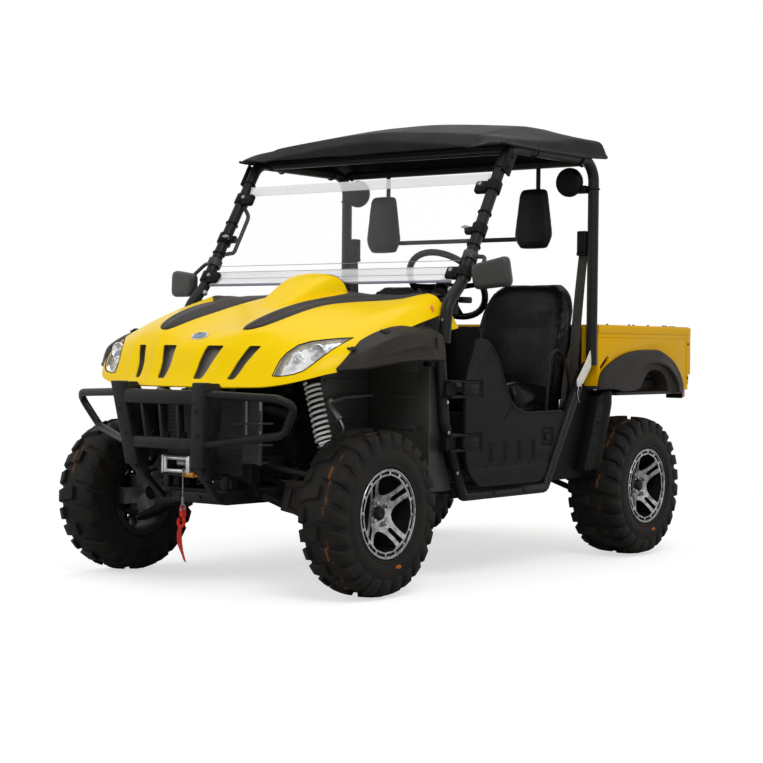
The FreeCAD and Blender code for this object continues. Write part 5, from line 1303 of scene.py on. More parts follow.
def winch_set():
    """Drum winch: ribbed motor, gear housing, wound drum, tray and roller fairlead."""
    z = 0.482
    body = [soft_barrel("motor", (0.062, WINCH_Y, z), (0.126, WINCH_Y, z), 0.037, 40, 0.004, 3)]
    for i in range(5):
        body.append(soft_barrel("fin", (0.070 + i * 0.010, WINCH_Y, z), (0.074 + i * 0.010, WINCH_Y, z), 0.0385,
                                40, 0.001, 1))
    body.append(soft_barrel("gear_housing", (-0.116, WINCH_Y, z), (-0.062, WINCH_Y, z), 0.036, 40, 0.006, 3))
    body.append(soft_barrel("clutch_hub", (-0.062, WINCH_Y, z), (-0.054, WINCH_Y, z), 0.040, 40, 0.002, 2))
    finish(joined("winch_body", *body), steel_black, "chassis", 40, ["winch"])
    turns = [soft_barrel("drum", (-0.054, WINCH_Y, z), (0.062, WINCH_Y, z), 0.020, 32, 0.001, 1)]
    turns += [ring("turn", (-0.046 + i * 0.0061, WINCH_Y, z), (1, 0, 0.03), 0.0215, 0.003, 32, 8) for i in range(17)]
    finish(joined("winch_drum", *turns), zinc, "chassis", 50)
    tray = [soft_block("tray", (-0.128, -1.314, z - 0.044), (0.128, -1.214, z - 0.036), 0.002),
            soft_block("wide_tray", (-0.164, -1.236, z - 0.044), (0.164, -1.214, z - 0.036), 0.002)]
    plate = soft_block("fairlead_plate", (-0.095, -1.320, z - 0.044), (0.095, -1.312, z + 0.042), 0.002)
    cut(plate, block("mouth", (-0.050, -1.33, z - 0.020), (0.050, -1.30, z + 0.020)))
    tray += [plate]
    tray += [soft_block("post", (s * 0.15 - 0.014, -1.236, 0.385), (s * 0.15 + 0.014, -1.214, z - 0.036), 0.002)
             for s in SIDES]
    tray += [bolt((s * 0.084, -1.3205, z - 0.030), (0, -1, 0), 0.006) for s in SIDES]
    finish(joined("winch_tray", *tray), steel_black, "chassis", 38)
    silver = []
    for s in SIDES:
        silver.append(soft_barrel("roller", (s * 0.058, -1.334, z - 0.031), (s * 0.058, -1.334, z + 0.031), 0.009,
                                  24, 0.002, 2))
        silver.append(soft_block("cheek", (s * 0.068 - 0.005, -1.344, z - 0.034),
                                 (s * 0.068 + 0.005, -1.312, z + 0.034), 0.002))
        silver.append(bolt((s * 0.0735, -1.334, z), (s, 0, 0), 0.006, 0.004))
    for t in (-0.024, 0.024):
        silver.append(soft_barrel("roller", (-0.064, -1.334, z + t), (0.064, -1.334, z + t), 0.008, 24, 0.002, 2))
    finish(joined("roller_fairlead", *silver), zinc, "chassis", 40)
    amber = Look("Amber clutch knob", "steel", (0.62, 0.25, 0.02), 0.3, 0.3)
    amber.feed("Base Color", amber.blend(amber.noise(90, 3), (0.66, 0.28, 0.02), (0.42, 0.16, 0.01)))
    knob = soft_barrel("clutch_knob", (0.040, -1.330, 0.4465), (0.090, -1.330, 0.4465), 0.012, 28, 0.003, 3)
    bar_piece = soft_block("clutch_bar", (0.052, -1.330, 0.438), (0.120, -1.318, 0.454), 0.002)
    finish(joined("clutch_lever", knob, bar_piece), amber, "chassis", 40)


def core_look():
    """Radiator core: fine fins between flat tubes."""
    look = Look("Radiator core", "dark_plastic", (0.02, 0.02, 0.02), 0.5, 0.6)
    fins = (look.along("X") * 1600).sine()
    tubes = look.ramp((look.along("Z") * 420).sine(), (0.4, 0.0), (0.8, 1.0))
    # The gaps between the fins are painted darker than the fins: painted shade in the core.
    look.feed("Base Color", look.blend(tubes, look.blend(fins, (0.006, 0.006, 0.006), (0.05, 0.05, 0.05)),
                                       (0.03, 0.03, 0.03)))
    look.bump(fins.most(tubes), 0.0015, 0.7)
    return look


def mesh_look():
    """Perforated guard: round holes in staggered rows."""
    look = Look("Perforated guard", "dark_plastic", (0.03, 0.03, 0.03), 0.45, 0.3)
    a = ((look.along("Z") + look.along("X") + look.along("Y")) * 480).sine()
    b = ((look.along("Z") - look.along("X") - look.along("Y")) * 480).sine()
    solid = look.ramp(a.most(b), (0.62, 0.0), (0.78, 1.0))
    # The holes are painted near black: painted shade seen through them.
    look.feed("Base Color", look.blend(solid, (0.002, 0.002, 0.002), (0.075, 0.075, 0.072)))
    look.bump(solid, 0.002, 0.8)
    return look


def radiator_set():
    """Radiator with finned core, end tanks, fan shroud, hoses and the perforated side guards."""
    core = soft_block("core", (-0.200, -1.182, 0.420), (0.200, -1.142, 0.742), 0.002, 1)
    finish(core, core_look(), "chassis", 30, ["radiator"])
    bits = []
    for s in SIDES:
        bits.append(soft_block("tank", (s * 0.224 - 0.024, -1.190, 0.410),
                               (s * 0.224 + 0.024, -1.134, 0.752), 0.010, 3))
        bits.append(soft_block("foot", (s * 0.15 - 0.016, -1.178, 0.385),
                               (s * 0.15 + 0.016, -1.146, 0.421), 0.002, 1))
        for z in (0.47, 0.55, 0.63, 0.71):
            bits.append(soft_block("tank_rib", (s * 0.224 - 0.0255, -1.1925, z - 0.004),
                                   (s * 0.224 + 0.0255, -1.131, z + 0.004), 0.002))
    for z in (0.428, 0.735):
        bits.append(soft_block("rail", (-0.205, -1.187, z - 0.008), (0.205, -1.137, z + 0.008), 0.003))
    shroud = lathe("shroud", [(0.0, 0.130), (0.0, 0.138), (0.014, 0.138), (0.014, 0.130)], 48)
    shroud.data.transform(Matrix.Translation((0, -1.142, 0.590)) @ Matrix.Rotation(math.radians(90), 4, "Z"))
    bits.append(shroud)
    for i in range(7):
        blade = soft_block("blade", (0.02, -0.003, -0.020), (0.125, 0.003, 0.020), 0.002, 1)
        blade.data.transform(Matrix.Translation((0, -1.134, 0.590)) @ Matrix.Rotation(2 * math.pi * i / 7, 4, "Y")
                             @ Matrix.Rotation(math.radians(28), 4, "X"))
        bits.append(blade)
    bits.append(soft_barrel("fan_hub", (0, -1.140, 0.590), (0, -1.126, 0.590), 0.034, 28, 0.003, 2))
    finish(joined("radiator_frame", *bits), plastic_black, "chassis", 40)
    guards = []
    for s in SIDES:
        guards.append(block("guard", (s * 0.252, -1.246, 0.500), (s * 0.336, -1.243, 0.742)))
        guards.append(block("guard", (s * 0.252 - 0.0015, -1.246, 0.500), (s * 0.252 + 0.0015, -1.136, 0.742)))
    for guard in guards:
        rounded(guard, 0.0008, 1)
    finish(joined("side_guards", *guards), mesh_look(), "chassis", 30)
    strips, tabs = [], []
    for s in SIDES:
        strips.append(soft_block("guard_strip", (s * 0.338 - 0.010, -1.252, 0.490),
                                 (s * 0.338 + 0.010, -1.242, 0.750), 0.002))
        strips.append(soft_block("guard_bar", (s * 0.250, -1.250, 0.7415), (s * 0.345, -1.128, 0.7475), 0.002))
        strips.append(soft_block("guard_bar", (s * 0.250, -1.250, 0.494), (s * 0.345, -1.200, 0.501), 0.002))
        for x, z0, z1 in ((0.344, 0.692, 0.742), (0.344, 0.592, 0.618), (0.276, 0.600, 0.742)):
            tabs.append(soft_block("tab", (s * x - 0.0045, -1.2545, z0), (s * x + 0.0045, -1.2515, z1), 0.001, 1))
        for z in (0.560, 0.640):
            strips.append(pipe("side_line", [(s * 0.230, -1.262, z), (s * 0.345, -1.258, z + 0.004),
                                             (s * 0.360, -1.200, z + 0.004)], 0.0045, 0.02, 10))
    finish(joined("guard_frame", *strips), grey_plastic_painted_light, "chassis", 35)
    finish(joined("guard_tabs", *tabs), casting, "chassis", 35)
    hoses = [pipe("top_hose", [(0.224, -1.165, 0.700), (0.275, -1.165, 0.700), (0.300, -1.120, 0.690),
                               (0.300, -1.000, 0.660), (0.200, -0.930, 0.640)], 0.016, 0.03, 14),
             pipe("low_hose", [(-0.224, -1.165, 0.460), (-0.275, -1.160, 0.460), (-0.290, -1.100, 0.470),
                               (-0.220, -0.960, 0.480)], 0.016, 0.03, 14)]
    finish(joined("coolant_hoses", *hoses), rubber, "chassis", 50)


# ---------------------------------------------------------------- springs, arms and shafts
ARM_FOOT_X, KINGPIN_X = 0.188, 0.555


def arm_top(x):
    share = (x - ARM_FOOT_X) / (KINGPIN_X - 0.008 - ARM_FOOT_X)
    return 0.480 + (0.414 - 0.480) * share + 0.013


def coil_over(name, y, x1, z1, x0, turns, r):
    """White coil spring over a damper with seats, preload ring and eyes."""
    low, high = Vector((x0, y, arm_top(x0) + 0.014)), Vector((x1, y, z1))
    run = high - low
    length = run.length
    frame_turn = Matrix.Translation(low) @ run.to_track_quat("Z", "Y").to_matrix().to_4x4()
    start, end = 0.30 * length, 0.915 * length
    line = []
    steps = turns * 20
    for i in range(steps + 1):
        share = i / steps
        rise = start + (end - start) * (0.5 - 0.5 * math.cos(math.pi * share)) * 0.18 + (end - start) * share * 0.82
        turn = 2 * math.pi * turns * share
        line.append(frame_turn @ Vector((r * math.cos(turn), r * math.sin(turn), rise)))
    spring = wire(name + "_spring", line, 0.0052, 10)
    metal, dark = [], []

    def stage(kind, a, b, radius, bevel=0.002):
        piece = soft_barrel("stage", (0, 0, a), (0, 0, b), radius, 28, bevel, 2)
        piece.data.transform(frame_turn)
        kind.append(piece)
    stage(metal, 0.0, start - 0.035, 0.0095)
    stage(metal, start - 0.012, start - 0.005, r + 0.001)
    stage(dark, start - 0.040, start - 0.010, 0.021)
    stage(dark, start - 0.02, end - 0.004, 0.0222)
    stage(metal, end - 0.008, end, 0.0075, 0.001)
    stage(dark, end + 0.004, end + 0.012, r + 0.002)
    stage(dark, end + 0.010, length - 0.004, 0.013)
    stage(metal, start + 0.02, start + 0.026, 0.026)
    for place in (low, high):
        dark.append(soft_barrel("eye", place - Vector((0, 0.017, 0)), place + Vector((0, 0.017, 0)), 0.0130,
                                24, 0.003, 2))
        metal.append(bolt(place - Vector((0, 0.0170, 0)), (0, -1, 0), 0.0075, 0.006))
        metal.append(bolt(place + Vector((0, 0.0170, 0)), (0, 1, 0), 0.0075, 0.006))
    return spring, joined(name + "_rod", *metal), joined(name + "_damper", *dark)


def suspension():
    springs, metals, darks = [], [], []
    for name, y, x1, z1, x0, turns in (("front", -1.002, 0.372, 0.826, 0.478, 12),
                                       ("rear", 0.909, 0.380, 0.648, 0.436, 6)):
        for pile, piece in zip((springs, metals, darks), coil_over(name, y, x1, z1, x0, turns, 0.0290)):
            pile.append(piece)
    finish(both_halves(joined("coil_springs", *springs)), white_spring, "chassis", 60, ["shocks"])
    finish(both_halves(joined("damper_rods", *metals)), zinc, "chassis", 40)
    finish(both_halves(joined("damper_bodies", *darks)), plastic_black, "chassis", 40)
    arms = refined("arms", "suspension_arms")
    finish(joined("wishbones", arms), steel_black, "chassis", 30, ["suspension_arms"])
    shafts = []
    for y, case_half in ((FRONT_AXLE_Y, 0.072), (REAR_AXLE_Y, 0.084)):
        inner, outer = Vector((case_half + 0.001, y, 0.426)), Vector((0.519, y, 0.321))
        run = outer - inner
        frame_turn = Matrix.Translation(inner) @ run.to_track_quat("Z", "Y").to_matrix().to_4x4()
        length = run.length
        shafts.append(barrel("shaft", inner + run * 0.05, outer, 0.012, verts=20))
        for start, end, big, small in ((0.01, 0.13, 0.032, 0.016), (0.965, 0.80, 0.030, 0.015)):
            for k in range(6):
                share = k / 5
                r = big + (small - big) * share
                rib = ring("boot_rib", (0, 0, (start + (end - start) * (share * 0.9 + 0.05)) * length), (0, 0, 1),
                           r - 0.006, 0.006, 28, 10)
                rib.data.transform(frame_turn)
                shafts.append(rib)
            a, b = sorted((start, end))
            cone = barrel("boot", (0, 0, a * length), (0, 0, b * length), (big if a == start else small) - 0.005,
                          (small if a == start else big) - 0.005, 28)
            cone.data.transform(frame_turn)
            shafts.append(cone)
    finish(both_halves(joined("drive_shafts", *shafts)), rubber, "chassis", 50, ["half_shafts"])
    guards = []
    for s in SIDES:
        shell = front_prism("arm_guard", ((0.272, 0.306), (0.300, 0.415), (0.318, 0.427), (0.398, 0.421),
                                                             (0.414, 0.396), (0.384, 0.288)), -1.052, -1.034, s)
        cut(shell, front_prism("opening", ((0.305, 0.318), (0.330, 0.390), (0.350, 0.385), (0.352, 0.308)),
                               -1.07, -1.02, s))
        guards.append(rounded(shell, 0.004, 2))
        guards.append(soft_block("guard_brow", (s * 0.304, -1.062, 0.398), (s * 0.402, -1.036, 0.424), 0.006, 3))
        guards.append(rounded(front_prism("guard_back", ((0.296, 0.312), (0.322, 0.398), (0.360, 0.394),
                                                         (0.362, 0.300)), -1.0390, -1.0345, s), 0.001, 1))
        guards.append(pipe("guard_stay", [(s * 0.345, -1.040, 0.345), (s * 0.345, -1.010, 0.340)], 0.006, 0.0, 10))
    finish(joined("front_arm_guards", *guards), plastic_flare, "chassis", 40)
    cylinders = []
    for s in SIDES:
        cylinders.append(soft_barrel("cylinder", (s * 0.395, -0.930, 0.722), (s * 0.462, -0.930, 0.655), 0.013,
                                     24, 0.004, 2))
        cylinders.append(soft_barrel("cylinder_cap", (s * 0.388, -0.930, 0.690), (s * 0.420, -0.930, 0.735), 0.009,
                                     24, 0.003, 2))
        cylinders.append(pipe("cylinder_line", [(s * 0.462, -0.930, 0.655), (s * 0.480, -0.925, 0.620),
                                                (s * 0.430, -0.900, 0.560), (s * 0.30, -0.86, 0.520)],
                              0.0045, 0.03, 10))
        cylinders.append(pipe("cylinder_stay", [(s * 0.400, -0.930, 0.715), (s * 0.380, -0.80, 0.735),
                                                (s * 0.370, -0.610, 0.740)], 0.006, 0.03, 10))
    return finish(joined("side_cylinders", *cylinders), casting, "chassis", 45)


def front():
    front_flare()
    inner_panels()
    bumper()
    winch_set()
    radiator_set()
    suspension()


front()


# ---------------------------------------------------------------- roof
ROOF = (
    # y, half width, lip z, side z, middle z, how far in the side leans
    (-0.212, 0.722, 1.752, 1.760, 1.792, 0.024), (-0.150, 0.722, 1.750, 1.784, 1.848, 0.028),
    (0.080, 0.722, 1.748, 1.799, 1.897, 0.028), (0.140, 0.722, 1.748, 1.803, 1.903, 0.029),
    (0.205, 0.722, 1.749, 1.808, 1.919, 0.030), (0.420, 0.722, 1.750, 1.836, 1.921, 0.034),
    (0.600, 0.720, 1.762, 1.840, 1.900, 0.030), (0.622, 0.716, 1.770, 1.828, 1.864, 0.026),
    (0.634, 0.712, 1.774, 1.788, 1.811, 0.022),
)


def straight_run(places, values, at):
    """Value of straight stretches through (place, value) knots."""
    i = max(0, min(len(places) - 2, sum(1 for place in places[1:-1] if place <= at)))
    t = (at - places[i]) / (places[i + 1] - places[i])
    return values[i] + (values[i + 1] - values[i]) * t


def roof():
    """Moulded roof: rolled lip, leaning sides, raised middle, closed-in ends, ribs and clamps below."""
    places = [row[0] for row in ROOF]
    ys = (-0.212, -0.212, -0.2105, -0.207, -0.200, -0.188, -0.172, -0.158, -0.148, -0.13, -0.09, -0.03, 0.03, 0.08,
          0.14, 0.20, 0.27, 0.34, 0.41, 0.48, 0.54, 0.575, 0.590, 0.602, 0.615, 0.626, 0.632, 0.634, 0.634)
    rows = []
    for i, y in enumerate(ys):
        half, lip, side, middle, lean = (straight_run(places, [row[k] for row in ROOF], y) for k in range(1, 6))
        for end, way in ((-0.212, 1), (0.634, -1)):
            near = way * (y - end)
            if near < 0.024:
                half -= 0.024 * (1 - math.sqrt(max(0.0, 1 - (1 - near / 0.024) ** 2)))
        inner = half - lean - 0.150
        profile = [(half, lip), (half, lip + 0.006), (half - 0.004, lip + 0.010), (half - 0.007, lip + 0.012),
                   (half - lean * 0.5, lip + (side - lip) * 0.45), (half - lean * 0.85, lip + (side - lip) * 0.85),
                   (half - lean - 0.006, side), (half - lean - 0.020, side + 0.006),
                   (inner + 0.075, (side + middle - 0.040) / 2 + 0.002), (inner + 0.020, middle - 0.047),
                   (inner + 0.004, middle - 0.041), (inner - 0.008, middle - 0.0375), (inner - 0.06, middle - 0.0320),
                   (0.36, middle - 0.021), (0.24, middle - 0.011), (0.12, middle - 0.003), (0.0, middle)]
        if i in (0, len(ys) - 1):
            profile = [(x, lip) for x, _ in profile]
        elif i in (1, len(ys) - 2):
            profile = [(x, min(z, lip + 0.006)) for x, z in profile]
        elif i in (2, len(ys) - 3):
            profile = [(x, min(z, lip + 0.011)) for x, z in profile]
        elif i in (3, len(ys) - 4):
            profile = [(x, min(z, lip + 0.014 + (z - lip) * 0.4)) for x, z in profile]
        rows.append([(x, y, z) for x, z in profile] + [(-x, y, z) for x, z in profile[-2::-1]])
    shell = sheet_of("roof_shell", rows)
    weld(shell, 1e-5)
    turned(shell, lambda face: face.normal.z * face.area)
    work(shell, "SOLIDIFY", thickness=0.006, offset=-1.0)
    work(shell, "SUBSURF", levels=1, render_levels=1)
    bits = []
    for s in SIDES:
        for y, top in ((0.060, 1.789), (0.420, 1.815)):
            bits.append(soft_block("pad", (s * 0.672 - 0.018, y - 0.035, 1.7763),
                                   (s * 0.672 + 0.010, y + 0.035, top), 0.004))
            bits.append(ring("pad_band", (s * 0.686, y, 1.752), (0, 1, 0), 0.0265, 0.004, 28, 8))
    for y in (-0.02, 0.10, 0.28, 0.43):
        top = straight_run(places, [row[4] for row in ROOF], y)
        rib = []
        for k in range(17):
            x = k * 0.0575 - 0.46
            z = top - 0.0050 - 0.155 * x * x
            rib.append([(x, y - 0.012, z - 0.014), (x, y + 0.012, z - 0.014), (x, y + 0.012, z), (x, y - 0.012, z)])
        bits.append(rounded(skin("rib", rib), 0.003, 1))
    finish(joined("roof_panel", shell, *bits), plastic_black, "chassis", 38, ["roof"])


# ---------------------------------------------------------------- windshield
PILLAR_FOOT_Y, PILLAR_FOOT_Z = -0.455, 1.187
PILLAR_LEAN = 0.5965     # y per z


def pillar_y(z):
    return PILLAR_FOOT_Y + (z - PILLAR_FOOT_Z) * PILLAR_LEAN


def pillar_x(z):
    return 0.686 - (z - PILLAR_FOOT_Z) * 0.0248


def shield():
    """Clear sheet with folded flanges painted whitish as painted sheen, edge trim, clamps and wing knobs on the
    pillars.
    """
    def strip(name, rows, thick=0.005):
        half = 0.6445
        piece = sheet_of(name, [[(half * (i / 8 - 1), y, z) for i in range(17)] for y, z in rows])
        turned(piece, lambda face: -face.normal.y)
        return work(piece, "SOLIDIFY", thickness=thick, offset=0.0)
    middle = [(pillar_y(z), z) for z in (1.252, 1.37, 1.49, 1.600)]
    finish(strip("windshield_sheet", middle, 0.0045), clear, "chassis", 40, ["windshield"])
    # The flanges are painted whitish and part opaque, in streaks: painted sheen of the folded sheet.
    flange_sheen = Look("Milky folded flange", "clear_sheet", (0.90, 0.91, 0.93), 0.18, Specular_IOR_Level=0.4)
    sheen_streak = flange_sheen.ramp(flange_sheen.noise(9, 3, (0.12, 1.0, 1.6)), (0.42, 0.0), (0.66, 1.0))
    flange_sheen.feed("Alpha", 0.46 + sheen_streak * 0.12)
    flange_sheen.feed("Base Color", flange_sheen.blend(sheen_streak, (0.80, 0.81, 0.83), (0.96, 0.96, 0.97)))
    low = strip("flange_low", [(pillar_y(1.252), 1.2525), (pillar_y(1.235) - 0.002, 1.235),
                               (pillar_y(1.21) - 0.009, 1.21), (pillar_y(1.190) - 0.014, 1.190)])
    high = strip("flange_high", [(pillar_y(1.600), 1.5995), (pillar_y(1.615) - 0.002, 1.615),
                                 (pillar_y(1.630) - 0.006, 1.630), (pillar_y(1.640) - 0.010, 1.640)], 0.004)
    finish(joined("windshield_flanges", low, high), flange_sheen, "chassis", 50)
    trim = Look("Grey edge trim", "steel", (0.20, 0.20, 0.26), 0.3, 0.2)
    trim.feed("Base Color", trim.blend(trim.noise(30, 3), (0.17, 0.17, 0.22), (0.27, 0.27, 0.34)))
    y = pillar_y(1.190) - 0.014
    lines = [soft_block("edge", (-0.6445, y - 0.0030, 1.1880), (0.6445, y + 0.0030, 1.1990), 0.0012, 1)]
    for z, push, r in ((1.222, -0.0085, 0.0012), (1.2515, -0.0035, 0.0010), (1.278, -0.0035, 0.0014)):
        lines.append(wire("edge", [(-0.6445, pillar_y(z) + push, z), (0.6445, pillar_y(z) + push, z)], r, 8))
    finish(joined("windshield_trim", *lines), trim, "chassis", 60)
    clamps = [refined("clamp_set", "windshield_clamps", 0.0015, 2)]
    knobs = []
    lean = math.atan(PILLAR_LEAN)
    for s in SIDES:
        for z in (1.226, 1.400, 1.580):
            x, y = pillar_x(z), pillar_y(z)
            jaw = soft_block("jaw", (-0.030, -0.015, -0.027), (0.030, 0.015, 0.027), 0.011, 3)
            jaw.data.transform(Matrix.Translation((s * (x - 0.047), y - 0.014, z)) @ Matrix.Rotation(-lean, 4, "X"))
            if z != 1.400:
                clamps.append(jaw)
            else:
                bpy.data.objects.remove(jaw)
            at, way = Vector((s * (x - 0.040), y - 0.018, z)), Vector((0, -math.cos(lean), math.sin(lean)))
            knobs.append(barrel("stud", at, at + way * 0.026, 0.0035, verts=12))
            knobs.append(soft_barrel("knob", at + way * 0.020, at + way * 0.030, 0.0085, 20, 0.002, 2))
            if z == 1.400:
                knobs.append(soft_block("wing", at + way * 0.026 - Vector((0.018, 0.003, 0.004)),
                                        at + way * 0.026 + Vector((0.018, 0.003, 0.004)), 0.002))
        for z in (1.335, 1.470, 1.655):
            clamps.append(ring("band", (s * pillar_x(z), pillar_y(z), z), (0, PILLAR_LEAN, 1), 0.0262, 0.0035, 28, 8))
        # Bracket and hinge block at the pillar's foot and its plate at the top.
        foot = soft_block("foot_block", (s * 0.662 - 0.026, -0.530, 1.060),
                          (s * 0.662 + 0.026, -0.470, 1.128), 0.008, 3)
        clamps.append(foot)
        clamps.append(bolt((s * 0.662, -0.531, 1.093), (0, -1, 0), 0.010))
        clamps.append(soft_block("tongue", (s * 0.700 - 0.013, -0.478, 1.108),
                                 (s * 0.700 + 0.013, -0.415, 1.132), 0.005))
        top = soft_block("top_plate", (-0.006, -0.030, -0.055), (0.006, 0.030, 0.055), 0.004)
        top.data.transform(Matrix.Translation((s * 0.703, -0.150, 1.688)) @ Matrix.Rotation(-lean, 4, "X"))
        clamps.append(top)
        for z in (1.665, 1.710):
            clamps.append(bolt((s * 0.7085, pillar_y(z) + 0.010, z), (s, 0, 0), 0.0075))
        for y, z in ((-0.555, 0.985), (-0.552, 1.04)):
            knobs.append(bolt((s * 0.686, y - 0.0245, z), (0, -1, 0), 0.007))
        knobs.append(rounded(ball("lens_dot", (s * 0.655, -0.484, 1.160), (0.013, 0.010, 0.013), 18, 10), 0.0001, 1))
    finish(joined("pillar_clamps", *clamps), plastic_black, "chassis", 38, ["windshield_clamps"])
    finish(joined("pillar_knobs", *knobs), casting, "chassis", 40)


# ---------------------------------------------------------------- doors
DOOR_EDGE = ((-0.386, 0.968), (-0.300, 0.968), (-0.222, 0.888), (-0.176, 0.790), (-0.110, 0.702), (-0.010, 0.668),
             (0.292, 0.668), (0.108, 0.380), (-0.350, 0.380), (-0.425, 0.430), (-0.456, 0.520), (-0.456, 0.820))


def eased(outline, cut_back, steps=5):
    """An outline with each corner turned into a short curve."""
    points = [Vector(p) for p in outline]
    line = []
    for before, corner, after in zip(points[-1:] + points[:-1], points, points[1:] + points[:1]):
        back = min(cut_back, (before - corner).length * 0.49, (after - corner).length * 0.49)
        start = corner + (before - corner).normalized() * back
        end = corner + (after - corner).normalized() * back
        line += [tuple(start.lerp(corner, t).lerp(corner.lerp(end, t), t))
                 for t in (i / steps for i in range(steps + 1))]
    return line


def near_line(p, a, b):
    """Distance from p to the stretch from a to b, all (y, z)."""
    p, a, b = Vector(p), Vector(a), Vector(b)
    t = max(0.0, min(1.0, (p - a).dot(b - a) / (b - a).length_squared))
    return (p - (a + (b - a) * t)).length


def in_box(y, z, y0, y1, z0, z1, soft=0.004):
    """1 inside a box, fading to 0 over a soft edge."""
    inside = min(y - y0, y1 - y, z - z0, z1 - z)
    return max(0.0, min(1.0, inside / soft + 0.5))


def door_relief(y, z):
    """How far the door's outer skin stands in or out at a place."""
    depth = 0.0
    for rib in (-0.275, -0.170, -0.065, 0.040):
        gap = min(near_line((y, z), (rib, 0.470), (rib, 0.555)), near_line((y, z), (rib, 0.470),
                (rib - 0.026, 0.463)))
        depth += 0.0050 * math.exp(-(gap / 0.0042) ** 2)
        depth -= 0.0025 * math.exp(-(near_line((y, z), (rib + 0.010, 0.475), (rib + 0.010, 0.550)) / 0.005) ** 2)
    crease = 0.448 + 0.012 * (y + 0.4)
    depth += 0.0035 * (1 / (1 + math.exp(-(crease - z) / 0.0022)))
    depth -= 0.0035 * math.exp(-(near_line((y, z), (-0.187, 0.641), (-0.125, 0.695)) / 0.0042) ** 2)
    depth += 0.0030 * (1 / (1 + math.exp(-((z - 0.800) - 0.9 * (y + 0.45)) / 0.0030))) * (1.0 if z > 0.6 else 0.0)
    for at in (0.560, 0.770):
        depth -= 0.0060 * in_box(y, z, -0.470, -0.335, at - 0.034, at + 0.034)
    depth -= 0.0070 * in_box(y, z, 0.106, 0.196, 0.524, 0.600)
    depth += 0.0045 * in_box(y, z, 0.120, 0.182, 0.534, 0.590, 0.003)
    depth -= 0.0040 * in_box(y, z, 0.130, 0.172, 0.543, 0.581, 0.003)
    return depth


def crossings(line, z):
    """Front and rear places where a closed outline meets a height."""
    found = []
    for (y0, z0), (y1, z1) in zip(line, line[1:] + line[:1]):
        if (z0 - z) * (z1 - z) < 0:
            found.append(y0 + (y1 - y0) * (z - z0) / (z1 - z0))
    return min(found), max(found)


def door_shell():
    """Pressed door skin made in two grids that meet below the elbow of its top edge, closed to a slab."""
    line, split = eased(DOOR_EDGE, 0.030), 0.6679
    heights = [0.3802, 0.3808, 0.3820, 0.3840] + [0.387 + 0.0040 * i for i in range(70)]
    heights = [z for z in heights if z < split - 0.003] + [split - 0.0012, split]
    above = [split + 0.0015, split + 0.004] + [split + 0.008 + 0.0042 * i for i in range(69)] + [0.9655, 0.9668,
            0.9675, 0.9679]
    above = [z for i, z in enumerate(above) if z < 0.965 or i >= len(above) - 4]

    def row(z, y0, y1, count):
        places = [y0 + (y1 - y0) * i / count for i in range(count + 1)]
        return [(0.7120 + door_relief(y, z) * 0.95, y, z) for y in places]

    front = [row(z, crossings(line, z)[0], 0.0 if z <= split else crossings(line, z)[1], 92) for z in heights + above]
    rear = [row(z, 0.0, crossings(line, z)[1], 58) for z in heights]
    slab = joined("door_skin", sheet_of("front_part", front), sheet_of("rear_part", rear))
    weld(slab, 1e-5)
    turned(slab, lambda face: face.normal.x)
    work(slab, "SOLIDIFY", thickness=0.0130, offset=-1.0)
    bits = [slab]
    rim_line = [(0.7060, y, z) for y, z in eased(DOOR_EDGE, 0.030)]
    middle = Vector((0.706, -0.12, 0.60))
    rim_line = [tuple(Vector(p) + (middle - Vector(p)).normalized() * 0.0085) for p in rim_line]
    bits.append(wire("door_rim", rim_line, 0.0085, 12, closed=True))
    for z in (0.560, 0.770):
        bits.append(soft_block("leaf", (0.7085, -0.468, z - 0.020), (0.7165, -0.372, z + 0.020), 0.002))
        eye = barrel("eye", (0.713, -0.468, z - 0.020), (0.713, -0.468, z + 0.020), 0.009, verts=24)
        cut(eye, barrel("bore", (0.713, -0.468, z - 0.03), (0.713, -0.468, z + 0.03), 0.00405, verts=24))
        bits.append(rounded(eye, 0.001, 1))
        for y in (-0.425, -0.392):
            bits.append(bolt((0.7150, y, z), (1, 0, 0), 0.0052, 0.0028))
    bits.append(soft_block("latch_paddle", (0.7040, 0.136, 0.549), (0.7125, 0.166, 0.575), 0.003))
    for y, z in ((-0.418, 0.478), (-0.418, 0.690), (-0.300, 0.405), (-0.020, 0.405), (0.070, 0.405), (-0.405, 0.900),
                 (-0.150, 0.700), (0.225, 0.640)):
        bits.append(bolt((0.7105 + door_relief(y, z) * 0.95, y, z), (1, 0, 0), 0.0045, 0.0030))
    return joined("door", *bits)


def doors():
    door = door_shell()
    other = copied(door, "right_door_shell", ACROSS)
    door.name = "left_door_shell"
    finish(door, plastic_black, "left_door", 36, ["left_door"])
    finish(other, plastic_black, "right_door", 36, ["right_door"])
    hinges = refined("hinge_set", "door_hinges", 0.0012, 1)
    finish(joined("door_hinge_brackets", hinges), plastic_black, "chassis", 32, ["door_hinges"])


# ---------------------------------------------------------------- seats
def padded(piece, look, replaces, voxel, cap, pressure=4.0):
    """Stuffs a closed shape: remesh, cloth under pressure with its swell capped, then one subdivision."""
    work(piece, "REMESH", mode="VOXEL", voxel_size=voxel, use_smooth_shade=True)
    only(piece)
    start = [vertex.co.copy() for vertex in piece.data.vertices]
    cloth = piece.modifiers.new("Cloth", "CLOTH")
    cloth.settings.use_pressure = True
    cloth.settings.uniform_pressure_force = pressure
    cloth.settings.effector_weights.gravity = 0
    cloth.settings.quality = 4
    cloth.collision_settings.use_collision = False
    for number in range(1, 21):
        bpy.context.scene.frame_set(number)
    only(piece)
    bpy.ops.object.modifier_apply(modifier=cloth.name)
    bpy.context.scene.frame_set(1)
    for vertex, place in zip(piece.data.vertices, start):
        move = vertex.co - place
        if move.length > cap:
            vertex.co = place + move.normalized() * cap
    work(piece, "SMOOTH", factor=0.5, iterations=6)
    work(piece, "SUBSURF", levels=1, render_levels=1)
    finish(piece, look, "chassis", 80, replaces)
    return piece


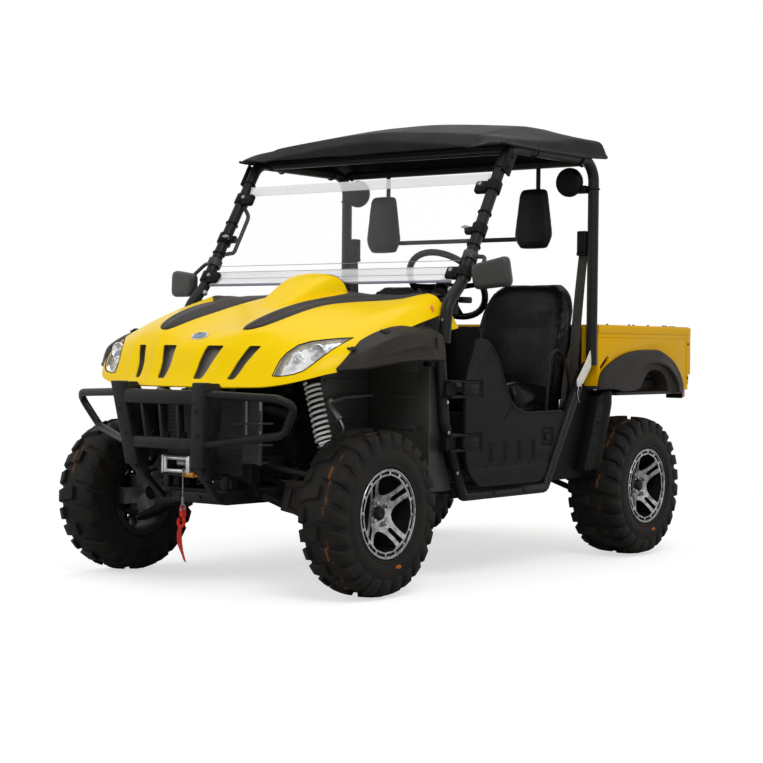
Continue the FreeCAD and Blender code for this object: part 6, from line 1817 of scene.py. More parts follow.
SEAT_X = 0.345     # middle of the left seat
SEAT_BACK = (
    # z, front y, depth, half width of the seat's back
    (0.662, 0.456, 0.098, 0.206), (0.770, 0.452, 0.102, 0.240), (0.900, 0.468, 0.088, 0.247),
             (1.035, 0.495, 0.069, 0.242),
    (1.130, 0.534, 0.066, 0.228), (1.190, 0.562, 0.060, 0.192), (1.228, 0.588, 0.046, 0.132),
)


def seat_at(z):
    """The back's front y, depth and half width at a height."""
    levels, *columns = zip(*SEAT_BACK)
    return (smooth_run(levels, column, z) for column in columns)


def back_section(z):
    front, depth, half = seat_at(z)
    hollow = 0.034 * max(0.0, min(1.0, (1.20 - z) / 0.12)) * (0.55 + 0.45 * max(0.0, min(1.0, (z - 0.66) / 0.10)))
    section = []
    for i in range(17):
        across = 1 - i / 8
        side = abs(across)
        dip = hollow * (1 - min(1.0, side / 0.80) ** 3) + depth * 0.38 * max(0.0, (side - 0.86) / 0.14) ** 2
        section.append((SEAT_X + across * half, front + min(dip, depth * 0.72), z))
    for i in range(17):
        across = i / 8 - 1
        round_off = depth * 0.35 * max(0.0, (abs(across) - 0.82) / 0.18) ** 2
        section.append((SEAT_X + across * half, front + depth - round_off, z))
    return section


def seats():
    levels = [0.662, 0.668, 0.690, 0.73, 0.77, 0.82, 0.87, 0.92, 0.97, 1.02, 1.06, 1.10, 1.135, 1.165, 1.190,
              1.208, 1.219]
    for side, flip in (("left", False), ("right", True)):
        back = skin(f"{side}_seat_back", [back_section(z) for z in levels])
        rows = []
        for y, high, low, half in ((0.124, 0.756, 0.676, 0.214), (0.136, 0.778, 0.660, 0.224),
                                   (0.165, 0.788, 0.658, 0.229), (0.230, 0.781, 0.658, 0.230),
                                   (0.310, 0.770, 0.658, 0.230), (0.390, 0.762, 0.658, 0.228),
                                   (0.432, 0.756, 0.658, 0.222), (0.446, 0.748, 0.664, 0.214)):
            top = []
            for i in range(17):
                across = 1 - i / 8
                side_lift = -0.018 * (1 - min(1.0, abs(across) / 0.78) ** 3) - (high - low) * 0.30 * max(0.0,
                        (abs(across) - 0.88) / 0.12) ** 2
                top.append((SEAT_X + across * half, y, high + side_lift))
            rows.append(top + [(SEAT_X + (i / 8 - 1) * half, y, low) for i in range(17)])
        cushion = skin(f"{side}_seat_cushion", rows)
        for piece in (back, cushion):
            if flip:
                piece.data.transform(ACROSS)
                piece.data.flip_normals()
        padded(back, vinyl, ["seats"] if not flip else [], 0.0055, 0.005)
        padded(cushion, vinyl, [], 0.0055, 0.005)
        seams = []
        s = -1 if flip else 1
        for edge in SIDES:
            line = []
            for z in [0.70 + i * 0.03 for i in range(17)]:
                front, depth, half = seat_at(z)
                line.append((s * (SEAT_X + edge * half * 0.885), front + 0.0035, z))
            seams.append(wire("seam", line, 0.0026, 8))
            seams.append(wire("seam", [(s * (SEAT_X + edge * 0.204), y, z - 0.001) for y,
                                       z in ((0.150, 0.784), (0.20, 0.786), (0.27, 0.779), (0.35, 0.769),
                                             (0.43, 0.758))], 0.0026, 8))
        shell = []
        for level in (0.72, 0.86, 1.00):
            front, depth, half = seat_at(level)
            shell.append(soft_block("back_rib", (s * SEAT_X - half * 0.75, front + depth - 0.012, level - 0.012),
                                    (s * SEAT_X + half * 0.75, front + depth - 0.001, level + 0.012), 0.004))
        finish(joined(f"{side}_seat_seams", *seams, *shell), vinyl, "chassis", 60)


def headrests():
    """Moulded head pads with a soft face and a ridge down the middle, on their hanging bars."""
    for side, s in (("left", 1), ("right", -1)):
        rows = []
        outline = ((1.374, 0.064), (1.378, 0.070), (1.400, 0.083), (1.428, 0.094), (1.445, 0.0945), (1.500, 0.0875),
                   (1.560, 0.0790), (1.610, 0.0715), (1.628, 0.066), (1.637, 0.056))
        for z, half in outline:
            section = []
            for i in range(13):
                across = 1 - i / 6
                face = 0.454 + 0.012 * abs(across) ** 1.6 + 0.012 * max(0.0, (abs(across) - 0.8) / 0.2) ** 2
                face += 0.010 * max(0.0, (z - 1.60) / 0.037) ** 2 + 0.010 * max(0.0, (1.40 - z) / 0.026) ** 2
                section.append((s * 0.417 + across * half, face, z))
            for i in range(13):
                across = i / 6 - 1
                section.append((s * 0.417 + across * half, 0.506 - 0.010 * abs(across) ** 4, z))
            rows.append(section)
        pad = skin(f"{side}_head_pad", rows)
        padded(pad, head_vinyl, ["headrests"] if s > 0 else [], 0.0045, 0.002, 2.0)


head_vinyl = moulded_plastic("Head pad skin", "dark_plastic", (0.008, 0.008, 0.008), 0.4, 800.0, 0.2)


def belts():
    """Shoulder belts: reel, webbing, tongue and its blank cream sleeve on the driver's side."""
    weave = Look("Belt weave", "webbing", (0.055, 0.047, 0.038), 0.7, Specular_IOR_Level=0.2)
    ribs = (weave.along("X") * 2600).sine() * (weave.along("Z") * 1500).sine()
    fade = weave.ramp(weave.noise(12, 3), (0.35, 0.0), (0.7, 1.0))
    weave.feed("Base Color", weave.blend(fade, (0.060, 0.052, 0.043), (0.034, 0.029, 0.024)))
    weave.bump(ribs, 0.0005, 0.8)
    reels, webs, metal = [], [], []
    for s in SIDES:
        reels.append(soft_block("reel", (s * 0.6157, 0.523, 1.352), (s * 0.6617, 0.567, 1.448), 0.006, 3))
        reels.append(soft_block("reel_mouth", (s * 0.612, 0.528, 1.340), (s * 0.661, 0.562, 1.356), 0.003))
        rows = []
        for i in range(25):
            t = i / 24
            x = (0.639 + (0.592 - 0.639) * t) * s
            y = 0.5445 + (0.5335 - 0.5445) * t - 0.010 * math.sin(math.pi * t)
            twist = 0.18 * math.sin(math.pi * t)
            rows.append([(x + k * 0.022 * math.cos(twist), y + k * 0.022 * math.sin(twist),
                          1.350 + (0.668 - 1.350) * t) for k in (-1, -0.5, 0, 0.5, 1)])
        web = sheet_of("web", rows)
        work(web, "SOLIDIFY", thickness=0.0022, offset=0.0)
        webs.append(web)
        rows = []
        for i in range(15):
            t = i / 14
            y = 0.5285 - 0.0885 * t - 0.02 * math.sin(math.pi * t)
            rows.append([(s * (0.6055 + 0.004 * t), y + k * 0.019, 0.960 - 0.275 * t - k * 0.004)
                         for k in (-1, 0, 1)])
        web = sheet_of("lap_web", rows)
        work(web, "SOLIDIFY", thickness=0.0022, offset=0.0)
        webs.append(web)
        metal.append(soft_block("anchor", (s * 0.576, 0.526, 0.6553), (s * 0.608, 0.541, 0.700), 0.003))
        metal.append(soft_block("tongue", (s * 0.6095 - 0.002, 0.405, 0.672),
                                (s * 0.6095 + 0.002, 0.470, 0.712), 0.0015, 1))
    finish(joined("belt_reels", *reels), plastic_black, "chassis", 40, ["seat_belts"])
    finish(joined("belt_webbing", *webs), weave, "chassis", 50)
    finish(joined("belt_fittings", *metal), zinc, "chassis", 40)
    cream = Look("Blank cream sleeve", "webbing", (0.74, 0.70, 0.58), 0.55, Specular_IOR_Level=0.3)
    soil = cream.ramp(cream.noise(60, 4), (0.45, 0.0), (0.72, 1.0))
    cream.feed("Base Color", cream.blend(soil * 0.5, (0.78, 0.75, 0.64), (0.50, 0.45, 0.34)))
    cream.bump((cream.along("Z") * 900).sine(), 0.0005, 0.6)
    a, b = Vector((0, 0.562, 0.936)), Vector((0, 0.438, 0.786))
    wide = Vector((0, 0.026, -0.009))
    rows = []
    for i in range(13):
        t = i / 12
        middle = a.lerp(b, t) + Vector((0.6905 + 0.004 * math.sin(math.pi * t), 0, 0))
        rows.append([tuple(middle + wide * k + Vector((0.0018 * (1 - k * k), 0, 0))) for k in (-1, -0.6, 0, 0.6, 1)])
    sleeve = sheet_of("sleeve", rows)
    work(sleeve, "SOLIDIFY", thickness=0.004, offset=0.0)
    work(sleeve, "SUBSURF", levels=1, render_levels=1)
    finish(sleeve, cream, "chassis", 60)
    tail = [soft_block("sleeve_buckle", (0.688, 0.415, 0.770), (0.6945, 0.452, 0.796), 0.002),
            wire("sleeve_cord", [(0.6915, 0.432, 0.775), (0.690, 0.425, 0.74), (0.686, 0.440, 0.715),
                                 (0.682, 0.455, 0.700)], 0.0016, 8)]
    finish(joined("sleeve_clip", *tail), zinc, "chassis", 40)


# ---------------------------------------------------------------- controls
def column_frame():
    """Matrix that puts local z on the steering column's axis with its origin at the wheel's hub."""
    hub, foot = Vector((0.370, -0.105, 1.195)), Vector((0.370, -0.470, 0.868))
    return Matrix.Translation(hub) @ (hub - foot).to_track_quat("Z", "Y").to_matrix().to_4x4()


def controls():
    turn = column_frame()
    wheel = [ring("rim", (0, 0, 0), (0, 0, 1), 0.175, 0.0138, 96, 20)]
    for k in range(40):
        angle = 2 * math.pi * k / 40
        wheel.append(ring("grip", (0.175 * math.cos(angle), 0.175 * math.sin(angle), 0),
                          (-math.sin(angle), math.cos(angle), 0), 0.0128, 0.0018, 14, 6))
    for direction in (0, 180, 270):
        angle = math.radians(direction)
        spoke = skin("spoke", [[(r, -w, z - t), (r, w, z - t), (r, w * 0.7, z + t), (r, -w * 0.7, z + t)]
                               for r, w, z, t in ((0.030, 0.022, -0.014, 0.006), (0.080, 0.016, -0.010, 0.005),
                                                  (0.130, 0.013, -0.004, 0.0045), (0.168, 0.012, 0.0, 0.005))])
        rounded(spoke, 0.003, 2)
        spoke.data.transform(Matrix.Rotation(angle, 4, "Z"))
        wheel.append(spoke)
    wheel.append(soft_barrel("boss", (0, 0, -0.040), (0, 0, -0.006), 0.042, 40, 0.008, 3))
    wheel.append(soft_barrel("cap", (0, 0, -0.010), (0, 0, -0.001), 0.030, 40, 0.004, 3))
    wheel.append(barrel("shaft", (0, 0, -0.150), (0, 0, -0.030), 0.014, verts=28))
    wheel = joined("steering_wheel_grip", *wheel)
    wheel.data.transform(turn)
    finish(wheel, vinyl, "steering_wheel", 50, ["steering_wheel"])
    column = refined("column", "steering_column", 0.0, 1)
    shroud = []
    for a, b, r0, r1 in ((-0.300, -0.190, 0.040, 0.036), (-0.190, -0.060, 0.036, 0.0335)):
        piece = barrel("shroud", (0, 0, a), (0, 0, b), r0, r1, 32)
        cut(piece, barrel("hollow", (0, 0, a - 0.01), (0, 0, b + 0.01), 0.0302, verts=32))
        piece.data.transform(turn)
        shroud.append(piece)
    stalk = pipe("stalk", [turn @ Vector((0.030, 0, -0.100)), turn @ Vector((0.100, 0.01, -0.090)),
                           turn @ Vector((0.130, 0.01, -0.080))], 0.0055, 0.02, 12)
    finish(joined("column_shroud", column, *shroud, stalk), plastic_black, "chassis", 40, ["steering_column"])
    dash = refined("dash", "dashboard", 0.006, 3)
    bits = [dash]
    pod = soft_block("gauge_pod", (0.270, -0.475, 1.115), (0.470, -0.395, 1.158), 0.014, 4)
    bits.append(pod)
    for x in (0.315, 0.425):
        bits.append(ring("gauge_ring", (x, -0.394, 1.136), (0, 1, 0), 0.017, 0.003, 28, 8))
    for x in (0.06, 0.11, 0.16, 0.21):
        bits.append(soft_block("rocker", (x - 0.016, -0.402, 1.045), (x + 0.016, -0.391, 1.075), 0.003))
    bits.append(pipe("shelf_bar", [(-0.47, -0.400, 0.995), (-0.47, -0.380, 1.005), (-0.20, -0.380, 1.005),
                                   (-0.20, -0.400, 0.995)], 0.006, 0.012, 10))
    finish(joined("dashboard_panel", *bits), plastic_black, "chassis", 40, ["dashboard"])
    pedals = []
    for x, wide, z in ((0.430, 0.030, 0.520), (0.300, 0.045, 0.530)):
        pedals.append(soft_block("pedal", (x - wide, -0.518, z - 0.035), (x + wide, -0.508, z + 0.035), 0.004))
        for k in (-2, -1, 0, 1, 2):
            pedals.append(soft_block("tread", (x - wide * 0.85, -0.508, z + k * 0.012 - 0.003),
                                     (x + wide * 0.85, -0.5055, z + k * 0.012 + 0.003), 0.001, 1))
        pedals.append(pipe("pedal_arm", [(x, -0.514, z), (x, -0.532, z + 0.10), (x, -0.556, z + 0.16)],
                           0.006, 0.03, 10))
    finish(joined("pedals", *pedals), rubber, "chassis", 40)
    lever = [pipe("lever", [(0.040, -0.02, 0.475), (0.040, -0.05, 0.60), (0.030, -0.02, 0.72)], 0.0065, 0.05, 12),
             ball("knob", (0.030, -0.018, 0.728), (0.021, 0.021, 0.026), 20, 12),
             soft_block("lever_plate", (-0.035, -0.09, 0.460), (0.085, 0.05, 0.468), 0.003)]
    finish(joined("gear_lever", *lever), plastic_black, "chassis", 50)


def mirrors_and_pods():
    glass = Look("Mirror glass", "steel", (0.80, 0.82, 0.84), 0.04, 1.0)
    glass.feed("Roughness", 0.03 + glass.noise(20, 3) * 0.04)
    shells, panes, pods = [], [], []
    rows = []
    for y, w, h in ((-0.020, 0.066, 0.036), (-0.0185, 0.078, 0.046), (-0.013, 0.088, 0.055), (0.000, 0.092, 0.060),
                    (0.016, 0.092, 0.060), (0.020, 0.090, 0.058)):
        rows.append([(px, y, pz) for px, pz in eased([(-w, -h * 0.86), (w, -h), (w, h), (-w, h * 0.80)], 0.028, 6)])
    shell = skin("mirror_shell", rows)
    cut(shell, front_prism("recess", eased([(-0.085, -0.046), (0.085, -0.053), (0.085, 0.053), (-0.085, 0.043)],
                                           0.024, 5), 0.016, 0.04))
    pane = front_prism("pane", eased([(-0.084, -0.045), (0.084, -0.052), (0.084, 0.052), (-0.084, 0.042)], 0.024, 5),
                       0.0145, 0.0175)
    joint = soft_barrel("arm_joint", (-0.045, 0.010, 0.046), (-0.045, 0.010, 0.016), 0.013, 24, 0.004, 2)
    shell = joined("mirror_shell", shell, joint)
    x, y = pillar_x(1.292), pillar_y(1.292)
    band = barrel("band", (x + 0.0004, y - 0.0090, 1.277), (x - 0.0004, y + 0.0090, 1.307), 0.032, verts=32)
    cut(band, barrel("hole", (x + 0.0015, pillar_y(1.232), 1.232), (x - 0.0015, pillar_y(1.352), 1.352),
                     0.0243, verts=32))
    clip = joined("mirror_clip", rounded(band, 0.002, 2), bolt((x, y - 0.034, 1.292), (0, -1, 0.3), 0.006))
    for s, out, low in ((1, 0.0, 0.0), (-1, 0.023, 0.020)):
        place = (Matrix.Translation((0.810 + out, -0.430, 1.222 - low)) @ Matrix.Rotation(math.radians(12), 4, "Z")
                 @ Matrix.Rotation(math.radians(-9 if s > 0 else -3), 4, "Y") @ Matrix.Scale(0.87, 4, (1, 0, 0)))
        hand = ACROSS if s < 0 else Matrix.Identity(4)
        end = place @ Vector((-0.045, 0.010, 0.030))
        arm = pipe("arm", [(x + 0.026, y - 0.002, 1.292), (x + 0.065, y + 0.012, 1.292), tuple(end)],
                   0.0085, 0.02, 14)
        shells += [copied(shell, "shell_side", hand @ place), copied(arm, "arm_side", hand),
                   copied(clip, "clip_side", hand)]
        panes.append(copied(pane, "pane_side", hand @ place))
        bpy.data.objects.remove(arm)
    for piece in (shell, pane, clip):
        bpy.data.objects.remove(piece)
    finish(joined("mirror_shells", *shells), grey_plastic_painted_light, "chassis", 45, ["mirrors"])
    finish(joined("mirror_panes", *panes), glass, "chassis", 30)
    centre = Vector((0.588, 0.505, 1.660))
    pod = lathe("pod", [(-0.026, 0.0002), (-0.026, 0.040), (-0.0235, 0.052), (-0.016, 0.0605), (-0.006, 0.0638),
                        (0.006, 0.0638), (0.016, 0.0600), (0.0235, 0.050), (0.026, 0.036), (0.026, 0.0002)], 56)
    pod.data.transform(Matrix.Translation(centre) @ Matrix.Rotation(math.radians(90), 4, "Z"))
    pods.append(pod)
    for r in (0.012, 0.022, 0.032, 0.042):
        pods.append(ring("grille", centre + Vector((0, -0.0250, 0)), (0, 1, 0), r, 0.0018, 36, 6))
    pods.append(ring("bezel", centre + Vector((0, -0.0215, 0)), (0, 1, 0), 0.052, 0.003, 44, 8))
    pods.append(soft_block("pod_arm", (0.600, 0.513, 1.612), (0.662, 0.556, 1.645), 0.004))
    pods.append(ring("pod_band", (0.686, 0.545, 1.629), (0, 0, 1), 0.0262, 0.0035, 28, 8))
    finish(both_halves(joined("speaker_pods_shell", *pods)), plastic_black, "chassis", 45, ["speaker_pods"])


def cab_trim():
    """Bolts, brackets and mats of the cabin."""
    dark, bright = [], []
    for s in SIDES:
        for y, z in ((-0.535, 0.72), (-0.526, 0.60), (-0.463, 0.44)):
            bright.append(bolt((s * 0.6835, y, z), (s, 0, 0), 0.0050, 0.003))
        for y in (-0.20, 0.02):
            dark.append(bolt((s * 0.6835, y, 0.345), (s, 0, 0), 0.0062, 0.004))
        dark.append(soft_block("sill_plate", (s * 0.62, -0.38, 0.3995), (s * (0.62 - 0.030), 0.08, 0.4045), 0.002, 1))
    for s in SIDES:
        mat = soft_block("mat", (s * 0.11, -0.50, 0.4002), (s * 0.58, 0.08, 0.4065), 0.003)
        dark.append(mat)
        for k in range(14):
            y = -0.48 + k * 0.041
            dark.append(soft_block("mat_rib", (s * 0.13, y - 0.006, 0.406), (s * 0.56, y + 0.006, 0.4095), 0.0015, 1))
    for s in SIDES:
        for y in (-0.060, 0.520):
            dark.append(ring("cross_band", (s * 0.640, y, 1.748), (1, 0, 0), 0.0205, 0.004, 28, 8))
    wings, ambers = [], []
    for s in SIDES:
        outline = ((-0.561, 1.112), (-0.505, 1.087), (-0.432, 1.010), (-0.498, 1.000), (-0.534, 1.046))
        wings.append(rounded(side_prism("wing", eased(outline, 0.010, 3), 0.655, 0.662, s), 0.002, 2))
        wings.append(rounded(side_prism("wing_stay", ((-0.532, 1.080), (-0.500, 1.070), (-0.480, 1.020),
                                                      (-0.512, 1.020)), 0.626, 0.657, s), 0.002, 2))
        wings.append(bolt((s * 0.662, -0.462, 1.026), (s, 0, 0), 0.004, 0.002))
        ambers.append(rounded(ball("amber", (s * 0.640, -0.5885, 1.078), (0.010, 0.0045, 0.020), 18, 10), 0.0001, 1))
    finish(joined("pillar_side_wings", *wings), paint_yellow, "chassis", 40)
    finish(joined("amber_markers", *ambers), amber, "chassis", 50)
    finish(joined("cabin_mats", *dark), rubber, "chassis", 40)
    finish(joined("cage_bolts", *bright), zinc, "chassis", 40)
    bits = []
    for s in SIDES:
        bits.append(rounded(side_prism("panel", ((0.225, 0.368), (0.560, 0.368), (0.628, 0.640), (0.640, 0.756),
                                                 (0.566, 0.760), (0.566, 0.838), (0.522, 0.838)), 0.626, 0.640,
                                       s), 0.003, 2))
        bits.append(rounded(side_prism("flank", ((0.486, 0.404), (0.600, 0.404), (0.690, 0.690), (0.690, 0.748),
                                                 (0.652, 0.748), (0.602, 0.726)), 0.639, 0.694, s), 0.005, 3))
        bits.append(rounded(side_prism("wheel_wall", ((0.606, 0.402), (0.626, 0.402), (0.720, 0.690), (0.720, 0.750),
                                                      (0.702, 0.750), (0.702, 0.696)), 0.470, 0.645, s), 0.004, 2))
        rows = []
        for z, y1, deep, out in ((0.402, 0.626, 0.060, 0.700), (0.410, 0.629, 0.064, 0.704),
                                 (0.480, 0.652, 0.070, 0.7055), (0.560, 0.678, 0.074, 0.7060),
                                 (0.640, 0.704, 0.078, 0.7060), (0.690, 0.720, 0.082, 0.7060),
                                 (0.735, 0.721, 0.084, 0.7055), (0.746, 0.719, 0.080, 0.7040),
                                 (0.750, 0.715, 0.072, 0.7000)):
            row = [(s * 0.630, y1, z), (s * 0.630, y1 - deep, z)]
            row += [(s * (0.640 + (out - 0.640) * math.sin(math.pi * t) ** 0.55),
                     y1 - deep + deep * (0.5 - 0.5 * math.cos(math.pi * t)), z)
                    for t in (k / 12 for k in range(1, 12))]
            rows.append(row)
        bits.append(skin("guard_column", rows))
        for z0, y0, y1 in ((0.560, 0.540, 0.606), (0.636, 0.568, 0.628), (0.700, 0.596, 0.640)):
            bits.append(soft_block("step_line", (s * 0.692, y0, z0), (s * 0.6975, y1, z0 + 0.006), 0.0015, 1))
        for y, z in ((0.516, 0.42), (0.560, 0.50), (0.600, 0.61), (0.640, 0.71)):
            bits.append(bolt((s * 0.694, y, z), (s, 0, 0), 0.0055, 0.0035))
        bits.append(soft_block("sill_strip", (s * 0.628, -0.440, 0.336), (s * 0.650, 0.240, 0.400), 0.003))
    finish(joined("rear_side_panel_set", *bits), plastic_black, "chassis", 36, ["rear_side_panels"])


amber = Look("Amber lens", "red_lens", (0.75, 0.20, 0.01), 0.15, Coat_Weight=0.4)


def cab():
    roof()
    shield()
    doors()
    seats()
    headrests()
    belts()
    controls()
    mirrors_and_pods()
    cab_trim()


cab()


# ---------------------------------------------------------------- load bed
# Arch cover of the bed, (y, z) from front to rear: its upper edge, its rim and the hole's edge.
FLARE_OUT = ((0.572, 0.758), (0.580, 0.797), (0.612, 0.842), (0.738, 0.897), (0.860, 0.923), (0.955, 0.931),
             (1.060, 0.932), (1.133, 0.925), (1.250, 0.879), (1.320, 0.815), (1.344, 0.770), (1.348, 0.735))
FLARE_IN = ((0.700, 0.757), (0.724, 0.758), (0.772, 0.768), (0.830, 0.800), (0.890, 0.840), (0.955, 0.860),
            (1.030, 0.869), (1.110, 0.865), (1.180, 0.845), (1.240, 0.805), (1.268, 0.772), (1.280, 0.735))
FLARE_HOLE = ((0.736, 0.757), (0.800, 0.743), (0.880, 0.745), (0.940, 0.752), (0.975, 0.778), (1.005, 0.815),
              (1.050, 0.836), (1.105, 0.838), (1.155, 0.824), (1.190, 0.796), (1.208, 0.768), (1.212, 0.735))


def bed_flare():
    """Arch cover on the bed's side: flat flank, bulged rim and the liner behind it."""
    rows = []
    steps = 44
    for i in range(steps + 1):
        t = i / steps * (len(FLARE_OUT) - 1)
        k = min(int(t), len(FLARE_OUT) - 2)
        # Smoothed places on both edges.
        def on(line):
            a, b, c, d = (Vector(line[max(0, min(len(line) - 1, k + j))]) for j in (-1, 0, 1, 2))
            u = t - k
            return ((b * 2) + (c - a) * u + (a * 2 - b * 5 + c * 4 - d) * u * u + (b * 3 - a - c * 3 + d)
                    * u ** 3) * 0.5
        out, inn, hole = on(FLARE_OUT), on(FLARE_IN), on(FLARE_HOLE)
        end = min(1.0, min(i, steps - i) / 4)
        row = [(0.7003, out), (0.7070, out), (0.7115 + 0.0015 * end, out.lerp(inn, 0.02)),
               (0.7150 + 0.003 * end, out.lerp(inn, 0.07)), (0.7190, out.lerp(inn, 0.30)),
               (0.7215, out.lerp(inn, 0.50)), (0.7225, out.lerp(inn, 0.60)), (0.7265, out.lerp(inn, 0.66)),
               (0.7285, out.lerp(inn, 0.80)), (0.7290, out.lerp(inn, 0.92)), (0.7275, out.lerp(inn, 0.98)),
               (0.7230, inn), (0.7120, inn), (0.7070, inn.lerp(hole, 0.06)), (0.7060, inn.lerp(hole, 0.5)),
               (0.7045, inn.lerp(hole, 0.95)), (0.7020, hole), (0.6960, hole), (0.6300, hole), (0.6080, hole)]
        rows.append([(x, p.x, p.y) for x, p in row])
    cover = sheet_of("arch_cover", rows)
    turned(cover, lambda face: face.normal.x * face.area)
    work(cover, "SOLIDIFY", thickness=0.0028, offset=-1.0)
    work(cover, "SUBSURF", levels=1, render_levels=1)
    bits = [cover,
            soft_block("skirt_front", (0.604, 0.5720, 0.7545), (0.700, 0.760, 0.7705), 0.003),
            soft_block("skirt_mid", (0.606, 0.736, 0.7270), (0.704, 1.330, 0.7410), 0.004),
            soft_block("skirt_rear", (0.640, 1.250, 0.7270), (0.708, 1.346, 0.7500), 0.004),
            soft_block("liner_wall", (0.6020, 0.736, 0.7275), (0.6300, 1.388, 0.8000), 0.002, 1),
            soft_block("liner_wall", (0.6020, 0.800, 0.7900), (0.6300, 1.388, 0.8600), 0.002, 1),
            soft_block("clip", (0.7130, 0.606, 0.7790), (0.7165, 0.640, 0.7920), 0.0012)]
    for y, z in ((0.665, 0.852), (0.790, 0.901), (0.955, 0.922), (1.140, 0.915), (1.262, 0.862), (1.332, 0.780)):
        bits.append(bolt((0.7130, y, z - 0.006), (1, 0, 0), 0.0052, 0.003))
    return joined("bed_flare", *bits)


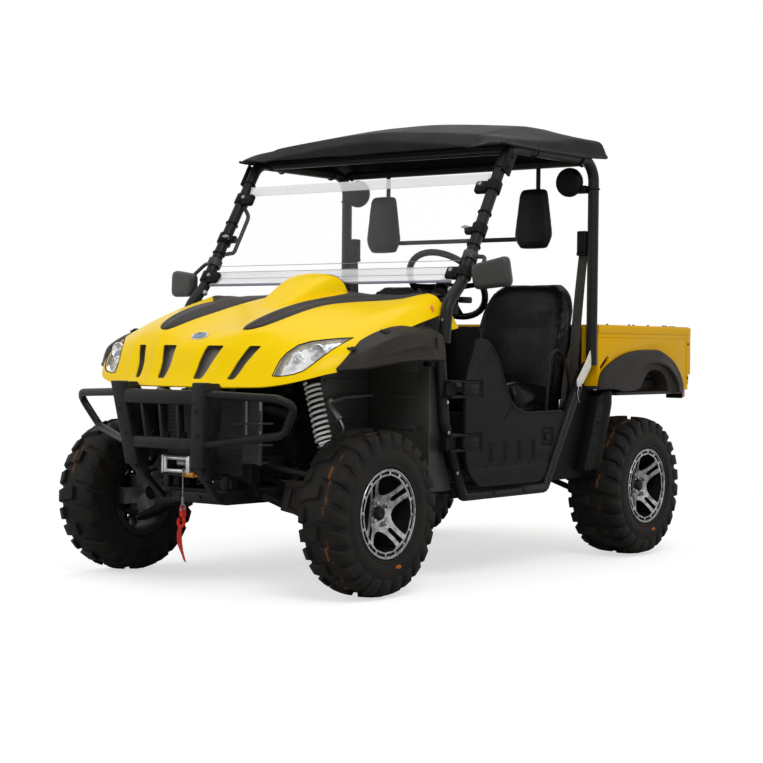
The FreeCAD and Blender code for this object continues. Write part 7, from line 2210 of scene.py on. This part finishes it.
def bed():
    """Load bed with its rolled rail, slots, ribs and fixings, its flares, lamps and tailgate."""
    shell = refined("bed_shell", "bed_box", 0.0018, 2)
    slots = []
    for s in SIDES:
        a, b = Vector((0, 0.664, 0.894)), Vector((0, 0.604, 0.849))
        wide = Vector((0, 0.60, -0.80)) * 0.0125
        line = [a + (b - a) * 0.05 + wide, a + (b - a) * 0.95 + wide, b + wide * 0.2 + (b - a) * 0.12,
                b - wide * 0.9 + (b - a) * 0.05, a + (b - a) * 0.05 - wide, a + wide * 0.1 - (b - a) * 0.12]
        slots.append(skin("slot", [[(x, p.y, p.z) for p in line] for x in (s * 0.680, s * 0.720)]))
    cut(shell, *slots)
    bits = [shell]
    for s in SIDES:
        roll = front_prism("rolled_rail", ((0.6990, 0.9990), (0.7015, 1.0010), (0.7035, 1.0050), (0.7040, 1.0120),
                                           (0.7040, 1.0290), (0.7022, 1.0365), (0.6975, 1.0400), (0.6900, 1.0405),
                                           (0.6900, 0.9990)), 0.5775, 1.4125, s)
        bits.append(roll)
        bits.append(soft_block("crease", (s * 0.6985, 0.580, 0.9840), (s * 0.7018, 1.410, 0.9880), 0.0012, 1))
        bits.append(soft_block("end_cap", (s * 0.6985, 1.3960, 0.7720), (s * 0.7022, 1.4135, 0.9990), 0.0014))
        bits.append(soft_block("corner_foot", (s * 0.612, 1.3760, 0.7450), (s * 0.700, 1.4125, 0.7740), 0.003))
        for y in (0.62, 0.80, 0.98, 1.16, 1.34):
            bits.append(soft_block("inner_rib", (s * 0.5800, y - 0.018, 0.790),
                                   (s * 0.5860, y + 0.018, 1.005), 0.0025))
    for k in range(9):
        x = -0.48 + k * 0.12
        bits.append(soft_block("floor_rib", (x - 0.022, 0.625, 0.7810), (x + 0.022, 1.375, 0.7870), 0.0025))
    for x in (-0.42, -0.14, 0.14, 0.42):
        bits.append(soft_block("wall_rib", (x - 0.060, 0.5895, 0.820), (x + 0.060, 0.5945, 0.990), 0.0022))
    bits.append(soft_block("rear_sill", (-0.600, 1.4050, 0.7696), (0.600, 1.4440, 0.7742), 0.001, 1))
    for s in SIDES:
        arc = [(0.977 + r * math.sin(a), 0.700 + r * math.cos(a)) for r,
               angles in ((0.2515, range(-42, 43, 6)), (0.221, range(42, -43, -6)))
               for a in (math.radians(k) for k in angles)]
        bits.append(side_prism("arch_fill", arc, 0.6960, 0.7001, s))
    finish(joined("bed_body", *bits), paint_bed, "cargo_bed", 34, ["bed_box"])
    fixings = []
    for s in SIDES:
        for y in (0.700, 0.895, 0.935, 1.070, 1.215, 1.240):
            fixings.append(soft_barrel("rail_bolt", (s * 0.672, y, 1.0400), (s * 0.672, y, 1.0455), 0.0052,
                                       18, 0.0015, 2))
        fixings.append(soft_block("slot_back", (s * 0.668, 0.585, 0.830), (s * 0.684, 0.690, 0.912), 0.002, 1))
        fixings.append(soft_block("latch_plate", (s * 0.600, 1.4135, 0.960), (s * 0.660, 1.4165, 0.990), 0.001, 1))
        fixings.append(bolt((s * 0.7023, 1.4050, 0.800), (s, 0, 0), 0.0048, 0.003))
        fixings.append(bolt((s * 0.7023, 1.4050, 0.960), (s, 0, 0), 0.0048, 0.003))
    finish(joined("bed_fixings", *fixings), plastic_black, "cargo_bed", 40)
    flare = bed_flare()
    finish(both_halves(flare, "bed_flare_pair"), plastic_flare, "cargo_bed", 45, ["bed_flares"])
    lenses = [refined("lensescore", "tail_lights", 0.006, 3)]
    backs = []
    for s in SIDES:
        backs.append(soft_block("lamp_back", (s * 0.608, 1.366, 0.704), (s * 0.694, 1.378, 0.7695), 0.004))
        for z in (0.725, 0.752):
            backs.append(soft_block("lamp_bar", (s * 0.618, 1.4065, z - 0.0012),
                                    (s * 0.684, 1.4095, z + 0.0012), 0.0008, 1))
    finish(joined("tail_lamp_lenses", *lenses), red_glass, "cargo_bed", 40, ["tail_lights"])
    finish(joined("tail_lamp_backs", *backs), plastic_black, "cargo_bed", 40)
    gate = [refined("gate_core", "tailgate", 0.0018, 2)]
    for z in (0.840, 1.000):
        gate.append(soft_block("gate_rib", (-0.640, 1.4415, z - 0.010), (0.640, 1.4480, z + 0.010), 0.003))
    for x in (-0.45, -0.15, 0.15, 0.45):
        gate.append(soft_block("gate_post", (x - 0.010, 1.4495, 0.870), (x + 0.010, 1.4500, 0.970), 0.0002, 1))
    finish(joined("tailgate_panel", *gate), paint_bed, "tailgate", 34, ["tailgate"])
    pulls = []
    for s in SIDES:
        pulls.append(soft_block("gate_latch", (s * 0.560, 1.4412, 1.008), (s * 0.640, 1.4490, 1.032), 0.0025))
        pulls.append(soft_block("gate_knob", (s * 0.585, 1.4200, 1.0355), (s * 0.615, 1.4450, 1.0450), 0.003))
    finish(joined("tailgate_latches", *pulls), plastic_black, "tailgate", 40)


# ---------------------------------------------------------------- underside and driveline
def plain(*rows):
    """Nodes shown as they are: name, node, rounding of the edges and its segments, finish, smoothing angle."""
    for name, node, width, segments, look, smooth in rows:
        finish(refined(name, node, width, segments), look, "chassis", smooth, [node])


def underside():
    """Frame, engine, cases, exhaust, hitch, cage tubes and panels as merged copies, most with their edges eased; the
    engine gets fins, side covers and bolts.
    """
    plain(("frame_core", "chassis_frame", 0.0012, 1, steel_black, 32),
          ("skid_core", "skid_plate", 0.0012, 1, plastic_black, 32))
    engine = [refined("engine_core", "engine_block", 0.010, 3)]
    for k in range(7):
        y = 0.235 + k * 0.060
        for s in SIDES:
            engine.append(soft_block("fin", (s * 0.188, y - 0.006, 0.36), (s * 0.198, y + 0.006, 0.57), 0.002))
    for y in (0.30, 0.50):
        engine.append(soft_barrel("side_cover", (0.189, y, 0.44), (0.207, y, 0.44), 0.075, 48, 0.006, 3))
        for k in range(6):
            angle = math.pi * k / 3
            engine.append(bolt((0.207, y + 0.060 * math.cos(angle), 0.44 + 0.060 * math.sin(angle)), (1, 0, 0),
                               0.0055, 0.004))
    finish(joined("engine", *engine), casting, "chassis", 36, ["engine_block"])
    plain(("gear_case_set", "gearcases", 0.0, 1, casting, 36), ("muffler_core", "muffler", 0.003, 2, zinc, 36),
          ("hitch_core", "hitch", 0.0012, 1, steel_black, 32),
          ("cage_left_tube", "cage_left", 0.0, 1, steel_black, 40),
          ("cage_right_tube", "cage_right", 0.0, 1, steel_black, 40),
          ("cage_cross_tube", "cage_crossbars", 0.0, 1, steel_black, 40),
          ("grab_rail_tube", "grab_rails", 0.0, 1, steel_black, 40),
          ("headrest_bars", "headrest_frame", 0.0, 1, steel_black, 40),
          ("floor_core", "floor_pan", 0.0015, 1, plastic_black, 32),
          ("seat_base_core", "seat_base", 0.006, 3, plastic_black, 34),
          ("back_panel_core", "cab_back_panel", 0.001, 1, plastic_black, 34))


bed()
underside()
